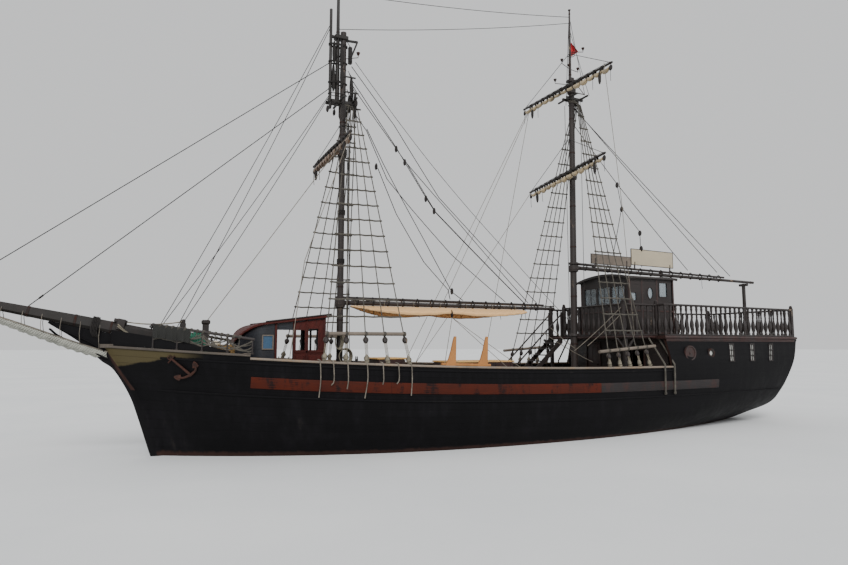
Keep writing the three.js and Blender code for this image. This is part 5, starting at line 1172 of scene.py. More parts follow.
# Shelter: aft and fore face, half-width, floor and top, and the heights of its outer rails
SHELTER = (-6.0, -3.95, 1.3, 3.202, 5.23)
SHELTER_RAILS = ((4.06, 4.12), (3.21, 3.33))
STAIR_FOOT_X, STAIR_Y, STAIR_WIDTH = -0.75, -1.6, 0.76
CASTLE_LOW, CASTLE_HIGH, WINDOW_WIDE, WINDOW_SLANT = 2.32, 2.92, 0.22, 0.15
CASTLE_WINDOWS = (-7.48, -8.67, -9.83)
TRANSOM_WINDOWS = (-1.15, -0.4, 0.4, 1.15)


def under_roof(x):
    """Height of the underside of the deckhouse roof, which rises aft."""
    return 3.33 + (9.27 - np.asarray(x, float)) * 0.3 / 2.29


def hood_drop(x):
    """Fall of the deckhouse's hood before its roof: a quarter of an ellipse."""
    return 0.55 * (1 - np.sqrt(1 - np.clip((np.asarray(x, float) - HOUSE_FORE) / 0.7, 0, 1) ** 2))


def house_plan(half, bow, aft, fore=HOUSE_FORE, steps=20):
    """Outline of the deckhouse seen from above: straight sides and a half-ellipse for its front."""
    angle = np.linspace(-math.pi / 2, math.pi / 2, steps + 1)
    front = [(fore + bow * math.cos(a), half * math.sin(a)) for a in angle]
    return np.array([(aft, -half), *front, (aft, half)])


def rect(start, end, low, high):
    """Outline of a rectangle from one place to another and one height to another."""
    return [(start, low), (end, low), (end, high), (start, high)]


def pane(outline, place, plane="y", thick=0.012):
    """Sheet of glass with an outline, centred on a place."""
    return plate(outline, place - thick / 2, place + thick / 2, plane, 0.002)


def make_deckhouse(sizes):
    """Deckhouse before the fore mast: boarded walls round a bowed front, posts, windows and panels,
    with a thin roof that rises towards the mast."""
    rows = np.linspace(0, 1, 12)[None, :, None]
    shapes = []
    for inset in (0.0, 0.05):
        plan = house_plan(HOUSE_HALF - inset, HOUSE_BOW - inset, HOUSE_AFT + inset)
        sides = np.concatenate([
            np.linspace(plan[0], plan[1], 24)[:-1], plan[1:-2], np.linspace(plan[-2], plan[-1], 24)])
        low = np.full(len(sides), DECK + 0.002) + sheer(sides[:, 0])
        foot = np.column_stack([sides, low])[:, None]
        head = np.column_stack([sides, under_roof(sides[:, 0]) - hood_drop(sides[:, 0]) - 0.002])[:, None]
        shapes.append(foot + (head - foot) * rows)
    ring = np.concatenate([shapes[0], shapes[1][:, ::-1]], axis=1)
    v = lengths(np.stack([shapes[0][0], shapes[0][0]]), 1)
    walls = solid(ring, v=np.concatenate([v, v[::-1] + 5, [v[0]]])[None])
    back = [box((HOUSE_AFT, -1.12, 3.3), (HOUSE_AFT + 0.05, 1.12, 3.62), 0.004)]
    for y0, y1, high in ((-1.12, -1.0, 3.3), (-1.0, -0.42, 2.62), (-0.42, -0.35, 3.3), (0.35, 0.42, 3.3),
                         (0.42, 1.0, 2.62), (1.0, 1.12, 3.3)):
        back.append(box((HOUSE_AFT, y0, 1.45), (HOUSE_AFT + 0.05, y1, high), 0.004))
    openings = [
        (7.9, 8.33, 1.5, 3.29), (7.18, 7.5, 2.72, 3.34), (7.55, 7.84, 2.72, 3.3), (8.43, 8.72, 2.76, 3.14)]
    cutters = [plate(rect(7.86, 7.12, 1.5, 3.34), -2, 0, cut=0.001)]
    for aft, fore, low, high in openings:
        cutters.append(plate(rect(fore, aft, low, high), -2 if fore > 7.85 else 0, 2, cut=0.001))
    built("deckhouse_walls", [walls], "navy_painted_boards", replaces=["deckhouse"], carve=cutters)
    built("deckhouse_back", back, "dark_stained_boards")
    cheek = plate([(7.9, 1.5), (HOUSE_AFT + 0.004, 1.5), (HOUSE_AFT + 0.004, 3.6), (7.9, 3.48)], HOUSE_HALF,
                  HOUSE_HALF + 0.014, cut=0.002)
    built("deckhouse_facing", [cheek], "red_painted_boards", carve=cutters[2:4])
    trim, pale, glass = [], [], []
    # heights and ends of the battens across a side: the first two are to port only
    battens = ((2.66, 2.72, 7.0, 7.87), (1.5, 1.58, 7.0, 7.87), (1.52, 1.6, 8.36, 8.66))
    for side in BOTH:
        face = side * HOUSE_HALF
        near, far = sorted((face - side * 0.03, face + side * 0.03))
        for x in (7.03, 7.52, 7.87, 8.36) if side == PORT else (7.03, 7.87, 8.36):
            trim.append(box((x - 0.03, near, DECK + 0.3), (x + 0.03, far, float(under_roof(x)) - 0.01)))
        for low, high, aft, fore in battens if side == PORT else battens[2:]:
            trim.append(box((aft, near, low), (fore, far, high)))
        for aft, fore in ((7.07, 7.48), (7.56, 7.84)) if side == PORT else ():
            trim.append(plate(rect(fore - 0.02, aft + 0.02, 1.64, 2.6), near, far, cut=0.02))
        for aft, fore, low, high in openings[1 if side == PORT else 3:]:
            outline = rect(fore - 0.02, aft + 0.02, low + 0.02, high - 0.02)
            (trim if aft < 8.4 else pale).append(hoop(outline, 0.026, near - 0.004, far + 0.004))
        glass.append(pane(outline, (near + far) / 2))
    built("deckhouse_trim", trim, "red_painted_boards")
    built("deckhouse_casings", pale, "greyed_spruce")
    # the deckhouse's panes: their blue colour is a painted reflection of the sky
    built("deckhouse_glass", glass, "blued_glass")
    plan = house_plan(HOUSE_HALF + 0.09, HOUSE_BOW + 0.06, HOUSE_AFT - 0.16, steps=28)
    rows = []
    for inset, lift in ((0.014, 0.0), (0.0, 0.012), (0.0, 0.05), (0.02, 0.066), (0.08, 0.07), (0.16, 0.07),
                        (0.25, 0.07), (0.5, 0.07)):
        edge = offset(plan, inset) if inset < 0.3 else plan * (0.55, 0.55) + (3.6, 0)
        rows.append(np.column_stack([edge, under_roof(edge[:, 0]) - hood_drop(edge[:, 0]) + lift]))
    built("deckhouse_top", [solid(np.stack(rows))], "red_painted_boards", replaces=["deckhouse_roof"])
    eave = []
    for side in BOTH:
        x = np.linspace(HOUSE_AFT - 0.14, HOUSE_FORE, 8)
        eave.append(tube(stacked(x, side * (HOUSE_HALF + 0.075), under_roof(x) + 0.085), 0.02))
    built("deckhouse_eaves", eave, "dark_stained_pine")


def castle_window(aft, side):
    """Leaning window in the castle's side: a pane between bars that follow the planks."""
    def at(share, rise, inset):
        """Point on the castle's side at shares of the window's breadth and height."""
        height = CASTLE_LOW + (CASTLE_HIGH - CASTLE_LOW) * rise
        return skin(aft + WINDOW_WIDE * share - WINDOW_SLANT * rise, height, side, inset)
    bars = []
    for share, wide in ((0.0, 0.034), (0.5, 0.018), (1.0, 0.034)):
        bars.append(timber(at(share, -0.03, 0.0), at(share, 1.03, 0.0), 0.05, wide, AHEAD, 0.004))
    for rise, wide in ((0.0, 0.034), (0.33, 0.018), (0.66, 0.018), (1.0, 0.034)):
        bars.append(timber(at(-0.08, rise, 0.0), at(1.08, rise, 0.0), 0.05, wide, cut=0.004))
    corners = ((0, 0), (1, 0), (1, 1), (0, 1))
    rings = [[at(share, rise, inset) for share, rise in corners] for inset in (0.015, 0.027)]
    return bars, solid(np.array(rings))


def make_castle(sizes):
    """Stern castle with its leaning lattice windows, porthole, roundel and transom windows, and the
    bulkhead across its front with a door that swings."""
    cutters, bars, glass, red, iron = [], [], [], [], []
    for x in CASTLE_WINDOWS:
        edge, lean = x + WINDOW_WIDE, WINDOW_SLANT
        outline = [(edge, CASTLE_LOW), (x, CASTLE_LOW), (x - lean, CASTLE_HIGH), (edge - lean, CASTLE_HIGH)]
        cutters.append(plate(outline, -3, 3, cut=0.001))
        for side in BOTH:
            lattice, leaded = castle_window(x, side)
            bars.extend(lattice)
            glass.append(leaded)
    ring, port_x, roundel_x, eye_z = circle(28), -6.31, -5.24, 2.61
    cutters.append(plate(ring * 0.13 + (port_x, eye_z), -3, 3, cut=0.001))
    # radius and height over the planking of the roundel's moulding
    moulding = ((0.259, 0.0), (0.251, 0.05), (0.226, 0.055), (0.206, 0.045), (0.201, 0.03), (0.101, 0.034),
                (0.001, 0.035))
    boss = ((0.05, 0.03), (0.045, 0.05), (0.02, 0.062))
    for side in BOTH:
        y = side * beam(port_x, eye_z)
        near, far = sorted((y - side * 0.04, y + side * 0.03))
        iron.append(hoop(ring * 0.09 + (port_x, eye_z), 0.07, near, far))
        glass.append(pane(ring * 0.1 + (port_x, eye_z), y - side * 0.02))
        place = (roundel_x, side * beam(roundel_x, eye_z), eye_z)
        red += [turned(moulding, place, (0, side, 0), 36), turned(boss, place, (0, side, 0), 20)]
    half, low, high = 0.19, 2.29, 2.9
    aft, fore = (float(form(h)[1]) + 0.02 for h in (low, high))
    for y in TRANSOM_WINDOWS:
        cutters.append(plate(rect(y - half, y + half, low, high), -12, -11, "x", 0.001))
        for k in (-half, 0.0, half):
            bars.append(timber(
                (aft, y + k, low - 0.02), (fore, y + k, high + 0.02), 0.04, 0.07, AHEAD, 0.005))
        for share in (0.0, 0.33, 0.66, 1.0):
            x, z = aft + (fore - aft) * share, low + (high - low) * share
            bars.append(timber((x, y - half - 0.01, z), (x, y + half + 0.01, z), 0.07, 0.035, cut=0.005))
        corner = np.array([
            (aft, y - half, low), (aft, y + half, low), (fore, y + half, high), (fore, y - half, high)])
        glass.append(solid(np.stack([corner + (0.03, 0, 0), corner + (0.042, 0, 0)])))
    built("castle_planks", [castle_walls(HULL_TOP, CASTLE_TOP)], "oil_painted_planks",
          replaces=["stern_castle"], carve=cutters)
    built("castle_window_bars", bars, "dark_stained_pine")
    built("castle_glass", glass, "whitened_glass")
    built("castle_porthole_rings", iron, "wrought_iron")
    built("castle_roundels", red, "red_stained_pine")
    make_bulkhead()


def make_bulkhead():
    """Boarded bulkhead with a doorway and a window, and its panelled door on the ship's own hinge."""
    wall = across(-4.45, -4.38, DECK, CASTLE_TOP, PLANK - 0.01, steps=2)
    door = rect(-1.61, -0.89, 1.26, 2.95)
    window = rect(0.5, 1.4, 2.1, 2.7)
    cutters = [plate(outline, -5, -4, "x", 0.001) for outline in (door, window)]
    built("bulkhead_boards", [wall], "dark_stained_boards", replaces=["cabin_bulkhead"], carve=cutters)
    frames = [hoop(door, 0.07, -4.475, -4.355, "x"), hoop(window, 0.06, -4.475, -4.355, "x")]
    for y in (0.8, 1.1):
        frames.append(box((-4.43, y - 0.014, 2.1), (-4.4, y + 0.014, 2.7), 0.004))
    built("bulkhead_frames", frames, "red_stained_pine")
    low, high = 1.266, 2.944
    leaf = [box((-4.432, -1.604, low), (-4.388, -0.896, high), 0.006)]
    for z0, z1 in ((1.36, 1.95), (2.07, 2.84)):
        for y0, y1 in ((-1.53, -1.28), (-1.22, -0.97)):
            panel = rect(y0, y1, z0, z1)
            leaf.append(plate(panel, -4.438, -4.382, "x", 0.018))
    built("door_leaf", leaf, "red_stained_pine", "cabin_door", ["cabin_door"])
    iron = [
        tube([(-4.384, -1.5974, low), (-4.384, -1.5974, high)], 0.012, 12),
        turned([(0.008, 0), (0.008, 0.03), (0.02, 0.04), (0.025, 0.055), (0.018, 0.07)],
               (-4.39, -0.97, 2.15), AHEAD, 14),
    ]
    built("door_iron", iron, "wrought_iron", "cabin_door")


def rail_line(side, low):
    """Points along the outer edge of one side's rail: aft to forward, in by a jog at the porch."""
    x = np.linspace(-11.47, -4.38, 40)
    y = half_breadth(x, 3.15) - RAIL_INSET
    return [*zip(x, side * y, np.full(40, low)), (-4.37, side * 2.045, low),
            (QUARTERDECK_FRONT, side * 2.045, low)]


def baluster_profile(tall):
    """Radii and heights of a vase baluster: a square-shouldered foot, a round belly and a slim neck."""
    share = np.array([
        0, 0.06, 0.08, 0.1, 0.16, 0.24, 0.33, 0.42, 0.5, 0.58, 0.63, 0.66, 0.7, 0.76, 0.84, 0.9, 0.93, 1.0])
    radius = np.array([48, 48, 36, 30, 42, 62, 70, 62, 44, 30, 26, 34, 26, 28, 36, 46, 34, 46])
    return np.column_stack([radius / 1000, share * tall])


def make_quarterdeck(sizes):
    """Quarterdeck slab with its moulding, porch posts, the vase-baluster rail and the stair."""
    slab = across(-11.6, CASTLE_FRONT + 0.04, CASTLE_TOP, QUARTERDECK, -MOULDING, 0.01)
    porch = box(
        (CASTLE_FRONT - 0.1, -PORCH_HALF, CASTLE_TOP), (QUARTERDECK_FRONT, PORCH_HALF, QUARTERDECK), 0.01)
    hole = tube([(-2.44 - 0.0506, 0, 2.9), (-2.44 - 0.0506, 0, 3.5)], 0.185, 24)
    built("quarterdeck_frame", [slab, porch], "red_stained_boards", replaces=["quarterdeck"], carve=[hole])
    planks = across(-11.5, CASTLE_FRONT, QUARTERDECK - 0.002, QUARTERDECK + 0.0015, 0.06, 0.001)
    ahead = grid(np.array([[(x, y, QUARTERDECK + 0.0015) for y in np.linspace(-2.03, 2.03, 3)]
                           for x in (CASTLE_FRONT, -2.94)]), u=np.array([[CASTLE_FRONT], [-2.94]]),
                 v=np.linspace(-2.03, 2.03, 3)[None] + 5)
    built("quarterdeck_planks", [planks, facing(ahead, UP)], "scrubbed_pine_deck", carve=[hole])
    mould = []
    for side in BOTH:
        for low, out in ((3.045, 0.028), (3.0, 0.018)):
            section = [(0.02, low), (-out, low + 0.008), (-out - 0.008, low + 0.025), (-out, low + 0.042),
                       (0.02, low + 0.05)]
            mould.append(strip(side, -11.45, CASTLE_FRONT, section, 3.05, 60))
        section = [(-0.03, 3.115), (-0.052, 3.125), (-0.06, 3.15), (-0.052, 3.175), (-0.03, 3.185)]
        mould += [
            strip(side, -11.6, CASTLE_FRONT + 0.04, section, 3.15, 60),
            tube([(CASTLE_FRONT, side * (PORCH_HALF + 0.01), 3.15),
                  (QUARTERDECK_FRONT, side * (PORCH_HALF + 0.01), 3.15)], 0.026, 10),
        ]
    mould.append(tube([(QUARTERDECK_FRONT + 0.01, -PORCH_HALF, 3.15),
                       (QUARTERDECK_FRONT + 0.01, PORCH_HALF, 3.15)], 0.026, 10))
    for z, x in ((3.15, -11.65), (3.06, -11.61)):
        mould.append(tube([(x, -2.02, z), (x, 2.02, z)], 0.026, 10))
    built("quarterdeck_moulding", mould, "red_stained_pine")
    posts = []
    for side in BOTH:
        foot = (-3.0, side * 2.01, DECK + 0.002)
        posts += [
            timber(foot, (-3.0, side * 2.01, CASTLE_TOP), 0.12, 0.12, AHEAD, 0.012),
            timber(foot, (-3.0, side * 2.01, DECK + 0.2), 0.16, 0.16, AHEAD, 0.02),
        ]
        for way in (-1, 1):
            posts.append(timber((-3.0 + way * 0.05, side * 2.01, 2.75),
                                (-3.0 + way * 0.36, side * 2.01, 3.1), 0.09, 0.07, UP, 0.01))
    built("porch_posts", posts, "dark_stained_pine")
    make_rails(sizes)
    make_stair()


def make_rails(sizes):
    """Rail of the quarterdeck: a sill and a moulded top rail with vase balusters between them."""
    lathe = turned(baluster_profile(RAIL_HIGH - 0.115), (0, 0, QUARTERDECK + 0.052), UP, 14)
    members = (
        (0.028, chamfered(RAIL_WIDTH, 0.055, 0.008)), (RAIL_HIGH - 0.033, chamfered(0.13, 0.065, 0.018)))
    inner = RAIL_WIDTH / 2
    half = beam(-11.56, 3.15) - RAIL_INSET
    # name, line of the rail, first baluster's place on it, last one's place before its end
    runs = []
    for side, name in SIDES:
        line = np.array(rail_line(side, 0.0)) - (0, side * inner, 0)
        line[:, 0] -= np.where(line[:, 0] > -4.4, inner, 0)
        runs.append((name, line, 0.12, 0.06))
    runs += [
        ("aft", np.linspace((RAIL_AFT, -half, 0), (RAIL_AFT, half, 0), 3), 0.07, 0.07),
        ("front", np.linspace((RAIL_FORE, -1.16, 0), (RAIL_FORE, 1.93, 0), 3), 0.07, 0.07),
    ]
    for name, line, first, last in runs:
        parts = [solid(carried(line + (0, 0, QUARTERDECK + high), section)) for high, section in members]
        run = lengths(line[:, None], 0)
        at = np.linspace(first, run[-1] - last, int(run[-1] / sizes.baluster_pitch))
        parts.append(lathe.copies(shift(*zip(*[np.interp(at, run, line[:, k]) for k in range(3)]))))
        built(f"rail_{name}", parts, "dark_stained_pine", replaces=[f"quarterdeck_rail_{name}"])
    top = QUARTERDECK + RAIL_HIGH + 0.03
    finial = [(0.05, 0.0), (0.07, 0.02), (0.05, 0.04), (0.055, 0.07), (0.03, 0.1), (0.004, 0.11)]
    posts = []
    for x, y in ((RAIL_FORE, 1.99), (RAIL_FORE, -1.16), (RAIL_FORE, -1.99), (-4.425, 1.99), (-4.425, -1.99),
                 (RAIL_AFT, half - 0.05), (RAIL_AFT, 0.05 - half)):
        posts += [post((x, y), QUARTERDECK + 0.002, top, 0.12, 0.012), turned(finial, (x, y, top))]
    built("rail_posts", posts, "dark_stained_pine")


def make_stair():
    """Stair to the quarterdeck: housed treads between strings, with a handrail on each side."""
    head = QUARTERDECK_FRONT
    foot_z = sheered(-0.71) + 0.001
    parts = []
    for side in BOTH:
        y = STAIR_Y + side * STAIR_WIDTH / 2
        string = [(-0.71, foot_z), (-0.95, foot_z), (head, QUARTERDECK - 0.23), (head, QUARTERDECK)]
        parts.append(plate(string, y - 0.022, y + 0.022, cut=0.006))
        low, high = (-0.81, y, DECK + 0.95), (head + 0.04, y, QUARTERDECK + 0.84)
        for (x, z0, z1) in ((-0.81, DECK + 0.05, DECK + 1.0),
                            (head + 0.04, QUARTERDECK - 0.12, QUARTERDECK + 0.88)):
            parts += [
                post((x, y), z0, z1, 0.062, 0.008),
                turned([(0.02, 0), (0.036, 0.012), (0.036, 0.03), (0.012, 0.05)], (x, y, z1), UP, 14),
            ]
        parts.append(tube([low, high], 0.028, 12))
        for share in (0.34, 0.67):
            x = low[0] + (high[0] - low[0]) * share
            z = low[2] + (high[2] - low[2]) * share
            parts.append(tube([(x, y, z - 0.98), (x, y, z)], 0.016, 10, AHEAD))
    for i in range(1, 9):
        share = i / 9
        x = STAIR_FOOT_X + (head - STAIR_FOOT_X) * share
        z = DECK + (QUARTERDECK - DECK) * share
        parts.append(box((x - 0.12, STAIR_Y - 0.37, z - 0.04), (x + 0.12, STAIR_Y + 0.37, z), 0.01))
    built("stair_timbers", parts, "dark_stained_pine", replaces=["stair"])


def make_helm(sizes):
    """Helm shelter with its windows and arched roof, the pedestal and the turning wheel."""
    aft, fore, half, floor, top = SHELTER
    front = rect(-half, half, floor, top)
    edges, wide, low, high = (-1.08, -0.34, 0.4), 0.68, 4.35, 5.0
    cutters = [plate(rect(y, y + wide, low, high), -5, -3, "x", 0.001) for y in edges]
    walls = [plate(front, fore, fore + 0.05, "x", 0.006)]
    built("shelter_front", walls, "dark_stained_boards", replaces=["helm_shelter"], carve=cutters)
    trim, frames, glass, sides = [], [], [], []
    low, high = low + 0.01, high - 0.01
    for y in edges:
        outline = rect(y + 0.01, y + wide - 0.01, low, high)
        frames += [
            hoop(outline, 0.045, fore - 0.01, fore + 0.065, "x"),
            box((fore + 0.01, y + 0.33, low), (fore + 0.045, y + 0.35, high), 0.003),
        ]
        glass.append(pane(outline, fore + 0.025, "x"))
    outlines = [rect(-5.32, -5.68, 4.62, 5.11), circle(24) * (0.12, 0.2) + (-4.89, 4.73),
                rect(-3.99, -4.22, 4.46, 4.72)]
    side_cut = [plate(outline, -2, 2, cut=0.001) for outline in outlines]
    for side in BOTH:
        near, far = sorted((side * (half - 0.05), side * half))
        sides.append(box((aft, near, floor), (fore, far, top), 0.006))
        for outline in outlines:
            frames.append(hoop(outline, 0.035, near - 0.012, far + 0.012))
            glass.append(pane(outline, (near + far) / 2))
        for x in (-5.98, -5.2, -4.5, -3.925):
            trim.append(box((x - 0.035, near - 0.01, 3.21), (x + 0.035, far + 0.012, 5.24)))
        for rail_low, rail_high in SHELTER_RAILS:
            trim.append(box((aft, near - 0.008, rail_low), (fore + 0.05, far + 0.014, rail_high)))
        corner = side * (half - 0.055)
        trim.append(box((aft, corner - 0.055, floor), (aft + 0.11, corner + 0.055, top + 0.005)))
    for rail_low, rail_high in SHELTER_RAILS:
        trim.append(box((fore + 0.045, -half, rail_low), (fore + 0.07, half, rail_high)))
    built("shelter_sides", sides, "dark_stained_boards", carve=side_cut)
    built("shelter_trim", trim, "red_stained_pine")
    built("shelter_frames", frames, "dark_stained_pine")
    built("shelter_glass", glass, "drawn_glass")
    y = np.linspace(-1, 1, 33) * (half + 0.09)
    arch = top + 0.17 * (1 - (y / (half + 0.09)) ** 2)
    section = np.concatenate([np.column_stack([y, arch + 0.05]), np.column_stack([y, arch])[::-1]])
    roof = [solid(np.stack([laid_on(section, "x", x) for x in (-6.12, -6.11, -3.76, -3.75)]))]
    for x in (-6.115, -3.76):
        roof.append(solid(carried(stacked(x, y, arch + 0.02), chamfered(0.035, 0.09, 0.01))))
    gable = np.column_stack([y[2:-2], arch[2:-2] + 0.01])
    for x in (-5.995, -3.945):
        roof.append(plate([*gable, (1.25, 5.22), (-1.25, 5.22)], x, x + 0.04, "x", 0.003))
    built("shelter_roof", roof, "dark_stained_boards", replaces=["helm_shelter_roof"])
    make_wheel()


def make_wheel():
    """Pedestal with a plinth and a cap, and the wheel: a felloe with bands, a hub, and spokes turned
    with a vase and a handle."""
    parts = [box((-4.7, -0.15, 3.24), (-4.48, 0.15, 4.27), 0.012),
             box((-4.74, -0.19, 3.202), (-4.44, 0.19, 3.26), 0.014),
             box((-4.72, -0.17, 4.25), (-4.46, 0.17, 4.3), 0.014),
             box((-4.71, -0.16, 4.12), (-4.47, 0.16, 4.15))]
    built("helm_pedestal_case", parts, "red_stained_pine", replaces=["helm_pedestal"])
    x, z = -4.79, 4.18
    felloe = circle(12) * (0.026, 0.03)
    centre = np.array([x, 0.0, z])
    path = [(x, a, z + b) for a, b in circle(48, 0.43)]
    wheel = [
        grid(carried(path, felloe, AHEAD, looped=True), closed=True, looped=True),
        turned([(0.03, -0.06), (0.05, -0.045), (0.075, -0.03), (0.075, 0.03), (0.05, 0.045), (0.03, 0.06)],
               centre, AHEAD, 24),
    ]
    spoke = [
        (0.018, 0.05), (0.02, 0.1), (0.014, 0.15), (0.022, 0.22), (0.016, 0.3), (0.014, 0.36), (0.02, 0.4),
        (0.02, 0.46), (0.012, 0.475), (0.017, 0.5), (0.02, 0.54), (0.014, 0.575), (0.004, 0.58)]
    for i in range(8):
        angle = math.tau * i / 8
        wheel.append(turned(spoke, centre, (0, math.sin(angle), math.cos(angle)), 10))
    built("helm_wheel_rim", wheel, "red_stained_pine", "helm_wheel", ["helm_wheel"])
    metal = [
        turned([(0.04, 0.058), (0.038, 0.07), (0.02, 0.082), (0.003, 0.085)], centre, (-1, 0, 0), 18),
        tube([centre, centre + (0.21, 0, 0)], 0.02, 14),
    ]
    for offset_x in (-0.029, 0.021):
        ring = [stacked(x + offset_x + k, *circle(48, r).T)
                for r, k in ((0.415, 0), (0.445, 0), (0.445, 0.008), (0.415, 0.008))]
        metal.append(grid(np.stack(ring) + (0, 0, z), closed=True, looped=True))
    built("helm_wheel_brass", metal, "cast_bronze", "helm_wheel")


# Masts, spars and rigging
FORE_X, MAIN_X, RAKE = 6.22, -2.44, 0.0158
TOP_X = FORE_X + 0.185
RIG = Matrix.Translation((MAIN_X, 0, 0)) @ Matrix.Rotation(-RAKE, 4, "Y")
FORE_BOOM_Z, MAIN_BOOM_Z = 4.15, 5.67
GAFF_LIFT = 0.126
FORE_BOOM_LENGTH = 7.85
TREE_HALF = 0.56
FORE_YARD_Z, LOWER_YARD_Z, UPPER_YARD_Z = 8.8, 9.08, 12.35
YARD_AHEAD = 0.36


def boom_radius(distance, length):
    """Radius of a boom at a distance from its mast's middle."""
    return 0.07 - 0.018 * distance / length


def yard_radius(y, half):
    """Radius of a yard at a place along it, from its slings to the ends at its half-length."""
    return 0.06 - 0.024 * np.abs(y) / half


def rigged(patches, frame=RIG):
    """Patches moved from the raking main mast's own frame into the ship's."""
    return [patch.copies([frame]) for patch in patches]


def band_profile(radius, wide, proud=0.006):
    """Radii and heights of a flat band with broken edges."""
    return [(radius, 0), (radius + proud, 0.004), (radius + proud, wide - 0.004), (radius, wide)]


def bolster(x, top, r):
    """Shoulder on a mast, under the collar of a boom or a yard at a height."""
    profile = [(r, 0), (r + 0.045, 0.02), (r + 0.055, 0.09), (r, 0.09)]
    return turned(profile, (x, 0, top - 0.1653), UP, 28)


def trestle(aft, fore, z, side):
    """Trestle-tree along one side of a masthead."""
    return timber((aft, side * 0.117, z), (fore, side * 0.117, z), 0.066, 0.1, cut=0.012)


def crosstree(x, z, half=TREE_HALF):
    """Timber across a masthead."""
    return timber((x, -half, z), (x, half, z), 0.06, 0.06, cut=0.01)


def ring_band(x, y, low, high, radius, proud=0.006, sides=24):
    """Iron or rope band round an upright spar."""
    return turned(band_profile(radius, high - low, proud), (x, y, low), UP, sides)


def collar(x, low, radius, tall=0.15, wall=0.045, gap=0.008):
    """Ring that turns on a mast with a gap all round: its section is a rectangle with broken edges."""
    section = np.array([
        (gap, 0.004), (gap + 0.004, 0), (gap + wall - 0.006, 0), (gap + wall, 0.006),
        (gap + wall, tall - 0.006), (gap + wall - 0.006, tall), (gap + 0.004, tall), (gap, tall - 0.004)])
    ring = circle(32)
    rings = np.stack([
        stacked(x + ring[:, 0] * (radius + r), ring[:, 1] * (radius + r), low + z) for r, z in section])
    return grid(rings, closed=True, looped=True)


def wound(centre, radius, wire, turns, axis, sides=20):
    """Turns of rope laid side by side round a bar: one helix about its axis."""
    steps = turns * sides
    angle = math.tau * turns * np.arange(steps + 1) / steps
    frame = np.array(Vector(axis).to_track_quat("Z", "Y").to_matrix())
    along = (np.arange(steps + 1) / sides - turns / 2) * wire * 2.05
    local = np.column_stack([radius * np.cos(angle), radius * np.sin(angle), along])
    return rope(local @ frame.T + centre, wire, axis)


def block_patches(size=0.1):
    """Pulley block: an oval shell in two cheeks with its strop round it, hanging from its own eye."""
    t = np.linspace(0.02, math.pi - 0.02, 9)
    ring = circle(10)
    rows = np.stack([
        np.column_stack([ring[:, 0] * 0.3 * size * math.sin(a) ** 0.6,
                         ring[:, 1] * 0.5 * size * math.sin(a) ** 0.8,
                         np.full(10, -0.62 * size * math.cos(a) - 0.85 * size)]) for a in t])
    shell_patch = solid(rows)
    loop = [(0.0, 0.52 * size * math.sin(a), -0.66 * size * math.cos(a) - 0.82 * size)
            for a in np.linspace(0, math.tau, 17)[:-1]]
    strop = tube(loop, 0.09 * size, 6, AHEAD, looped=True)
    return shell_patch, strop


def hang_blocks(name, places, size, body="ship", frame=Matrix.Identity(4)):
    """Blocks of one size and their strops at places in a frame, on a body."""
    for part, patch, finish in zip(
            ("blocks", "strops"), block_patches(size), ("dark_stained_pine", "tarred_hemp")):
        built(f"{name}_{part}", rigged([patch.copies(shift(*places))], frame), finish, body)


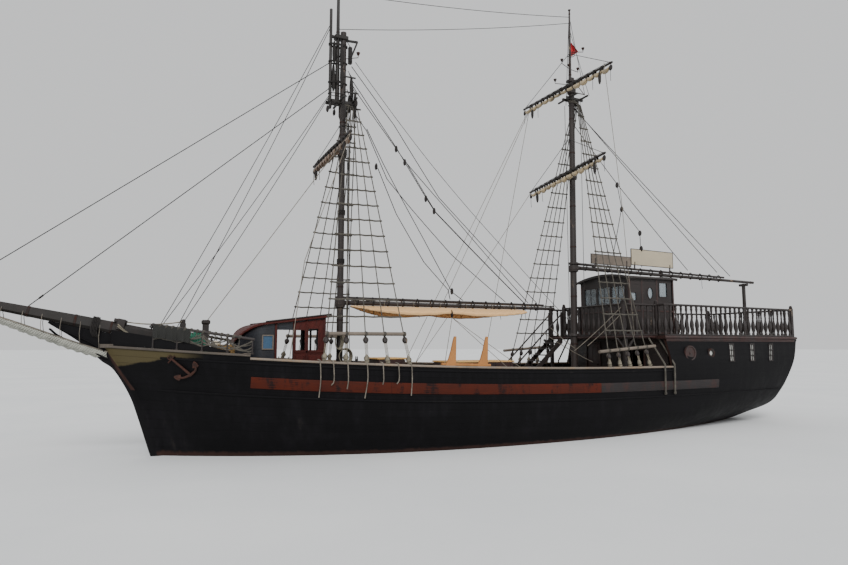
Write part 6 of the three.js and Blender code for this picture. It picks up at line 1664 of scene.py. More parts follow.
def make_masts(sizes):
    """Fore mast with its topmast and trestle-trees, and the raking main mast with its pole."""
    foot = sheered(6.32) + 0.0006
    z = np.linspace(foot, 12.65, 30)
    fore = [tube(stacked(FORE_X, 0.0, z), 0.1 - 0.012 * (z - foot) / (12.65 - foot), 28, AHEAD)]
    for top, r in ((FORE_BOOM_Z, 0.1), (FORE_YARD_Z, 0.092)):
        fore.append(bolster(FORE_X, top, r))
    coat = [(0.16, 0), (0.16, 0.05), (0.13, 0.11), (0.105, 0.13)]
    fore.append(turned(coat, (FORE_X, 0, foot + 0.002), UP, 28))
    built("fore_mast_spar", fore, "oiled_spruce", replaces=["fore_mast"])
    rod_x = TOP_X + 0.23
    upper = [
        tube([(TOP_X, 0, 10.28), (TOP_X, 0, 13), (TOP_X, 0, 15.88), (TOP_X, 0, 15.9)],
             [0.068, 0.052, 0.034, 0.02], 20),
        tube([(rod_x, 0, 10.37), (rod_x, 0, 13.33), (rod_x, 0, 13.35)], [0.05, 0.045, 0.02], 14),
        timber((FORE_X - 0.13, 0, 12.45), (TOP_X + 0.11, 0, 12.45), 0.25, 0.12, cut=0.015),
        timber((TOP_X, 0, 12.45), (TOP_X + 0.27, 0, 12.45), 0.08, 0.08, cut=0.01),
    ]
    cheek = np.array([(-0.1, 10.29), (0.1, 10.29), (0.1, 9.95), (0.02, 9.75), (-0.08, 9.95)]) + (FORE_X, 0)
    for side in BOTH:
        upper.append(trestle(FORE_X - 0.42, TOP_X + 0.33, 10.34, side))
        upper.append(plate(cheek, *sorted((side * 0.085, side * 0.125))))
    for x, half, z in ((TOP_X - 0.057, TREE_HALF, 10.37), (FORE_X - 0.27, TREE_HALF, 10.37),
                       (TOP_X + 0.05, 0.16, 10.33), (rod_x, 0.15, 10.33)):
        upper.append(crosstree(x, z, half))
    built("fore_topmast_spar", upper, "tarred_spruce", replaces=["fore_topmast"])
    foot = DECK + 0.0024
    z = np.linspace(foot, 12.8, 30)
    main_spar = [
        tube(stacked(0.0, 0.0, z), 0.125 - 0.024 * (z - foot) / (12.8 - foot), 28, AHEAD),
        tube([(0.06, 0, 12.46), (0.06, 0, 15.48), (0.06, 0, 15.5)], [0.058, 0.03, 0.018], 20),
    ]
    for top, r in ((MAIN_BOOM_Z, 0.125), (LOWER_YARD_Z, 0.115), (UPPER_YARD_Z, 0.109)):
        main_spar.append(bolster(0, top, r))
    coat = [(0.175, 0), (0.175, 0.03), (0.145, 0.08), (0.12, 0.1)]
    main_spar += [
        timber((-0.13, 0, 12.68), (0.17, 0, 12.68), 0.24, 0.1, cut=0.015),
        turned(coat, (0, 0, QUARTERDECK + 0.003), UP, 28),
    ]
    built("main_mast_spar", rigged(main_spar), "oiled_spruce", replaces=["main_mast"])
    trees = [trestle(-0.42, 0.33, 11.97, side) for side in BOTH]
    trees += [crosstree(x, 11.99) for x in (-0.3, 0.18)]
    built("main_crosstree_timbers", rigged(trees), "tarred_spruce", replaces=["main_crosstrees"])
    bands = [ring_band(FORE_X, 0, h, h + 0.05, 0.1 - 0.012 * (h - 1.4) / 11.2)
             for h in (1.75, 3.6, 4.6, 6.2, 7.6, 9.3, 9.7, 11.4, 12.2)]
    bands += [ring_band(TOP_X, 0, h, h + 0.04, 0.068 - 0.0061 * (h - 10.3), 0.006, 16)
              for h in (10.6, 12.6, 14.2, 15.6)]
    bands += rigged([ring_band(0, 0, h, h + 0.05, 0.125 - 0.024 * (h - 1.2) / 11.6)
                     for h in (2.9, 4.6, 6.4, 7.9, 9.9, 11.2, 12.5)])
    bands += rigged([ring_band(0.06, 0, h, h + 0.04, 0.058 - 0.0093 * (h - 12.5), 0.006, 16)
                     for h in (12.9, 14.4, 15.3)])
    built("mast_bands", bands, "wrought_iron")
    make_masthead()


def make_masthead():
    """Lashings and hanging ropes of the fore masthead, and the brackets abaft it."""
    lashings = [wound((FORE_X, 0, h), 0.112, 0.011, 6, UP) for h in (5.4, 6.9)]
    ring = circle(28)
    for low, turns in ((10.6, 1), (10.95, 2), (11.62, 2), (12.16, 3)):
        for turn in range(turns):
            loop = stacked(FORE_X + 0.175 + 0.3 * ring[:, 0], 0.12 * ring[:, 1], low + 0.022 * turn)
            lashings.append(rope(loop, 0.012, looped=True))
    hank = np.array([
        (0.012, 0.0), (0.034, -0.08), (0.055, -0.3), (0.06, -0.55), (0.045, -0.85), (0.014, -1.0)])
    for x, y, top, long in (
            (6.53, 0.04, 12.3, 0.75), (6.52, -0.05, 11.6, 0.9), (6.53, 0.05, 11.3, 0.6),
            (6.31, 0.1, 12.3, 0.9), (6.3, 0.11, 11.5, 0.7), (6.02, 0.08, 12.2, 0.5),
            (5.97, 0.06, 11.25, 0.7), (5.9, -0.1, 11.2, 0.8), (5.86, 0.12, 10.75, 0.9),
            (5.98, -0.1, 10.7, 0.6)):
        lashings += [
            turned(hank * (1, long), (x, y, top), UP, 10),
            tube([(x, y, top - 0.02), (min(x + 0.1, FORE_X + 0.1), 0.5 * y, top + 0.16)], 0.012, 6, ABEAM),
        ]
    built("mast_lashings", lashings, "tarred_hemp")
    bracket = [
        timber((FORE_X, 0, 12.4), (FORE_X - 0.47, 0, 12.43), 0.06, 0.07, cut=0.01),
        timber((FORE_X - 0.45, 0, 12.42), (FORE_X - 0.22, 0, 11.8), 0.05, 0.06, ABEAM, 0.01),
        timber((FORE_X - 0.22, 0, 12.22), (FORE_X - 0.22, 0, 11.66), 0.11, 0.12, AHEAD, 0.02),
    ]
    for high, aft in ((11.19, 0.38), (10.7, 0.48), (10.2, 0.56)):
        bracket.append(timber((FORE_X, 0.1, high), (FORE_X - aft, 0.1, high), 0.035, 0.045, cut=0.006))
    built("masthead_bracket", bracket, "tarred_spruce")


FORE_FEET = (7.38, 6.84, 6.29, 5.73, 5.13)
MAIN_FEET = (-1.6, -2.02, -2.43, -2.85, -3.29)


def shroud_lines(side, feet, head, fan):
    """Foot and head of every shroud of one side, forward to aft."""
    lines = []
    for i, x in enumerate(feet):
        foot = np.array([x, side * (beam(x, BULWARK_TOP) - 0.005), sheered(x, CAP_HIGH)])
        top = np.array([head[0] - fan * i, side * 0.1, head[1] - 0.02 * i])
        lines.append((foot, top))
    return lines


def at_height(line, z):
    """Point of a line at a height."""
    foot, top = line
    return foot + (top - foot) * (z - foot[2]) / (top[2] - foot[2])


def make_shrouds(sizes):
    """Four sets of shrouds: ropes over the masthead, deadeyes under a thick sheer pole, lanyards down
    to rope knots on the cap, and ratlines seized to every shroud."""
    main_head = MAIN_X - RAKE * 12.0
    main_head_x = main_head - 0.17
    # mast, feet, head, fan, heights of the pole's two ends, its overhang, top ratline, pitch, mast's place
    sets = (("fore", FORE_FEET, (FORE_X - 0.15, 10.28), 0.075, (3.17, 3.17), 0.05, 10.1, sizes.fore_pitch,
             FORE_X), ("main", MAIN_FEET, (main_head_x, 11.85), 0.04, (2.7, 2.82), 0.4, 11.6,
                       sizes.main_pitch, main_head))
    # radii and heights of a deadeye, of the knot under it and of a ratline's hitch
    heart = [(0.012, 0.12), (0.035, 0.08), (0.06, 0.02), (0.07, -0.03), (0.05, -0.08), (0.015, -0.1)]
    knot = [(0.02, -0.07), (0.055, -0.05), (0.06, 0.0), (0.045, 0.07), (0.015, 0.11)]
    seized = [(0.012, -0.03), (0.026, -0.022), (0.026, 0.022), (0.012, 0.03)]
    for mast, feet, head, fan, pole_z, over, top_z, pitch, centre in sets:
        for side, name in SIDES:
            lines = shroud_lines(side, feet, head, fan)
            ropes, woods, slats, knots = [], [], [], []
            poles = np.array([
                at_height(line, z) for line, z in zip(lines, np.linspace(*pole_z, len(lines)))])
            for i, line in enumerate(lines):
                way = unit(line[1] - line[0])
                upper, lower = at_height(line, poles[i][2] - 0.16), line[0] + way * 0.12
                ropes += [
                    tube([upper + way * 0.06, at_height(line, poles[i][2] + 2), line[1]],
                         sizes.shroud_radius, 8, AHEAD, lay=True),
                    wound(upper + way * 0.17, 0.02, 0.007, 7, way, 8),
                ]
                woods.append(turned(heart, upper, way, 14))
                knots.append(turned(knot, lower, way, 12))
                for place in (upper, lower):
                    ropes.append(tube([place + (0.07 * a, 0.0, 0.07 * b) for a, b in circle(14)], 0.012, 6,
                                      ABEAM, looped=True))
                ropes.append(tube([lower - way * 0.07, line[0] - (0, 0, 0.02)], 0.014, 8, AHEAD))
                for shift_x in (-0.032, 0.0, 0.032):
                    knots.append(rope([upper + (shift_x, side * 0.02, -0.02),
                                       lower + (shift_x, side * 0.02, 0.02)], 0.008, AHEAD))
                knots.append(wound(line[0] + (0, 0, 0.03), 0.05, 0.014, 2, UP, 10))
                loop_y, loop_z = 0.125, line[1][2]
                if side == PORT:
                    middle = (line[1][0] + centre + 0.11) / 2
                    reach = (centre + 0.11 - line[1][0]) / 2 + 0.012
                    ropes.append(rope([(middle + reach * a, loop_y * b, loop_z + 0.03 * a + 0.05)
                                       for a, b in circle(24)], 0.016, looped=True))
            way = unit(poles[0] - poles[-1])
            outer = poles + (0, side * 0.045, 0)
            bar = tube([outer[0] + way * over, *outer, outer[-1] - way * over], 0.05, 12)
            built(f"sheer_pole_{mast}_{name}", [bar], "greyed_spruce")
            seizing = wound((0, 0, 0), 0.058, 0.008, 4, way, 8)
            ropes.append(seizing.copies(shift(*outer)))
            heights = np.arange(max(pole_z) + pitch, top_z, pitch)
            crossings = []
            for z in heights:
                points = [at_height(line, z) for line in lines]
                width = points[0] - points[-1]
                lap = unit(width) * min(0.045, 0.12 * np.linalg.norm(width))
                path = [points[0] + lap]
                for a, b in zip(points, points[1:]):
                    path += [a, (a + b) / 2 - (0, 0, 0.014)]
                path += [points[-1], points[-1] - lap]
                slats.append(rope(path, sizes.ratline_radius))
                crossings += points
            hitch = turned(seized, (0, 0, 0), (0, 0.15 * side, 1), 6)
            ropes.append(hitch.copies(shift(*crossings)))
            built(f"shrouds_{mast}_{name}", ropes, "weathered_manila", replaces=[f"{mast}_shrouds_{name}"])
            built(f"ratlines_{mast}_{name}", slats, "weathered_manila")
            built(f"deadeyes_{mast}_{name}", woods, "dark_stained_pine")
            built(f"lanyards_{mast}_{name}", knots, "pale_rope")


def line_through(points, radius, sag=0.0, sides=6):
    """Rope through points, each stretch hanging by a share of its length."""
    points = np.asarray(points, float)
    path = [points[:1]]
    for a, b in zip(points, points[1:]):
        path.append(slack(a, b, sag * np.linalg.norm(b - a), 10 if sag else 2)[1:])
    return tube(np.concatenate(path), radius, sides, (0.3, 1, 0.2), lay=True)


# Fixed lines of the running rigging, each by the points that it goes through
HALYARDS = ([(TOP_X + 0.26, 0, 12.8), (11.18, -0.12, 3.42)], [(TOP_X + 0.26, 0, 12.7), (10.78, 0.25, 3.36)],
            [(TOP_X + 0.28, 0, 10.5), (11.12, 0.12, 3.44)],
            [(TOP_X + 0.28, 0, 10.45), (10.69, -0.25, 3.34)],
            [(TOP_X + 0.02, 0.04, 13.9), (MAIN_X - 0.18, 0.0, 15.2)],
            [(TOP_X - 0.05, 0.03, 12.72), (MAIN_X - 0.17, 0.0, 14.96)],
            [(TOP_X, 0.06, 15.7), (TOP_X + 0.02, 0.16, 10.36)],
            [(TOP_X, -0.06, 15.7), (TOP_X + 0.02, -0.16, 10.36)],
            [(FORE_X - 0.16, 0.1, 10.3), (FORE_X - 0.28, 0.12, 2.0)],
            [(FORE_X - 0.18, -0.1, 10.3), (FORE_X - 0.3, -0.12, 2.0)],
            [(MAIN_X - 0.22, 0.45, 11.9), (MAIN_X - 0.2, 0.42, 3.3)],
            [(MAIN_X - 0.22, -0.45, 11.9), (MAIN_X - 0.2, -0.42, 3.3)],
            [(-2.62, 0.05, 15.0), (-2.8, 0.55, 11.98)], [(-2.62, -0.05, 15.0), (-2.8, -0.55, 11.98)],
            [(-2.62, 0.03, 14.6), (-3.0, 0.55, 11.98)], [(-2.62, -0.03, 14.6), (-3.0, -0.55, 11.98)],
            [(5.82, 0, 11.76), (3.23, 0, 8.85), (0.65, 0, 6.39), (-2.29, 0, 3.75)],
            [(FORE_X - 0.05, 0.09, 9.9), (FORE_X - 0.17, 0.12, 9.6), (FORE_X - 0.17, 0.12, 4.85),
             (FORE_X - 0.08, 0.06, 4.7)])

# Lifts of each boom by the points that they go through, and the places of their blocks
LIFTS = {
    "fore_boom": (
        [
            [(6.0, 0, 11.25), (5.62, 0, 10.76), (4.42, 0, 9.19), (3.37, 0, 7.66), (3.07, 0, 7.26),
             (-0.37, 0, 4.34)],
            [(6.0, 0.02, 11.1), (5.75, 0.02, 10.74), (4.09, 0.02, 8.74), (2.22, 0.02, 6.96),
             (-0.52, 0.02, 4.34)],
            [(4.09, 0.04, 8.74), (3.0, 0.04, 7.15), (-0.3, 0.04, 4.36)],
            [(5.95, 0, 11.6), (4.49, 0, 9.91), (2.9, 0, 7.71), (-0.9, 0, 4.34)],
            [(5.95, 0, 10.25), (5.43, 0, 9.59), (4.73, 0, 8.12), (3.89, 0, 7.24), (2.43, 0, 5.83),
             (0.38, 0, 4.34)],
            [(5.43, 0.02, 9.65), (4.86, 0.02, 8.58), (4.22, 0.02, 7.51), (3.44, 0.02, 6.25),
             (2.44, 0.02, 4.61), (2.03, 0.02, 4.34)],
            [(5.05, 0.01, 8.44), (4.41, 0.01, 7.02), (3.44, 0.01, 5.53), (2.57, 0.01, 4.67),
             (2.5, 0.01, 4.36)],
        ],
        [(4.42, 0, 9.26), (4.12, 0, 8.86), (3.37, 0, 7.74), (3.07, 0, 7.36), (2.44, 0.02, 4.75),
         (5.1, 0, 8.6)],
    ),
    "main_boom": (
        [
            [(-2.72, 0, 11.7), (-9.84, 0, 5.86)],
            [(-2.72, 0, 11.66), (-10.6, 0, 5.74)],
            [(-2.72, 0, 11.0), (-4.69, 0, 9.0), (-4.88, 0, 8.09), (-5.75, 0, 7.23), (-5.79, 0, 5.86)],
            [(-4.69, 0, 9.0), (-8.2, 0, 5.86)],
            [(-4.88, 0, 8.09), (-4.3, 0, 5.88)],
        ],
        [(-4.69, 0, 9.08), (-4.88, 0, 8.16), (-5.75, 0, 7.3), (-5.79, 0, 6.7)],
    ),
}

BRACES = (
    # yard, name, foot, start of the stretch that follows the yard, place on the yard
    ("fore_yard", "brace", (10.04, 0.05, 3.5), (9.0, 0.61, 5.08), (FORE_X + YARD_AHEAD, 1.92, 8.78)),
    ("fore_yard", "sheet", (8.3, 2.55, 2.55), (7.96, 2.5, 5.0), (FORE_X + YARD_AHEAD, 1.92, 8.78)),
    ("main_upper_yard", "brace_1", (2.95, -2.74, 2.22), (0.33, -2.58, 7.2), (-2.36, -2.42, 12.32)),
    ("main_upper_yard", "brace_2", (2.5, -2.74, 2.22), (0.08, -2.56, 7.2), (-2.36, -2.36, 12.3)),
    ("main_upper_yard", "brace_3", (-0.35, -2.74, 2.22), (-1.34, -2.56, 7.2), (-2.36, -2.36, 12.3)),
    ("main_upper_yard", "brace_4", (-3.3, 2.12, 3.2), (-2.8, 2.26, 7.7), (-2.1, 2.4, 12.3)),
    ("main_lower_yard", "brace_1", (2.5, -2.74, 2.22), (0.08, -2.5, 5.5), (-2.32, -2.28, 8.92)),
)


def make_rigging(sizes):
    """Stays, halyards, lifts and braces, with their blocks: those that reach a boom ride on it."""
    r = sizes.line_radius
    for name, head, distance in (("outer_stay", 11.75, 5.25), ("inner_stay", 10.95, 3.56)):
        foot = on_sprit(distance, float(sprit_half(distance)) + 0.01)
        start = np.array([TOP_X + 0.045, 0, head])
        way = unit(foot - start)
        stay = [tube([start, (start + foot) / 2, foot], sizes.stay_radius, 8, ABEAM, lay=True)]
        for place in (start + way * 0.25, foot - way * 0.35):
            stay.append(wound(place, 0.018, 0.007, 9, way, 8))
        eye = [(TOP_X + 0.02 + a * 0.9, b * 0.9, head + 0.06 - 0.3 * a) for a, b in circle(14, 0.1)]
        stay.append(rope(eye, 0.012, looped=True))
        built(f"{name}_rope", stay, "tarred_hemp", replaces=[name])
    built("halyards", [line_through(route, r, 0.012) for route in HALYARDS], "tarred_hemp")
    places = [(FORE_X - 0.28, 0.12, 2.2), (FORE_X - 0.3, -0.12, 2.2)]
    for x, half, z in (
            (TOP_X + 0.26, 0.14, 10.28), (FORE_X - 0.27, 0.5, 10.34), (TOP_X - 0.06, 0.5, 10.34)):
        places += [(x, half, z), (x, -half, z)]
    hang_blocks("masthead", places, 0.15)
    for body, (routes, blocks) in LIFTS.items():
        ropes = [line_through(route, 1.35 * r, 0.004) for route in routes]
        built(f"{body}_lifts", ropes, "tarred_hemp", body)
        hang_blocks(body, blocks, 0.15, body)
    for body, name, foot, middle, tip in BRACES:
        line = built(f"{body}_{name}", [line_through([foot, middle, tip], r)], "grey_manila", None)
        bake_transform(line)


def boom_patches(x, z, length, gaff_length, radius):
    """Boom and gaff of one pair, with collars round the mast, chocks between them and lashings."""
    near, top = x - radius - 0.018, z + GAFF_LIFT
    share = np.linspace(0, 1, 16)
    boom_x, gaff_x = near + (x - length - near) * share, near + (x - gaff_length - near) * share
    boom_line, gaff_line = stacked(boom_x, 0.0, z), stacked(gaff_x, 0.0, top + 0.02 - 0.032 * share)
    boom = [collar(x, z - 0.075, radius), tube(boom_line, np.linspace(0.07, 0.052, 16), 18)]
    gaff = [collar(x, top - 0.01, radius, 0.07), tube(gaff_line, np.linspace(0.046, 0.038, 16), 18)]
    for share in (0.12, 0.55, 0.93):
        middle = x - gaff_length * share
        gaff.append(box((middle - 0.06, -0.04, z + 0.066), (middle + 0.06, 0.04, top)))
    bands, ropes = [], []
    for share in (0.004, 0.3, 0.68, 0.985):
        place = x - 0.2 - (length - 0.25) * share
        r = boom_radius(x - place, length)
        bands.append(turned(band_profile(r, 0.05), (place, 0, z), (-1, 0, 0), 18))
    for place in np.linspace(x - 0.55, x - gaff_length + 0.3, 14):
        a = around(16)
        loop = stacked(place + 0.012 * np.sin(3 * a), 0.078 * np.sin(a), z + 0.055 + 0.135 * np.cos(a))
        ropes += [
            rope(loop, 0.011, AHEAD, looped=True), rope(loop + (0.024, 0, 0), 0.011, AHEAD, looped=True)]
        if int(place * 10) % 3 == 0:
            tail = [(place, 0.07, z - 0.04), (place + 0.01, 0.085, z - 0.3), (place - 0.02, 0.08, z - 0.42)]
            ropes.append(line_through(tail, 0.008))
    return boom, gaff, bands, ropes


def make_booms(sizes):
    """Both boom and gaff pairs, and the blank boards on the main gaff."""
    for name, frame, place in (("fore", Matrix.Identity(4), (FORE_X, FORE_BOOM_Z, 7.85, 7.4, 0.1)),
                               ("main", RIG, (0.0, MAIN_BOOM_Z, 9.45, 7.7, 0.125))):
        boom, gaff, bands, ropes = (rigged(patches, frame) for patches in boom_patches(*place))
        body = f"{name}_boom"
        built(f"{name}_boom_spar", boom, "oiled_spruce", body, [f"{name}_boom"])
        built(f"{name}_gaff_spar", gaff, "oiled_spruce", body, [f"{name}_gaff"])
        if name == "fore":
            level = place[1] + 0.078
            batten = box((place[0] - place[3] + 0.1, -0.03, level - 0.006),
                         (place[0] - 0.35, 0.03, level + 0.006), 0.003)
            built("fore_batten", [batten], "silvered_iroko", body)
        built(f"{name}_boom_bands", bands, "wrought_iron", body)
        built(f"{name}_boom_lashings", ropes, "tarred_hemp", body)
    top = MAIN_BOOM_Z + GAFF_LIFT
    boards, frames = [], []
    for aft, fore, low, high in ((-2.72, -0.8, 0.08, 0.46), (-4.87, -2.719, 0.17, 0.8)):
        boards.append(box(
            (aft + 0.02, -0.013, top + low + 0.02), (fore - 0.02, 0.013, top + high - 0.02), 0.003))
        outline = rect(aft + 0.02, fore - 0.02, top + low + 0.02, top + high - 0.02)
        frames.append(hoop(outline, 0.02, -0.018, 0.018))
    for x in (-1.0, -2.5, -2.9, -4.7):
        frames.append(box((x - 0.022, -0.022, top + 0.045), (x + 0.022, 0.022, top + 0.3), 0.005))
    built("fore_board", rigged(boards[:1]), "greyed_spruce", "main_boom")
    built("aft_board", rigged(boards[1:]), "cream_painted_ply", "main_boom", ["sign_boards"])
    built("board_frames", rigged(frames), "dark_stained_pine", "main_boom")
    crutch_x = -11.385
    crutch_top = MAIN_BOOM_Z - (MAIN_X - crutch_x) * RAKE - 0.072
    parts = [post((crutch_x, 0), QUARTERDECK + 0.002, crutch_top, 0.11, 0.012),
             timber((crutch_x, -0.19, crutch_top - 0.06), (crutch_x, 0.19, crutch_top - 0.06), 0.12, 0.1,
                    cut=0.012)]
    built("crutch_timbers", parts, "dark_stained_pine", replaces=["boom_crutch"])


def yard_frame(x, z, yaw, cock, base):
    """Frame of a yard: at its place on the mast, turned by its yaw and cocked."""
    turn = Matrix.Rotation(-yaw, 4, "Z")
    return base @ Matrix.Translation((x, 0, z)) @ turn @ Matrix.Rotation(cock, 4, "X")


YARDS = (
    # name, sail, mast place, height, half-length, mast radius, yaw, cock, frame
    ("fore_yard", "fore_furled_sail", FORE_X, FORE_YARD_Z, 1.97, 0.092, 0.0, 0.0, Matrix.Identity(4)),
    ("main_lower_yard", "main_lower_sail", 0.0, LOWER_YARD_Z, 2.35, 0.115, 0.05, 0.06, RIG),
    ("main_upper_yard", "main_upper_sail", 0.0, UPPER_YARD_Z, 2.45, 0.109, -0.05, 0.0, RIG),
)


def make_yards(sizes):
    """Three yards on their trusses, with bands, jackstays, lifts and hanging blocks."""
    for name, _, x, z, half, radius, yaw, cock, base in YARDS:
        frame = yard_frame(x, z, yaw, cock, base)
        y = np.linspace(-half, half, 24)
        yard = [tube(stacked(YARD_AHEAD, y, 0.0), yard_radius(y, half), 16),
                tube([(radius + 0.018, 0, 0), (YARD_AHEAD, 0, 0)], 0.038, 14)]
        truss = rigged([collar(0, -0.075, radius)], base @ Matrix.Translation((x, 0, z)))
        built(f"{name}_spar", [*rigged(yard, frame), *truss], "tarred_spruce", name, [name])
        iron = []
        for place in (-half + 0.06, -half * 0.5, -0.09, 0.09, half * 0.5, half - 0.06):
            r = yard_radius(place, half)
            band_rows = [(r, -0.02), (r + 0.007, -0.016), (r + 0.007, 0.016), (r, 0.02)]
            iron.append(turned(band_rows, (YARD_AHEAD, place, 0), ABEAM))
        rise, reach = (0.8, 0.112) if name == "fore_yard" else (1.35, 0.13)
        grommet = [(reach * a, reach * b, rise) for a, b in circle(24)]
        lines, places = [rope(grommet, 0.012, looped=True)], []
        for side in BOTH:
            jackstay = [(YARD_AHEAD, side * 0.12, 0.085), (YARD_AHEAD, side * (half - 0.12), 0.062)]
            iron.append(tube(jackstay, 0.008))
            for share in np.linspace(0.08, 0.94, 7):
                y = side * half * share
                eye = [(YARD_AHEAD, y, 0.03), (YARD_AHEAD, y, 0.086 - 0.022 * share)]
                iron.append(tube(eye, 0.007, 6, AHEAD))
            tip = (YARD_AHEAD, side * (half - 0.1), 0.03)
            lines.append(line_through([tip, (0.8 * reach, side * 0.6 * reach, rise)], sizes.line_radius))
            for share in (0.3, 0.62, 0.97):
                y = side * half * share
                places.append((YARD_AHEAD, y, -0.05))
                if share > 0.5:
                    tail = [places[-1], (YARD_AHEAD + 0.02, y + 0.01, -0.42),
                            (YARD_AHEAD - 0.01, y - 0.02, -0.62)]
                    lines.append(line_through(tail, 0.008))
        built(f"{name}_iron", rigged(iron, frame), "wrought_iron", name)
        built(f"{name}_lines", rigged(lines, frame), "tarred_hemp", name)
        hang_blocks(name, places, 0.14, name, frame)


# Cloth, nets and deck gear
AWNING_START, AWNING_END = 0.33, 6.35
AWNING = np.array([
    # aft of the mast, half-width, drop of the edge
    [AWNING_START, 0.06, 0.06],
    [0.9, 0.42, 0.19],
    [1.8, 0.8, 0.29],
    [3.2, 0.9, 0.32],
    [4.7, 0.88, 0.3],
    [6.0, 0.64, 0.24],
    [AWNING_END, 0.56, 0.2],
])
BOW_NET = np.array([
    # place along the ship, upper edge, bottom, half-width
    [12.42, 2.7, 2.48, 0.09],
    [13.1, 2.93, 2.7, 0.19],
    [13.76, 3.17, 2.96, 0.26],
    [14.4, 3.41, 3.22, 0.29],
    [15.1, 3.66, 3.52, 0.23],
    [15.7, 3.86, 3.78, 0.12],
])
SAIL_DROP, SAIL_THICK, GATHERS = 0.1653, 0.105, 13


def bundle_radius(share):
    """Radius of a furled sail along its yard: a half-ellipse on a stub, from the middle to the ends."""
    return SAIL_THICK * (0.55 + 0.45 * np.sqrt(np.clip(1 - share**2, 0, 1)))


def furled(half, seed, bare=False):
    """Furled sail: a spiral of two turns whose radius swells between gaskets, with folds that run
    along it and a belly of its own size in each gather, or hardly any beside the mast."""
    share = np.linspace(-1, 1, GATHERS * 12 + 1)[:, None]
    angle = np.linspace(0, 2.1 * math.tau, 78)[None]
    lobe = np.abs(np.sin(math.pi * GATHERS * (share + 1) / 2)) ** 0.7
    source = np.random.default_rng(seed)
    random, bellies = source.uniform(0, math.tau, 4), source.uniform(0.3, 1.05, GATHERS)
    if bare:
        bellies[GATHERS // 2 - 1:GATHERS // 2 + 2] = 0.12
    uneven = bellies[np.minimum((GATHERS * (share + 1) / 2).astype(int), GATHERS - 1)]
    folds = 0.05 * np.sin(6 * angle + 3 * share + random[0])
    folds = folds + 0.04 * np.sin(11 * angle - 8 * share + random[1])
    growth = 0.42 + 0.58 * np.clip(angle / (1.25 * math.tau), 0, 1)
    radius = bundle_radius(share) * (0.45 + 0.57 * lobe * uneven) * (growth + lobe * folds)
    swing = angle + 0.9
    x = YARD_AHEAD + 0.01 + radius * np.cos(swing) * 0.88
    z = -SAIL_DROP + 0.035 * (1 - lobe) + radius * np.sin(swing) - 0.045 * lobe * uneven
    y = share * (half - 0.13) + 0.02 * np.sin(3 * angle + random[2]) * lobe
    return grid(stacked(x, y, z))


def make_sails(sizes):
    """Three furled sails under their yards, each gathered by gaskets that go round yard and sail."""
    hank = [(0.012, 0.0), (0.03, -0.08), (0.055, -0.2), (0.05, -0.36), (0.03, -0.44), (0.008, -0.47)]
    for i, (name, sail, x, z, half, _, yaw, cock, base) in enumerate(YARDS):
        frame = yard_frame(x, z, yaw, cock, base)
        cloth = rigged([furled(half, i, name == "main_upper_yard")], frame)
        finish = "tanned_canvas" if i == 0 else "flax_canvas"
        piece = built(sail.replace("furled_", "") + "_cloth", cloth, finish, name, [sail], sharp=80)
        ties = []
        for share in np.linspace(-1, 1, GATHERS + 1)[1:-1]:
            y = share * (half - 0.13)
            spar, bundle = yard_radius(y, half), float(bundle_radius(share)) * 0.5
            low, wide = -SAIL_DROP + 0.03 - bundle - 0.006, max(spar, bundle) + 0.008
            middle, tall = (low + spar + 0.01) / 2, (spar + 0.01 - low) / 2
            a = around(18)
            for step in (-0.036, -0.012, 0.012, 0.036):
                loop = stacked(YARD_AHEAD + wide * np.cos(a), y + step, middle + tall * np.sin(a))
                ties.append(rope(loop, 0.0125, ABEAM, looped=True))
            if i == 0:
                drop, edge = 0.22 + 0.1 * math.sin(7 * share), YARD_AHEAD + wide
                tail = [(edge, y, middle), (edge + 0.02, y + 0.01, middle - 0.5 * drop - 0.06),
                        (edge + 0.01, y - 0.01, middle - drop - 0.12)]
                ties.append(line_through(tail, 0.009))
        for share in (-0.74, 0.78):
            y = share * half
            ties += [turned(hank, (0.42, y, -0.12), UP, 12).outward(),
                     tube([(0.42, y, -0.13), (0.39, y, -0.02)], 0.012, 6, AHEAD)]
        built(f"{name}_gaskets", rigged(ties, frame), "tarred_hemp", name)


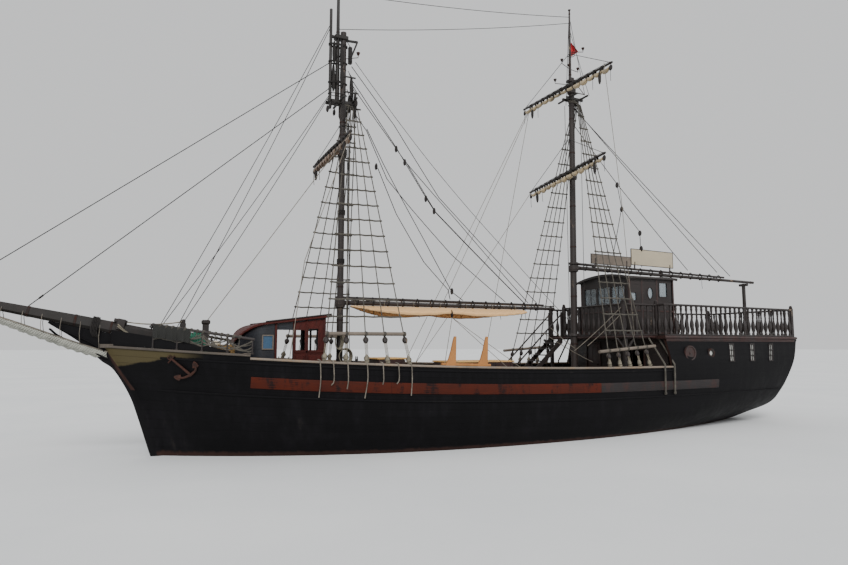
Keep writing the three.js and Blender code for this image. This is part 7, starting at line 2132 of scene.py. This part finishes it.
def make_awning(sizes):
    """Awning under the fore boom: one sheet whose section falls from the ridge and turns down into a
    valance, with two long bellies between its ties and wrinkles that fan out from them."""
    line = smooth_line(AWNING, 12)
    aft, half, drop = (line[:, k][:, None] for k in range(3))
    section = [
        (0, 0), (0.25, 0.1), (0.5, 0.23), (0.75, 0.4), (0.92, 0.56), (1.0, 0.7), (1.01, 0.85), (1.0, 1.0)]
    shape = smooth_line(section, 4)
    side = np.concatenate([-shape[::-1, 0], shape[1:, 0]])[None]
    fall = np.concatenate([shape[::-1, 1], shape[1:, 1]])[None]
    ends = np.clip((aft - AWNING_START) / 0.5, 0, 1) * np.clip((AWNING_END - aft) / 0.3 + 0.3, 0, 1)
    belly = (AWNING_END - AWNING_START) / 2
    scallop = np.abs(np.sin(math.pi * (aft - AWNING_START) / belly)) * ends
    wrinkle = 0.012 * np.sin(17 * aft + 2 * side) * fall * (1 - fall) * 4
    wrinkle = wrinkle + 0.006 * np.sin(41 * aft - 5 * side) * fall
    sag = 0.03 * np.sin(math.pi * np.clip(np.abs(side), 0, 1)) * scallop
    ridge = FORE_BOOM_Z - 0.076 + 0.018 * (aft - 0.2) / FORE_BOOM_LENGTH
    x = FORE_X - aft + 0.012 * np.sin(9 * side) * fall
    y = side * half * (0.985 + 0.015 * scallop) + wrinkle * np.sign(side)
    z = ridge - drop * fall * (0.72 + 0.28 * scallop) - sag + wrinkle * ends
    cloth = grid(stacked(x, y, z), u=aft - AWNING_START)
    piece = built("awning_sheet", [cloth], "awning_cloth", "fore_boom", ["awning"], sharp=80)
    points = cloth.points.reshape(len(aft), -1, 3)
    built("awning_hem", [rope(points[:, -1], 0.007), rope(points[:, 0], 0.007)], "pale_rope", "fore_boom")
    ties, angle = [], around(14)
    for place in (0.45, 1.4, 2.4, 3.34, 4.3, 5.3, 6.2):
        r = boom_radius(place, FORE_BOOM_LENGTH) + 0.006
        loop = stacked(FORE_X - place, r * np.cos(angle), FORE_BOOM_Z + r * np.sin(angle))
        ties.append(rope(loop, 0.007, AHEAD, looped=True))
    built("awning_ties", ties, "pale_rope", "fore_boom")
    tie = np.array([FORE_X - 3.34, 0.86, 3.83])
    shape = [(0.01, 0.14), (0.035, 0.08), (0.045, 0.0), (0.03, -0.08), (0.01, -0.12)]
    built("awning_block", [turned(shape, tie, (0.2, 0.3, 1), 12)], "dark_stained_pine", "fore_boom")
    start = tie + (0, 0.01, -0.1)
    for i, foot in enumerate(((4.1, 2.72, 2.22), (2.05, 2.74, 2.22), (1.6, 2.74, 2.22))):
        line = line_through([foot, (start + foot) / 2, start], 0.009)
        guy = built(f"awning_guy_{i + 1}", [line], "grey_manila", None)
        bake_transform(guy)


def make_flag(sizes):
    """Plain flag on the main pole: a sheet whose fly corner has fallen, so that it hangs as a
    triangle with upright folds."""
    fly = np.linspace(0, 1, 40)[:, None]
    rise = np.linspace(0, 1, 30)[None]
    reach = 0.06 + 0.28 * np.clip(np.minimum(rise / 0.45, (1 - rise) / 0.55), 0, 1)
    x = 0.0126 - reach * fly + 0.02 * np.sin(14 * fly) * fly
    wave = 0.05 * np.sin(13 * fly + 1.5 * rise) + 0.015 * np.sin(29 * fly - 3 * rise)
    y = wave * np.clip(3 * fly, 0, 1)
    z = 13.67 + 0.57 * rise - 0.12 * fly * rise + 0.02 * fly * (1 - rise)
    cloth = rigged([grid(stacked(x, y, z))])
    piece = built("flag_bunting", cloth, "bunting", replaces=["flag"], sharp=80)
    line = [rope([(0.0126, 0, 13.5), (0.0126, 0, 14.4)], 0.006, AHEAD)]
    line += [rope([(0.05, 0, h), (0.0126, 0, h)], 0.005, UP) for h in (13.68, 14.22)]
    built("flag_halyard", rigged(line), "pale_rope")


def make_nets(sizes):
    """Net under the bowsprit, a gathered trough on lines from the spar, and nets heaped on the deck."""
    line = smooth_line(BOW_NET, 14)
    x, top, bottom, half = (line[:, k][:, None] for k in range(4))
    t = np.linspace(-1, 1, 49)[None]
    gather = 0.018 * np.sin(31 * x + 4 * t) + 0.012 * np.sin(67 * x - 7 * t)
    y = half * np.sin(t * math.pi / 2) * (1 + 5 / 3 * gather)
    hang = (top - bottom - 0.012) * np.abs(t) ** 2.6
    pucker = gather * (1 - np.abs(t) ** 4) * np.clip((top - bottom) / 0.25, 0, 1)
    z = bottom + 0.01 + hang + pucker
    net = grid(stacked(x + 0.02 * np.sin(9 * t), y, z))
    piece = built("bow_net", [net], "knotted_net", replaces=["bowsprit_net"], sharp=80)
    ropes = []
    edge = np.column_stack([line[:, 0], line[:, 3], line[:, 1]])
    for side in BOTH:
        ropes.append(tube(edge * (1, side, 1), 0.014, lay=True))
        for k in range(4, len(edge), 9):
            place = edge[k] * (1, side, 1)
            distance = (place[0] - SPRIT_HEEL[0]) / SPRIT_WAY[0]
            head = on_sprit(distance, 0, side * float(sprit_half(distance)))
            ropes.append(rope([place, (place + head) / 2 + (0.02, side * 0.01, 0), head], 0.008, AHEAD))
    built("net_lines", ropes, "grey_manila")
    slings = [line_through([on_sprit(1.5, 0.1, 0.19), (11.45, 0.55, 3.0)], 0.018, 0.12, 8),
              line_through([on_sprit(1.5, 0.05, 0.19), (11.35, 0.8, 2.95)], 0.016, 0.08, 8),
              line_through([on_sprit(1.45, 0.2, 0.1), (BITTS_X, 0.24, 3.5)], 0.016, 0.05, 8)]
    built("bow_ropes", slings, "pale_rope")
    for name, centre, finish, spread, seed, tall, flat in (
            ("heaped_green_net", (10.33, 0.9), "green_knotted_net", 0.34, 3, 0.92, (1.3, 1.5)),
            ("heaped_dark_net", (11.0, 0.35), "tarred_net", 0.36, 5, 0.45, (1.0, 1.1))):
        floor = sheered(centre[0], FORECASTLE_DECK) + 0.004
        piece = built(name, [heap(centre, floor, spread, tall, seed)], finish, sharp=80)
    piece = built("rail_net", [rail_net(10.55, 11.4)], "tarred_net", sharp=80)


def rail_net(aft, fore):
    """Net laced along the forecastle rail: it hangs to the cap, and folds grow towards its foot."""
    x = np.linspace(aft, fore, 60)
    drop = np.linspace(0, 1, 14)[None]
    head = np.array([rail_place(k, PORT, 0.015) for k in x])[:, None]
    fold = drop * (0.022 * np.sin(31 * x[:, None] + 2 * drop) + 0.012 * np.sin(73 * x[:, None]))
    y = head[..., 1] + 0.052 + fold
    z = head[..., 2] - 0.33 * drop + 0.01 * np.sin(17 * x[:, None]) * drop
    return grid(stacked(x[:, None], y, z))


def heap(centre, floor, spread, tall, seed):
    """Cloth or net thrown in a heap: a dome on polar rings, drawn into folds that run down and round
    it and that are deepest half-way down."""
    random = np.random.default_rng(seed).uniform(0, math.tau, 5)
    reach = np.linspace(0.02, 1, 22)[:, None]
    angle = np.linspace(0, math.tau, 61)[None]
    angle = np.where(angle == math.tau, 0, angle)
    broad = 0.1 * np.sin(3 * angle + random[0]) + 0.08 * np.sin(7 * angle + random[1] + 3 * reach)
    lobes = broad + 0.05 * np.sin(13 * angle - 6 * reach + random[2])
    radius = spread * reach * (1 + lobes * reach)
    wide_fold = 0.1 * np.sin(5 * angle + 9 * reach + random[3])
    fold = wide_fold + 0.07 * np.sin(9 * angle - 13 * reach + random[4])
    z = floor + tall * (1 - reach**2) ** 0.8 * (0.85 + fold * np.sin(math.pi * reach))
    points = stacked(centre[0] + radius * np.cos(angle), centre[1] + radius * np.sin(angle), z)
    return grid(points)


def coil(centre, radius=0.2, turns=4, layers=3, wire=0.016):
    """Coil of rope: one line that winds out and in again on each layer."""
    steps = 20
    t = np.arange(turns * layers * steps + 1) / steps
    layer = np.minimum(np.floor(t / turns), layers - 1)
    inner = t / turns - layer
    span = np.where(layer % 2 == 0, inner, 1 - inner)
    r = radius - turns * wire * 2.1 * span
    points = np.column_stack([
        r * np.cos(math.tau * t), r * np.sin(math.tau * t), layer * wire * 1.9 + wire])
    return rope(points + centre, wire, UP)


def make_deck_gear(sizes):
    """Benches, horn timbers and everything that stands, lies or hangs on the deck."""
    for side, name in SIDES:
        parts = []
        for near, far in ((0.13, 0.268), (0.282, 0.42)):
            parts.append(strip(side, -0.7, 5.2, broken(near, far, 1.602, 1.65, 0.008), BULWARK_TOP, 30))
        parts.append(strip(side, -0.7, 5.2, broken(0.35, 0.385, 1.201, 1.603, 0.004), BULWARK_TOP, 30))
        built(f"bench_boards_{name}", parts, "sawn_pine", replaces=[f"bench_{name}"])
    y = beam(3.0, 2.14) - 0.06
    fin = [(0.34, 2.261), (0, 2.261), (-0.02, 3.11), (0.03, 3.115), (0.07, 3.0), (0.13, 2.75), (0.22, 2.48)]
    horns = [plate(np.array(fin) + (aft, 0), y - 0.045, y + 0.045, cut=0.012) for aft in (3.78, 2.77)]
    horns.append(strip(PORT, 2.68, 4.19, broken(0.015, 0.105, 2.2006, 2.2706, 0.01), BULWARK_TOP, 12))
    built("horn_timbers", horns, "oiled_pine", replaces=["boarding_timbers"])
    make_skylights()
    make_coils()
    make_fender_and_posts()
    make_side_ropes()
    make_mast_gear()


def make_skylights():
    """Two panelled trunks with boarded lids along the deck's middle."""
    trunk, lids = [], []
    for aft, fore, half, top in ((0.5, 2.8, 0.62, 2.38), (4.3, 5.15, 0.5, 2.5)):
        foot = sheered(fore) + 0.002
        trunk.append(box((aft, -half, foot), (fore, half, top - 0.05), 0.015))
        for x in np.arange(aft + 0.05, fore, 0.55):
            for side in BOTH:
                trunk.append(box((x, side * half - 0.02, foot + 0.06),
                                 (x + 0.06, side * half + 0.02, top - 0.08), 0.006))
        for y in np.linspace(-half, half - 0.14, 8):
            lids.append(box((aft - 0.05, y, top - 0.05), (fore + 0.05, y + 0.14, top)))
    built("skylight_trunks", trunk, "red_stained_boards")
    built("skylight_lids", lids, "sawn_pine")


def make_coils():
    """Coils of rope on the decks, hanks on the fore mast, and the fife rail with its pins."""
    fore_floor = sheered(10, FORECASTLE_DECK) + 0.002
    deck_coils = [
        coil((5.75, 0.5, sheered(5.75) + 0.002)), coil((5.7, -0.5, sheered(5.75) + 0.002), 0.22, 4, 4),
        coil((-1.9, 0.55, DECK + 0.001)), coil((10.1, -0.8, fore_floor), 0.26, 5, 4),
        coil((-11.0, 1.3, QUARTERDECK + 0.003), 0.22)]
    built("deck_coils", deck_coils, "grey_manila")
    hanks = []
    for x, z, wide, tall in ((6.1, 2.55, 0.17, 0.2), (6.3, 2.98, 0.09, 0.2)):
        for k in range(7):
            loop = [(x + (wide + 0.006 * k) * math.sin(a), 0.12 + 0.022 * k,
                     z + (tall + 0.006 * k) * math.cos(a)) for a in np.linspace(0, math.tau, 17)[:-1]]
            hanks.append(rope(loop, 0.015, ABEAM, looped=True))
    built("mast_hanks", hanks, "pale_rope")
    rail = [box((FORE_X - 0.5, -0.55, 2.32), (FORE_X - 0.38, 0.55, 2.4), 0.012)]
    for side in BOTH:
        rail.append(box((FORE_X - 0.49, side * 0.47 - 0.05, sheered(5.7) + 0.002),
                        (FORE_X - 0.39, side * 0.47 + 0.05, 2.34), 0.012))
    pin = turned([(0.012, -0.14), (0.014, 0.0), (0.024, 0.005), (0.026, 0.05), (0.016, 0.09), (0.02, 0.13),
                  (0.006, 0.15)], (0, 0, 0), UP, 10)
    rail.append(pin.copies(shift(*[(FORE_X - 0.44, y, 2.4) for y in (-0.36, -0.22, 0.22, 0.36)])))
    built("fife_rail", rail, "dark_stained_pine")


def make_fender_and_posts():
    """Ball fender over a basket on its post, and the samson post, all on the forecastle."""
    fore_floor = sheered(10, FORECASTLE_DECK) + 0.002
    ball = [(0.11 * math.sin(a), 0.11 - 0.11 * math.cos(a)) for a in np.linspace(0.05, math.pi - 0.05, 14)]
    fenders = [turned(ball, (9.86, 0.95, fore_floor + 0.4), UP, 20)]
    built("fender_ball", fenders, "moulded_vinyl")
    tub = [(0.2, 0), (0.21, 0.02), (0.24, 0.5), (0.25, 0.52), (0.235, 0.52), (0.22, 0.42), (0.02, 0.4)]
    stand = [turned(tub, (9.62, 0.95, fore_floor), UP, 28)]
    stump = [box((9.8, 0.89, fore_floor), (9.92, 1.01, fore_floor + 0.4), 0.01)]
    built("fender_post", stump, "dark_stained_pine")
    samson_foot = (10.04, 0)
    samson = [post(samson_foot, fore_floor, 3.48, 0.16, 0.012), post(samson_foot, 3.44, 3.56, 0.22, 0.03)]
    built("samson_post", samson, "dark_stained_pine")
    built("fender_basket", stand, "woven_cane")


def make_side_ropes():
    """Rope fenders and hanging ropes over both sides, and ropes at the porch and the stair."""
    ropes, fenders = [], []
    for side in BOTH:
        for x in (-3.9, -4.34):
            y = [side * (beam(x, h) + 0.05) for h in (2.2, 1.3)]
            head = (x, side * 2.14, 3.12)
            fenders += [
                tube([head, (x, y[0], 2.25), (x, y[0], 1.9), (x, y[1], 1.3)], 0.03, 8, AHEAD, lay=True),
                wound((x, y[1], 1.32), 0.035, 0.012, 3, UP, 8),
            ]
        hanging = (
            (7.49, 1.54), (7.16, 1.85), (6.8, 1.75), (6.3, 1.5), (5.88, 1.85), (5.46, 1.86), (5.1, 1.54))
        for i, (x, low) in enumerate(hanging):
            rim = side * (beam(x, 2.17) + 0.055)
            top = sheered(x, CAP_HIGH) + 0.012
            wall = side * (beam(x, low) + 0.02)
            path = smooth_line(
                [(x + 0.03, rim - side * 0.14, top + 0.02), (x + 0.02, rim - side * 0.03, top + 0.012),
                 (x, rim, top - 0.05), (x - 0.02, rim - side * 0.005, 1.98),
                 (x - 0.01 + 0.04 * (i % 2), wall, low)], 5)
            ropes.append(rope(path, 0.015, AHEAD))
    for start, end in (((-0.06, 1.5, 3.28), (-2.05, 1.5, 2.32)), ((-0.37, 1.5, 3.43), (-1.31, 1.5, 2.78)),
                       ((-1.3, 1.5, 2.69), (-3.0, 2.0, 4.24)), ((-1.84, 1.5, 2.85), (-2.95, 1.9, 3.92))):
        ropes.append(line_through([start, end], 0.011, 0.02, 8))
    built("side_ropes", ropes, "grey_manila")
    built("fender_ropes", fenders, "weathered_manila")


def make_mast_gear():
    """Lamps in cups, brackets and trucks on both masts."""
    cup = [(0.012, -0.06), (0.03, -0.04), (0.055, 0.02), (0.06, 0.045), (0.03, 0.06)]
    lamps = []
    for x, y, z in ((-2.07, 0.2, 13.31), (-2.36, 0.24, 13.15), (-2.05, -0.2, 12.7), (-3.1, 0.15, 13.98),
                    (-3.08, -0.15, 13.31), (5.8, 0.2, 11.95)):
        lamps.append(turned(cup, (x, y, z)))
        spar_x = MAIN_X - RAKE * z + 0.06 if x < 0 else FORE_X
        lamps.append(tube(
            [(x, y, z - 0.07), (x, y, z - 0.12), (spar_x, 0, z - 0.16)], 0.012, 8, (0.2, 1, 0.3)))
    lamps += [
        tube([(-2.58, 0, 12.9), (-3.2, 0.0, 12.3)], 0.014, 8, ABEAM),
        tube([(-2.7, 0, 12.28), (-3.24, 0, 12.28)], 0.018, 8, ABEAM),
    ]
    for x, z in ((TOP_X, 15.89), (MAIN_X - RAKE * 15.5 + 0.06, 15.49)):
        lamps.append(turned([(0.02, -0.03), (0.05, -0.02), (0.055, 0.0), (0.03, 0.01)], (x, 0, z), UP, 14))
    built("mast_lamps", lamps, "wrought_iron")


def make_stage():
    """Camera at the photograph's place, pale floor at the waterline, pale sky and soft sun."""
    camera = bpy.data.objects.new("camera", bpy.data.cameras.new("camera"))
    bpy.context.collection.objects.link(camera)
    camera.data.lens, camera.data.sensor_width = 26.745, 36.0
    camera.data.clip_end = 2000
    turn, pitch = math.radians(25), math.radians(5.755)
    look = Vector((-math.sin(turn) * math.cos(pitch), -math.cos(turn) * math.cos(pitch), math.sin(pitch)))
    camera.location = (11.93, 18.22, 2.85)
    camera.rotation_euler = look.to_track_quat("-Z", "Y").to_euler()
    bpy.context.scene.camera = camera
    world = bpy.data.worlds.new("pale_sky")
    world.use_nodes = True
    sky = world.node_tree.nodes["Background"].inputs
    sky["Color"].default_value, sky["Strength"].default_value = linear("#f2f3f4"), 0.9
    bpy.context.scene.world = world
    tree, _, place = started("pale_floor")
    paint = add(tree, "ValToRGB", streaks(tree, place, 0.2),
                stops=[(0.3, linear("#d3d5d6")), (0.7, linear("#dcdddd"))])
    shaded(tree, paint, 0.9)
    reach = 500.0
    corners = np.array(
        [[(-reach, -reach, 0), (-reach, reach, 0)], [(reach, -reach, 0), (reach, reach, 0)]], float)
    floor = bpy.data.objects.new("floor", mesh_of("floor", [facing(grid(corners), UP)]))
    bpy.context.collection.objects.link(floor)
    floor.data.materials.append(bpy.data.materials["pale_floor"])
    for name, strength, spread, direction in (
            ("sun", 2.6, 25, (-0.35, -0.75, -0.65)), ("fill", 0.5, 60, (0.8, -0.35, -0.35))):
        light = bpy.data.objects.new(name, bpy.data.lights.new(name, "SUN"))
        light.data.energy, light.data.angle = strength, math.radians(spread)
        light.rotation_euler = Vector(direction).to_track_quat("-Z", "Y").to_euler()
        bpy.context.collection.objects.link(light)


# Operators and panel
class Step:
    """Runs one of the functions above with the sizes in the panel"""
    bl_options = {"REGISTER", "UNDO"}

    def execute(self, context):
        self.build(context.scene.ship_sizes)
        return {"FINISHED"}


class SHIP_OT_stage(bpy.types.Operator):
    """Adds the camera, floor, sky and light"""
    bl_idname, bl_label = "ship.stage", "Stage"

    def execute(self, context):
        make_stage()
        return {"FINISHED"}


class SHIP_OT_finishes(bpy.types.Operator):
    """Makes every finish from the panel's colours"""
    bl_idname, bl_label = "ship.finishes", "Finishes"

    def execute(self, context):
        make_finishes(context.scene.ship_colours)
        return {"FINISHED"}


class SHIP_OT_hull(Step, bpy.types.Operator):
    """Builds the hull, deck, wales, keel, rudder and propeller"""
    bl_idname, bl_label, build = "ship.hull", "Hull", staticmethod(make_hull)


class SHIP_OT_bulwarks(Step, bpy.types.Operator):
    """Builds the bulwarks with their stanchions and caps"""
    bl_idname, bl_label, build = "ship.bulwarks", "Bulwarks", staticmethod(make_bulwarks)


class SHIP_OT_bow(Step, bpy.types.Operator):
    """Builds the forecastle, stem, bowsprit and anchor"""
    bl_idname, bl_label, build = "ship.bow", "Bow", staticmethod(make_bow)


class SHIP_OT_deckhouse(Step, bpy.types.Operator):
    """Builds the deckhouse"""
    bl_idname, bl_label, build = "ship.deckhouse", "Deckhouse", staticmethod(make_deckhouse)


class SHIP_OT_castle(Step, bpy.types.Operator):
    """Builds the stern castle, its bulkhead and its door"""
    bl_idname, bl_label, build = "ship.castle", "Stern castle", staticmethod(make_castle)


class SHIP_OT_quarterdeck(Step, bpy.types.Operator):
    """Builds the quarterdeck with its rail and stair"""
    bl_idname, bl_label, build = "ship.quarterdeck", "Quarterdeck", staticmethod(make_quarterdeck)


class SHIP_OT_helm(Step, bpy.types.Operator):
    """Builds the helm shelter, pedestal and wheel"""
    bl_idname, bl_label, build = "ship.helm", "Helm", staticmethod(make_helm)


class SHIP_OT_masts(Step, bpy.types.Operator):
    """Builds both masts"""
    bl_idname, bl_label, build = "ship.masts", "Masts", staticmethod(make_masts)


class SHIP_OT_shrouds(Step, bpy.types.Operator):
    """Builds the shrouds with their deadeyes and ratlines"""
    bl_idname, bl_label, build = "ship.shrouds", "Shrouds", staticmethod(make_shrouds)


class SHIP_OT_booms(Step, bpy.types.Operator):
    """Builds the booms, gaffs, boards and crutch"""
    bl_idname, bl_label, build = "ship.booms", "Booms", staticmethod(make_booms)


class SHIP_OT_yards(Step, bpy.types.Operator):
    """Builds the three yards"""
    bl_idname, bl_label, build = "ship.yards", "Yards", staticmethod(make_yards)


class SHIP_OT_rigging(Step, bpy.types.Operator):
    """Builds the stays and the running rigging"""
    bl_idname, bl_label, build = "ship.rigging", "Rigging", staticmethod(make_rigging)


class SHIP_OT_sails(Step, bpy.types.Operator):
    """Builds the furled sails"""
    bl_idname, bl_label, build = "ship.sails", "Sails", staticmethod(make_sails)


class SHIP_OT_awning(Step, bpy.types.Operator):
    """Builds the awning"""
    bl_idname, bl_label, build = "ship.awning", "Awning", staticmethod(make_awning)


class SHIP_OT_flag(Step, bpy.types.Operator):
    """Builds the flag"""
    bl_idname, bl_label, build = "ship.flag", "Flag", staticmethod(make_flag)


class SHIP_OT_nets(Step, bpy.types.Operator):
    """Builds the nets"""
    bl_idname, bl_label, build = "ship.nets", "Nets", staticmethod(make_nets)


class SHIP_OT_deck_gear(Step, bpy.types.Operator):
    """Builds the benches and the gear on deck and masts"""
    bl_idname, bl_label, build = "ship.deck_gear", "Deck gear", staticmethod(make_deck_gear)


OPERATORS = (
    SHIP_OT_stage, SHIP_OT_finishes, SHIP_OT_hull, SHIP_OT_bulwarks, SHIP_OT_bow, SHIP_OT_deckhouse,
    SHIP_OT_castle, SHIP_OT_quarterdeck, SHIP_OT_helm, SHIP_OT_masts, SHIP_OT_shrouds, SHIP_OT_booms,
    SHIP_OT_yards, SHIP_OT_rigging, SHIP_OT_sails, SHIP_OT_awning, SHIP_OT_flag, SHIP_OT_nets,
    SHIP_OT_deck_gear)


class SHIP_PT_sidebar(bpy.types.Panel):
    """Lists the sizes, the colours and the steps"""
    bl_idname, bl_label = "SHIP_PT_sidebar", "Excursion ship"
    bl_space_type, bl_region_type, bl_category = "VIEW_3D", "UI", "Ship"

    def draw(self, context):
        scene = context.scene
        for rows, values in ((SIZES, scene.ship_sizes), (COLOURS, scene.ship_colours)):
            for name, *_ in rows:
                self.layout.prop(values, name)
        for step in OPERATORS:
            self.layout.operator(step.bl_idname)


CLASSES = (ShipColours, ShipSizes, *OPERATORS, SHIP_PT_sidebar)


def register():
    """Registers every class and hangs the two groups on the scene."""
    for kind in CLASSES:
        bpy.utils.register_class(kind)
    bpy.types.Scene.ship_colours = bpy.props.PointerProperty(type=ShipColours)
    bpy.types.Scene.ship_sizes = bpy.props.PointerProperty(type=ShipSizes)


def unregister():
    """Takes both groups off the scene and every class out again."""
    del bpy.types.Scene.ship_sizes
    del bpy.types.Scene.ship_colours
    for kind in reversed(CLASSES):
        bpy.utils.unregister_class(kind)


def main():
    register()
    for step in OPERATORS:
        group, name = step.bl_idname.split(".")
        getattr(getattr(bpy.ops, group), name)()


if __name__ == "__main__":
    main()
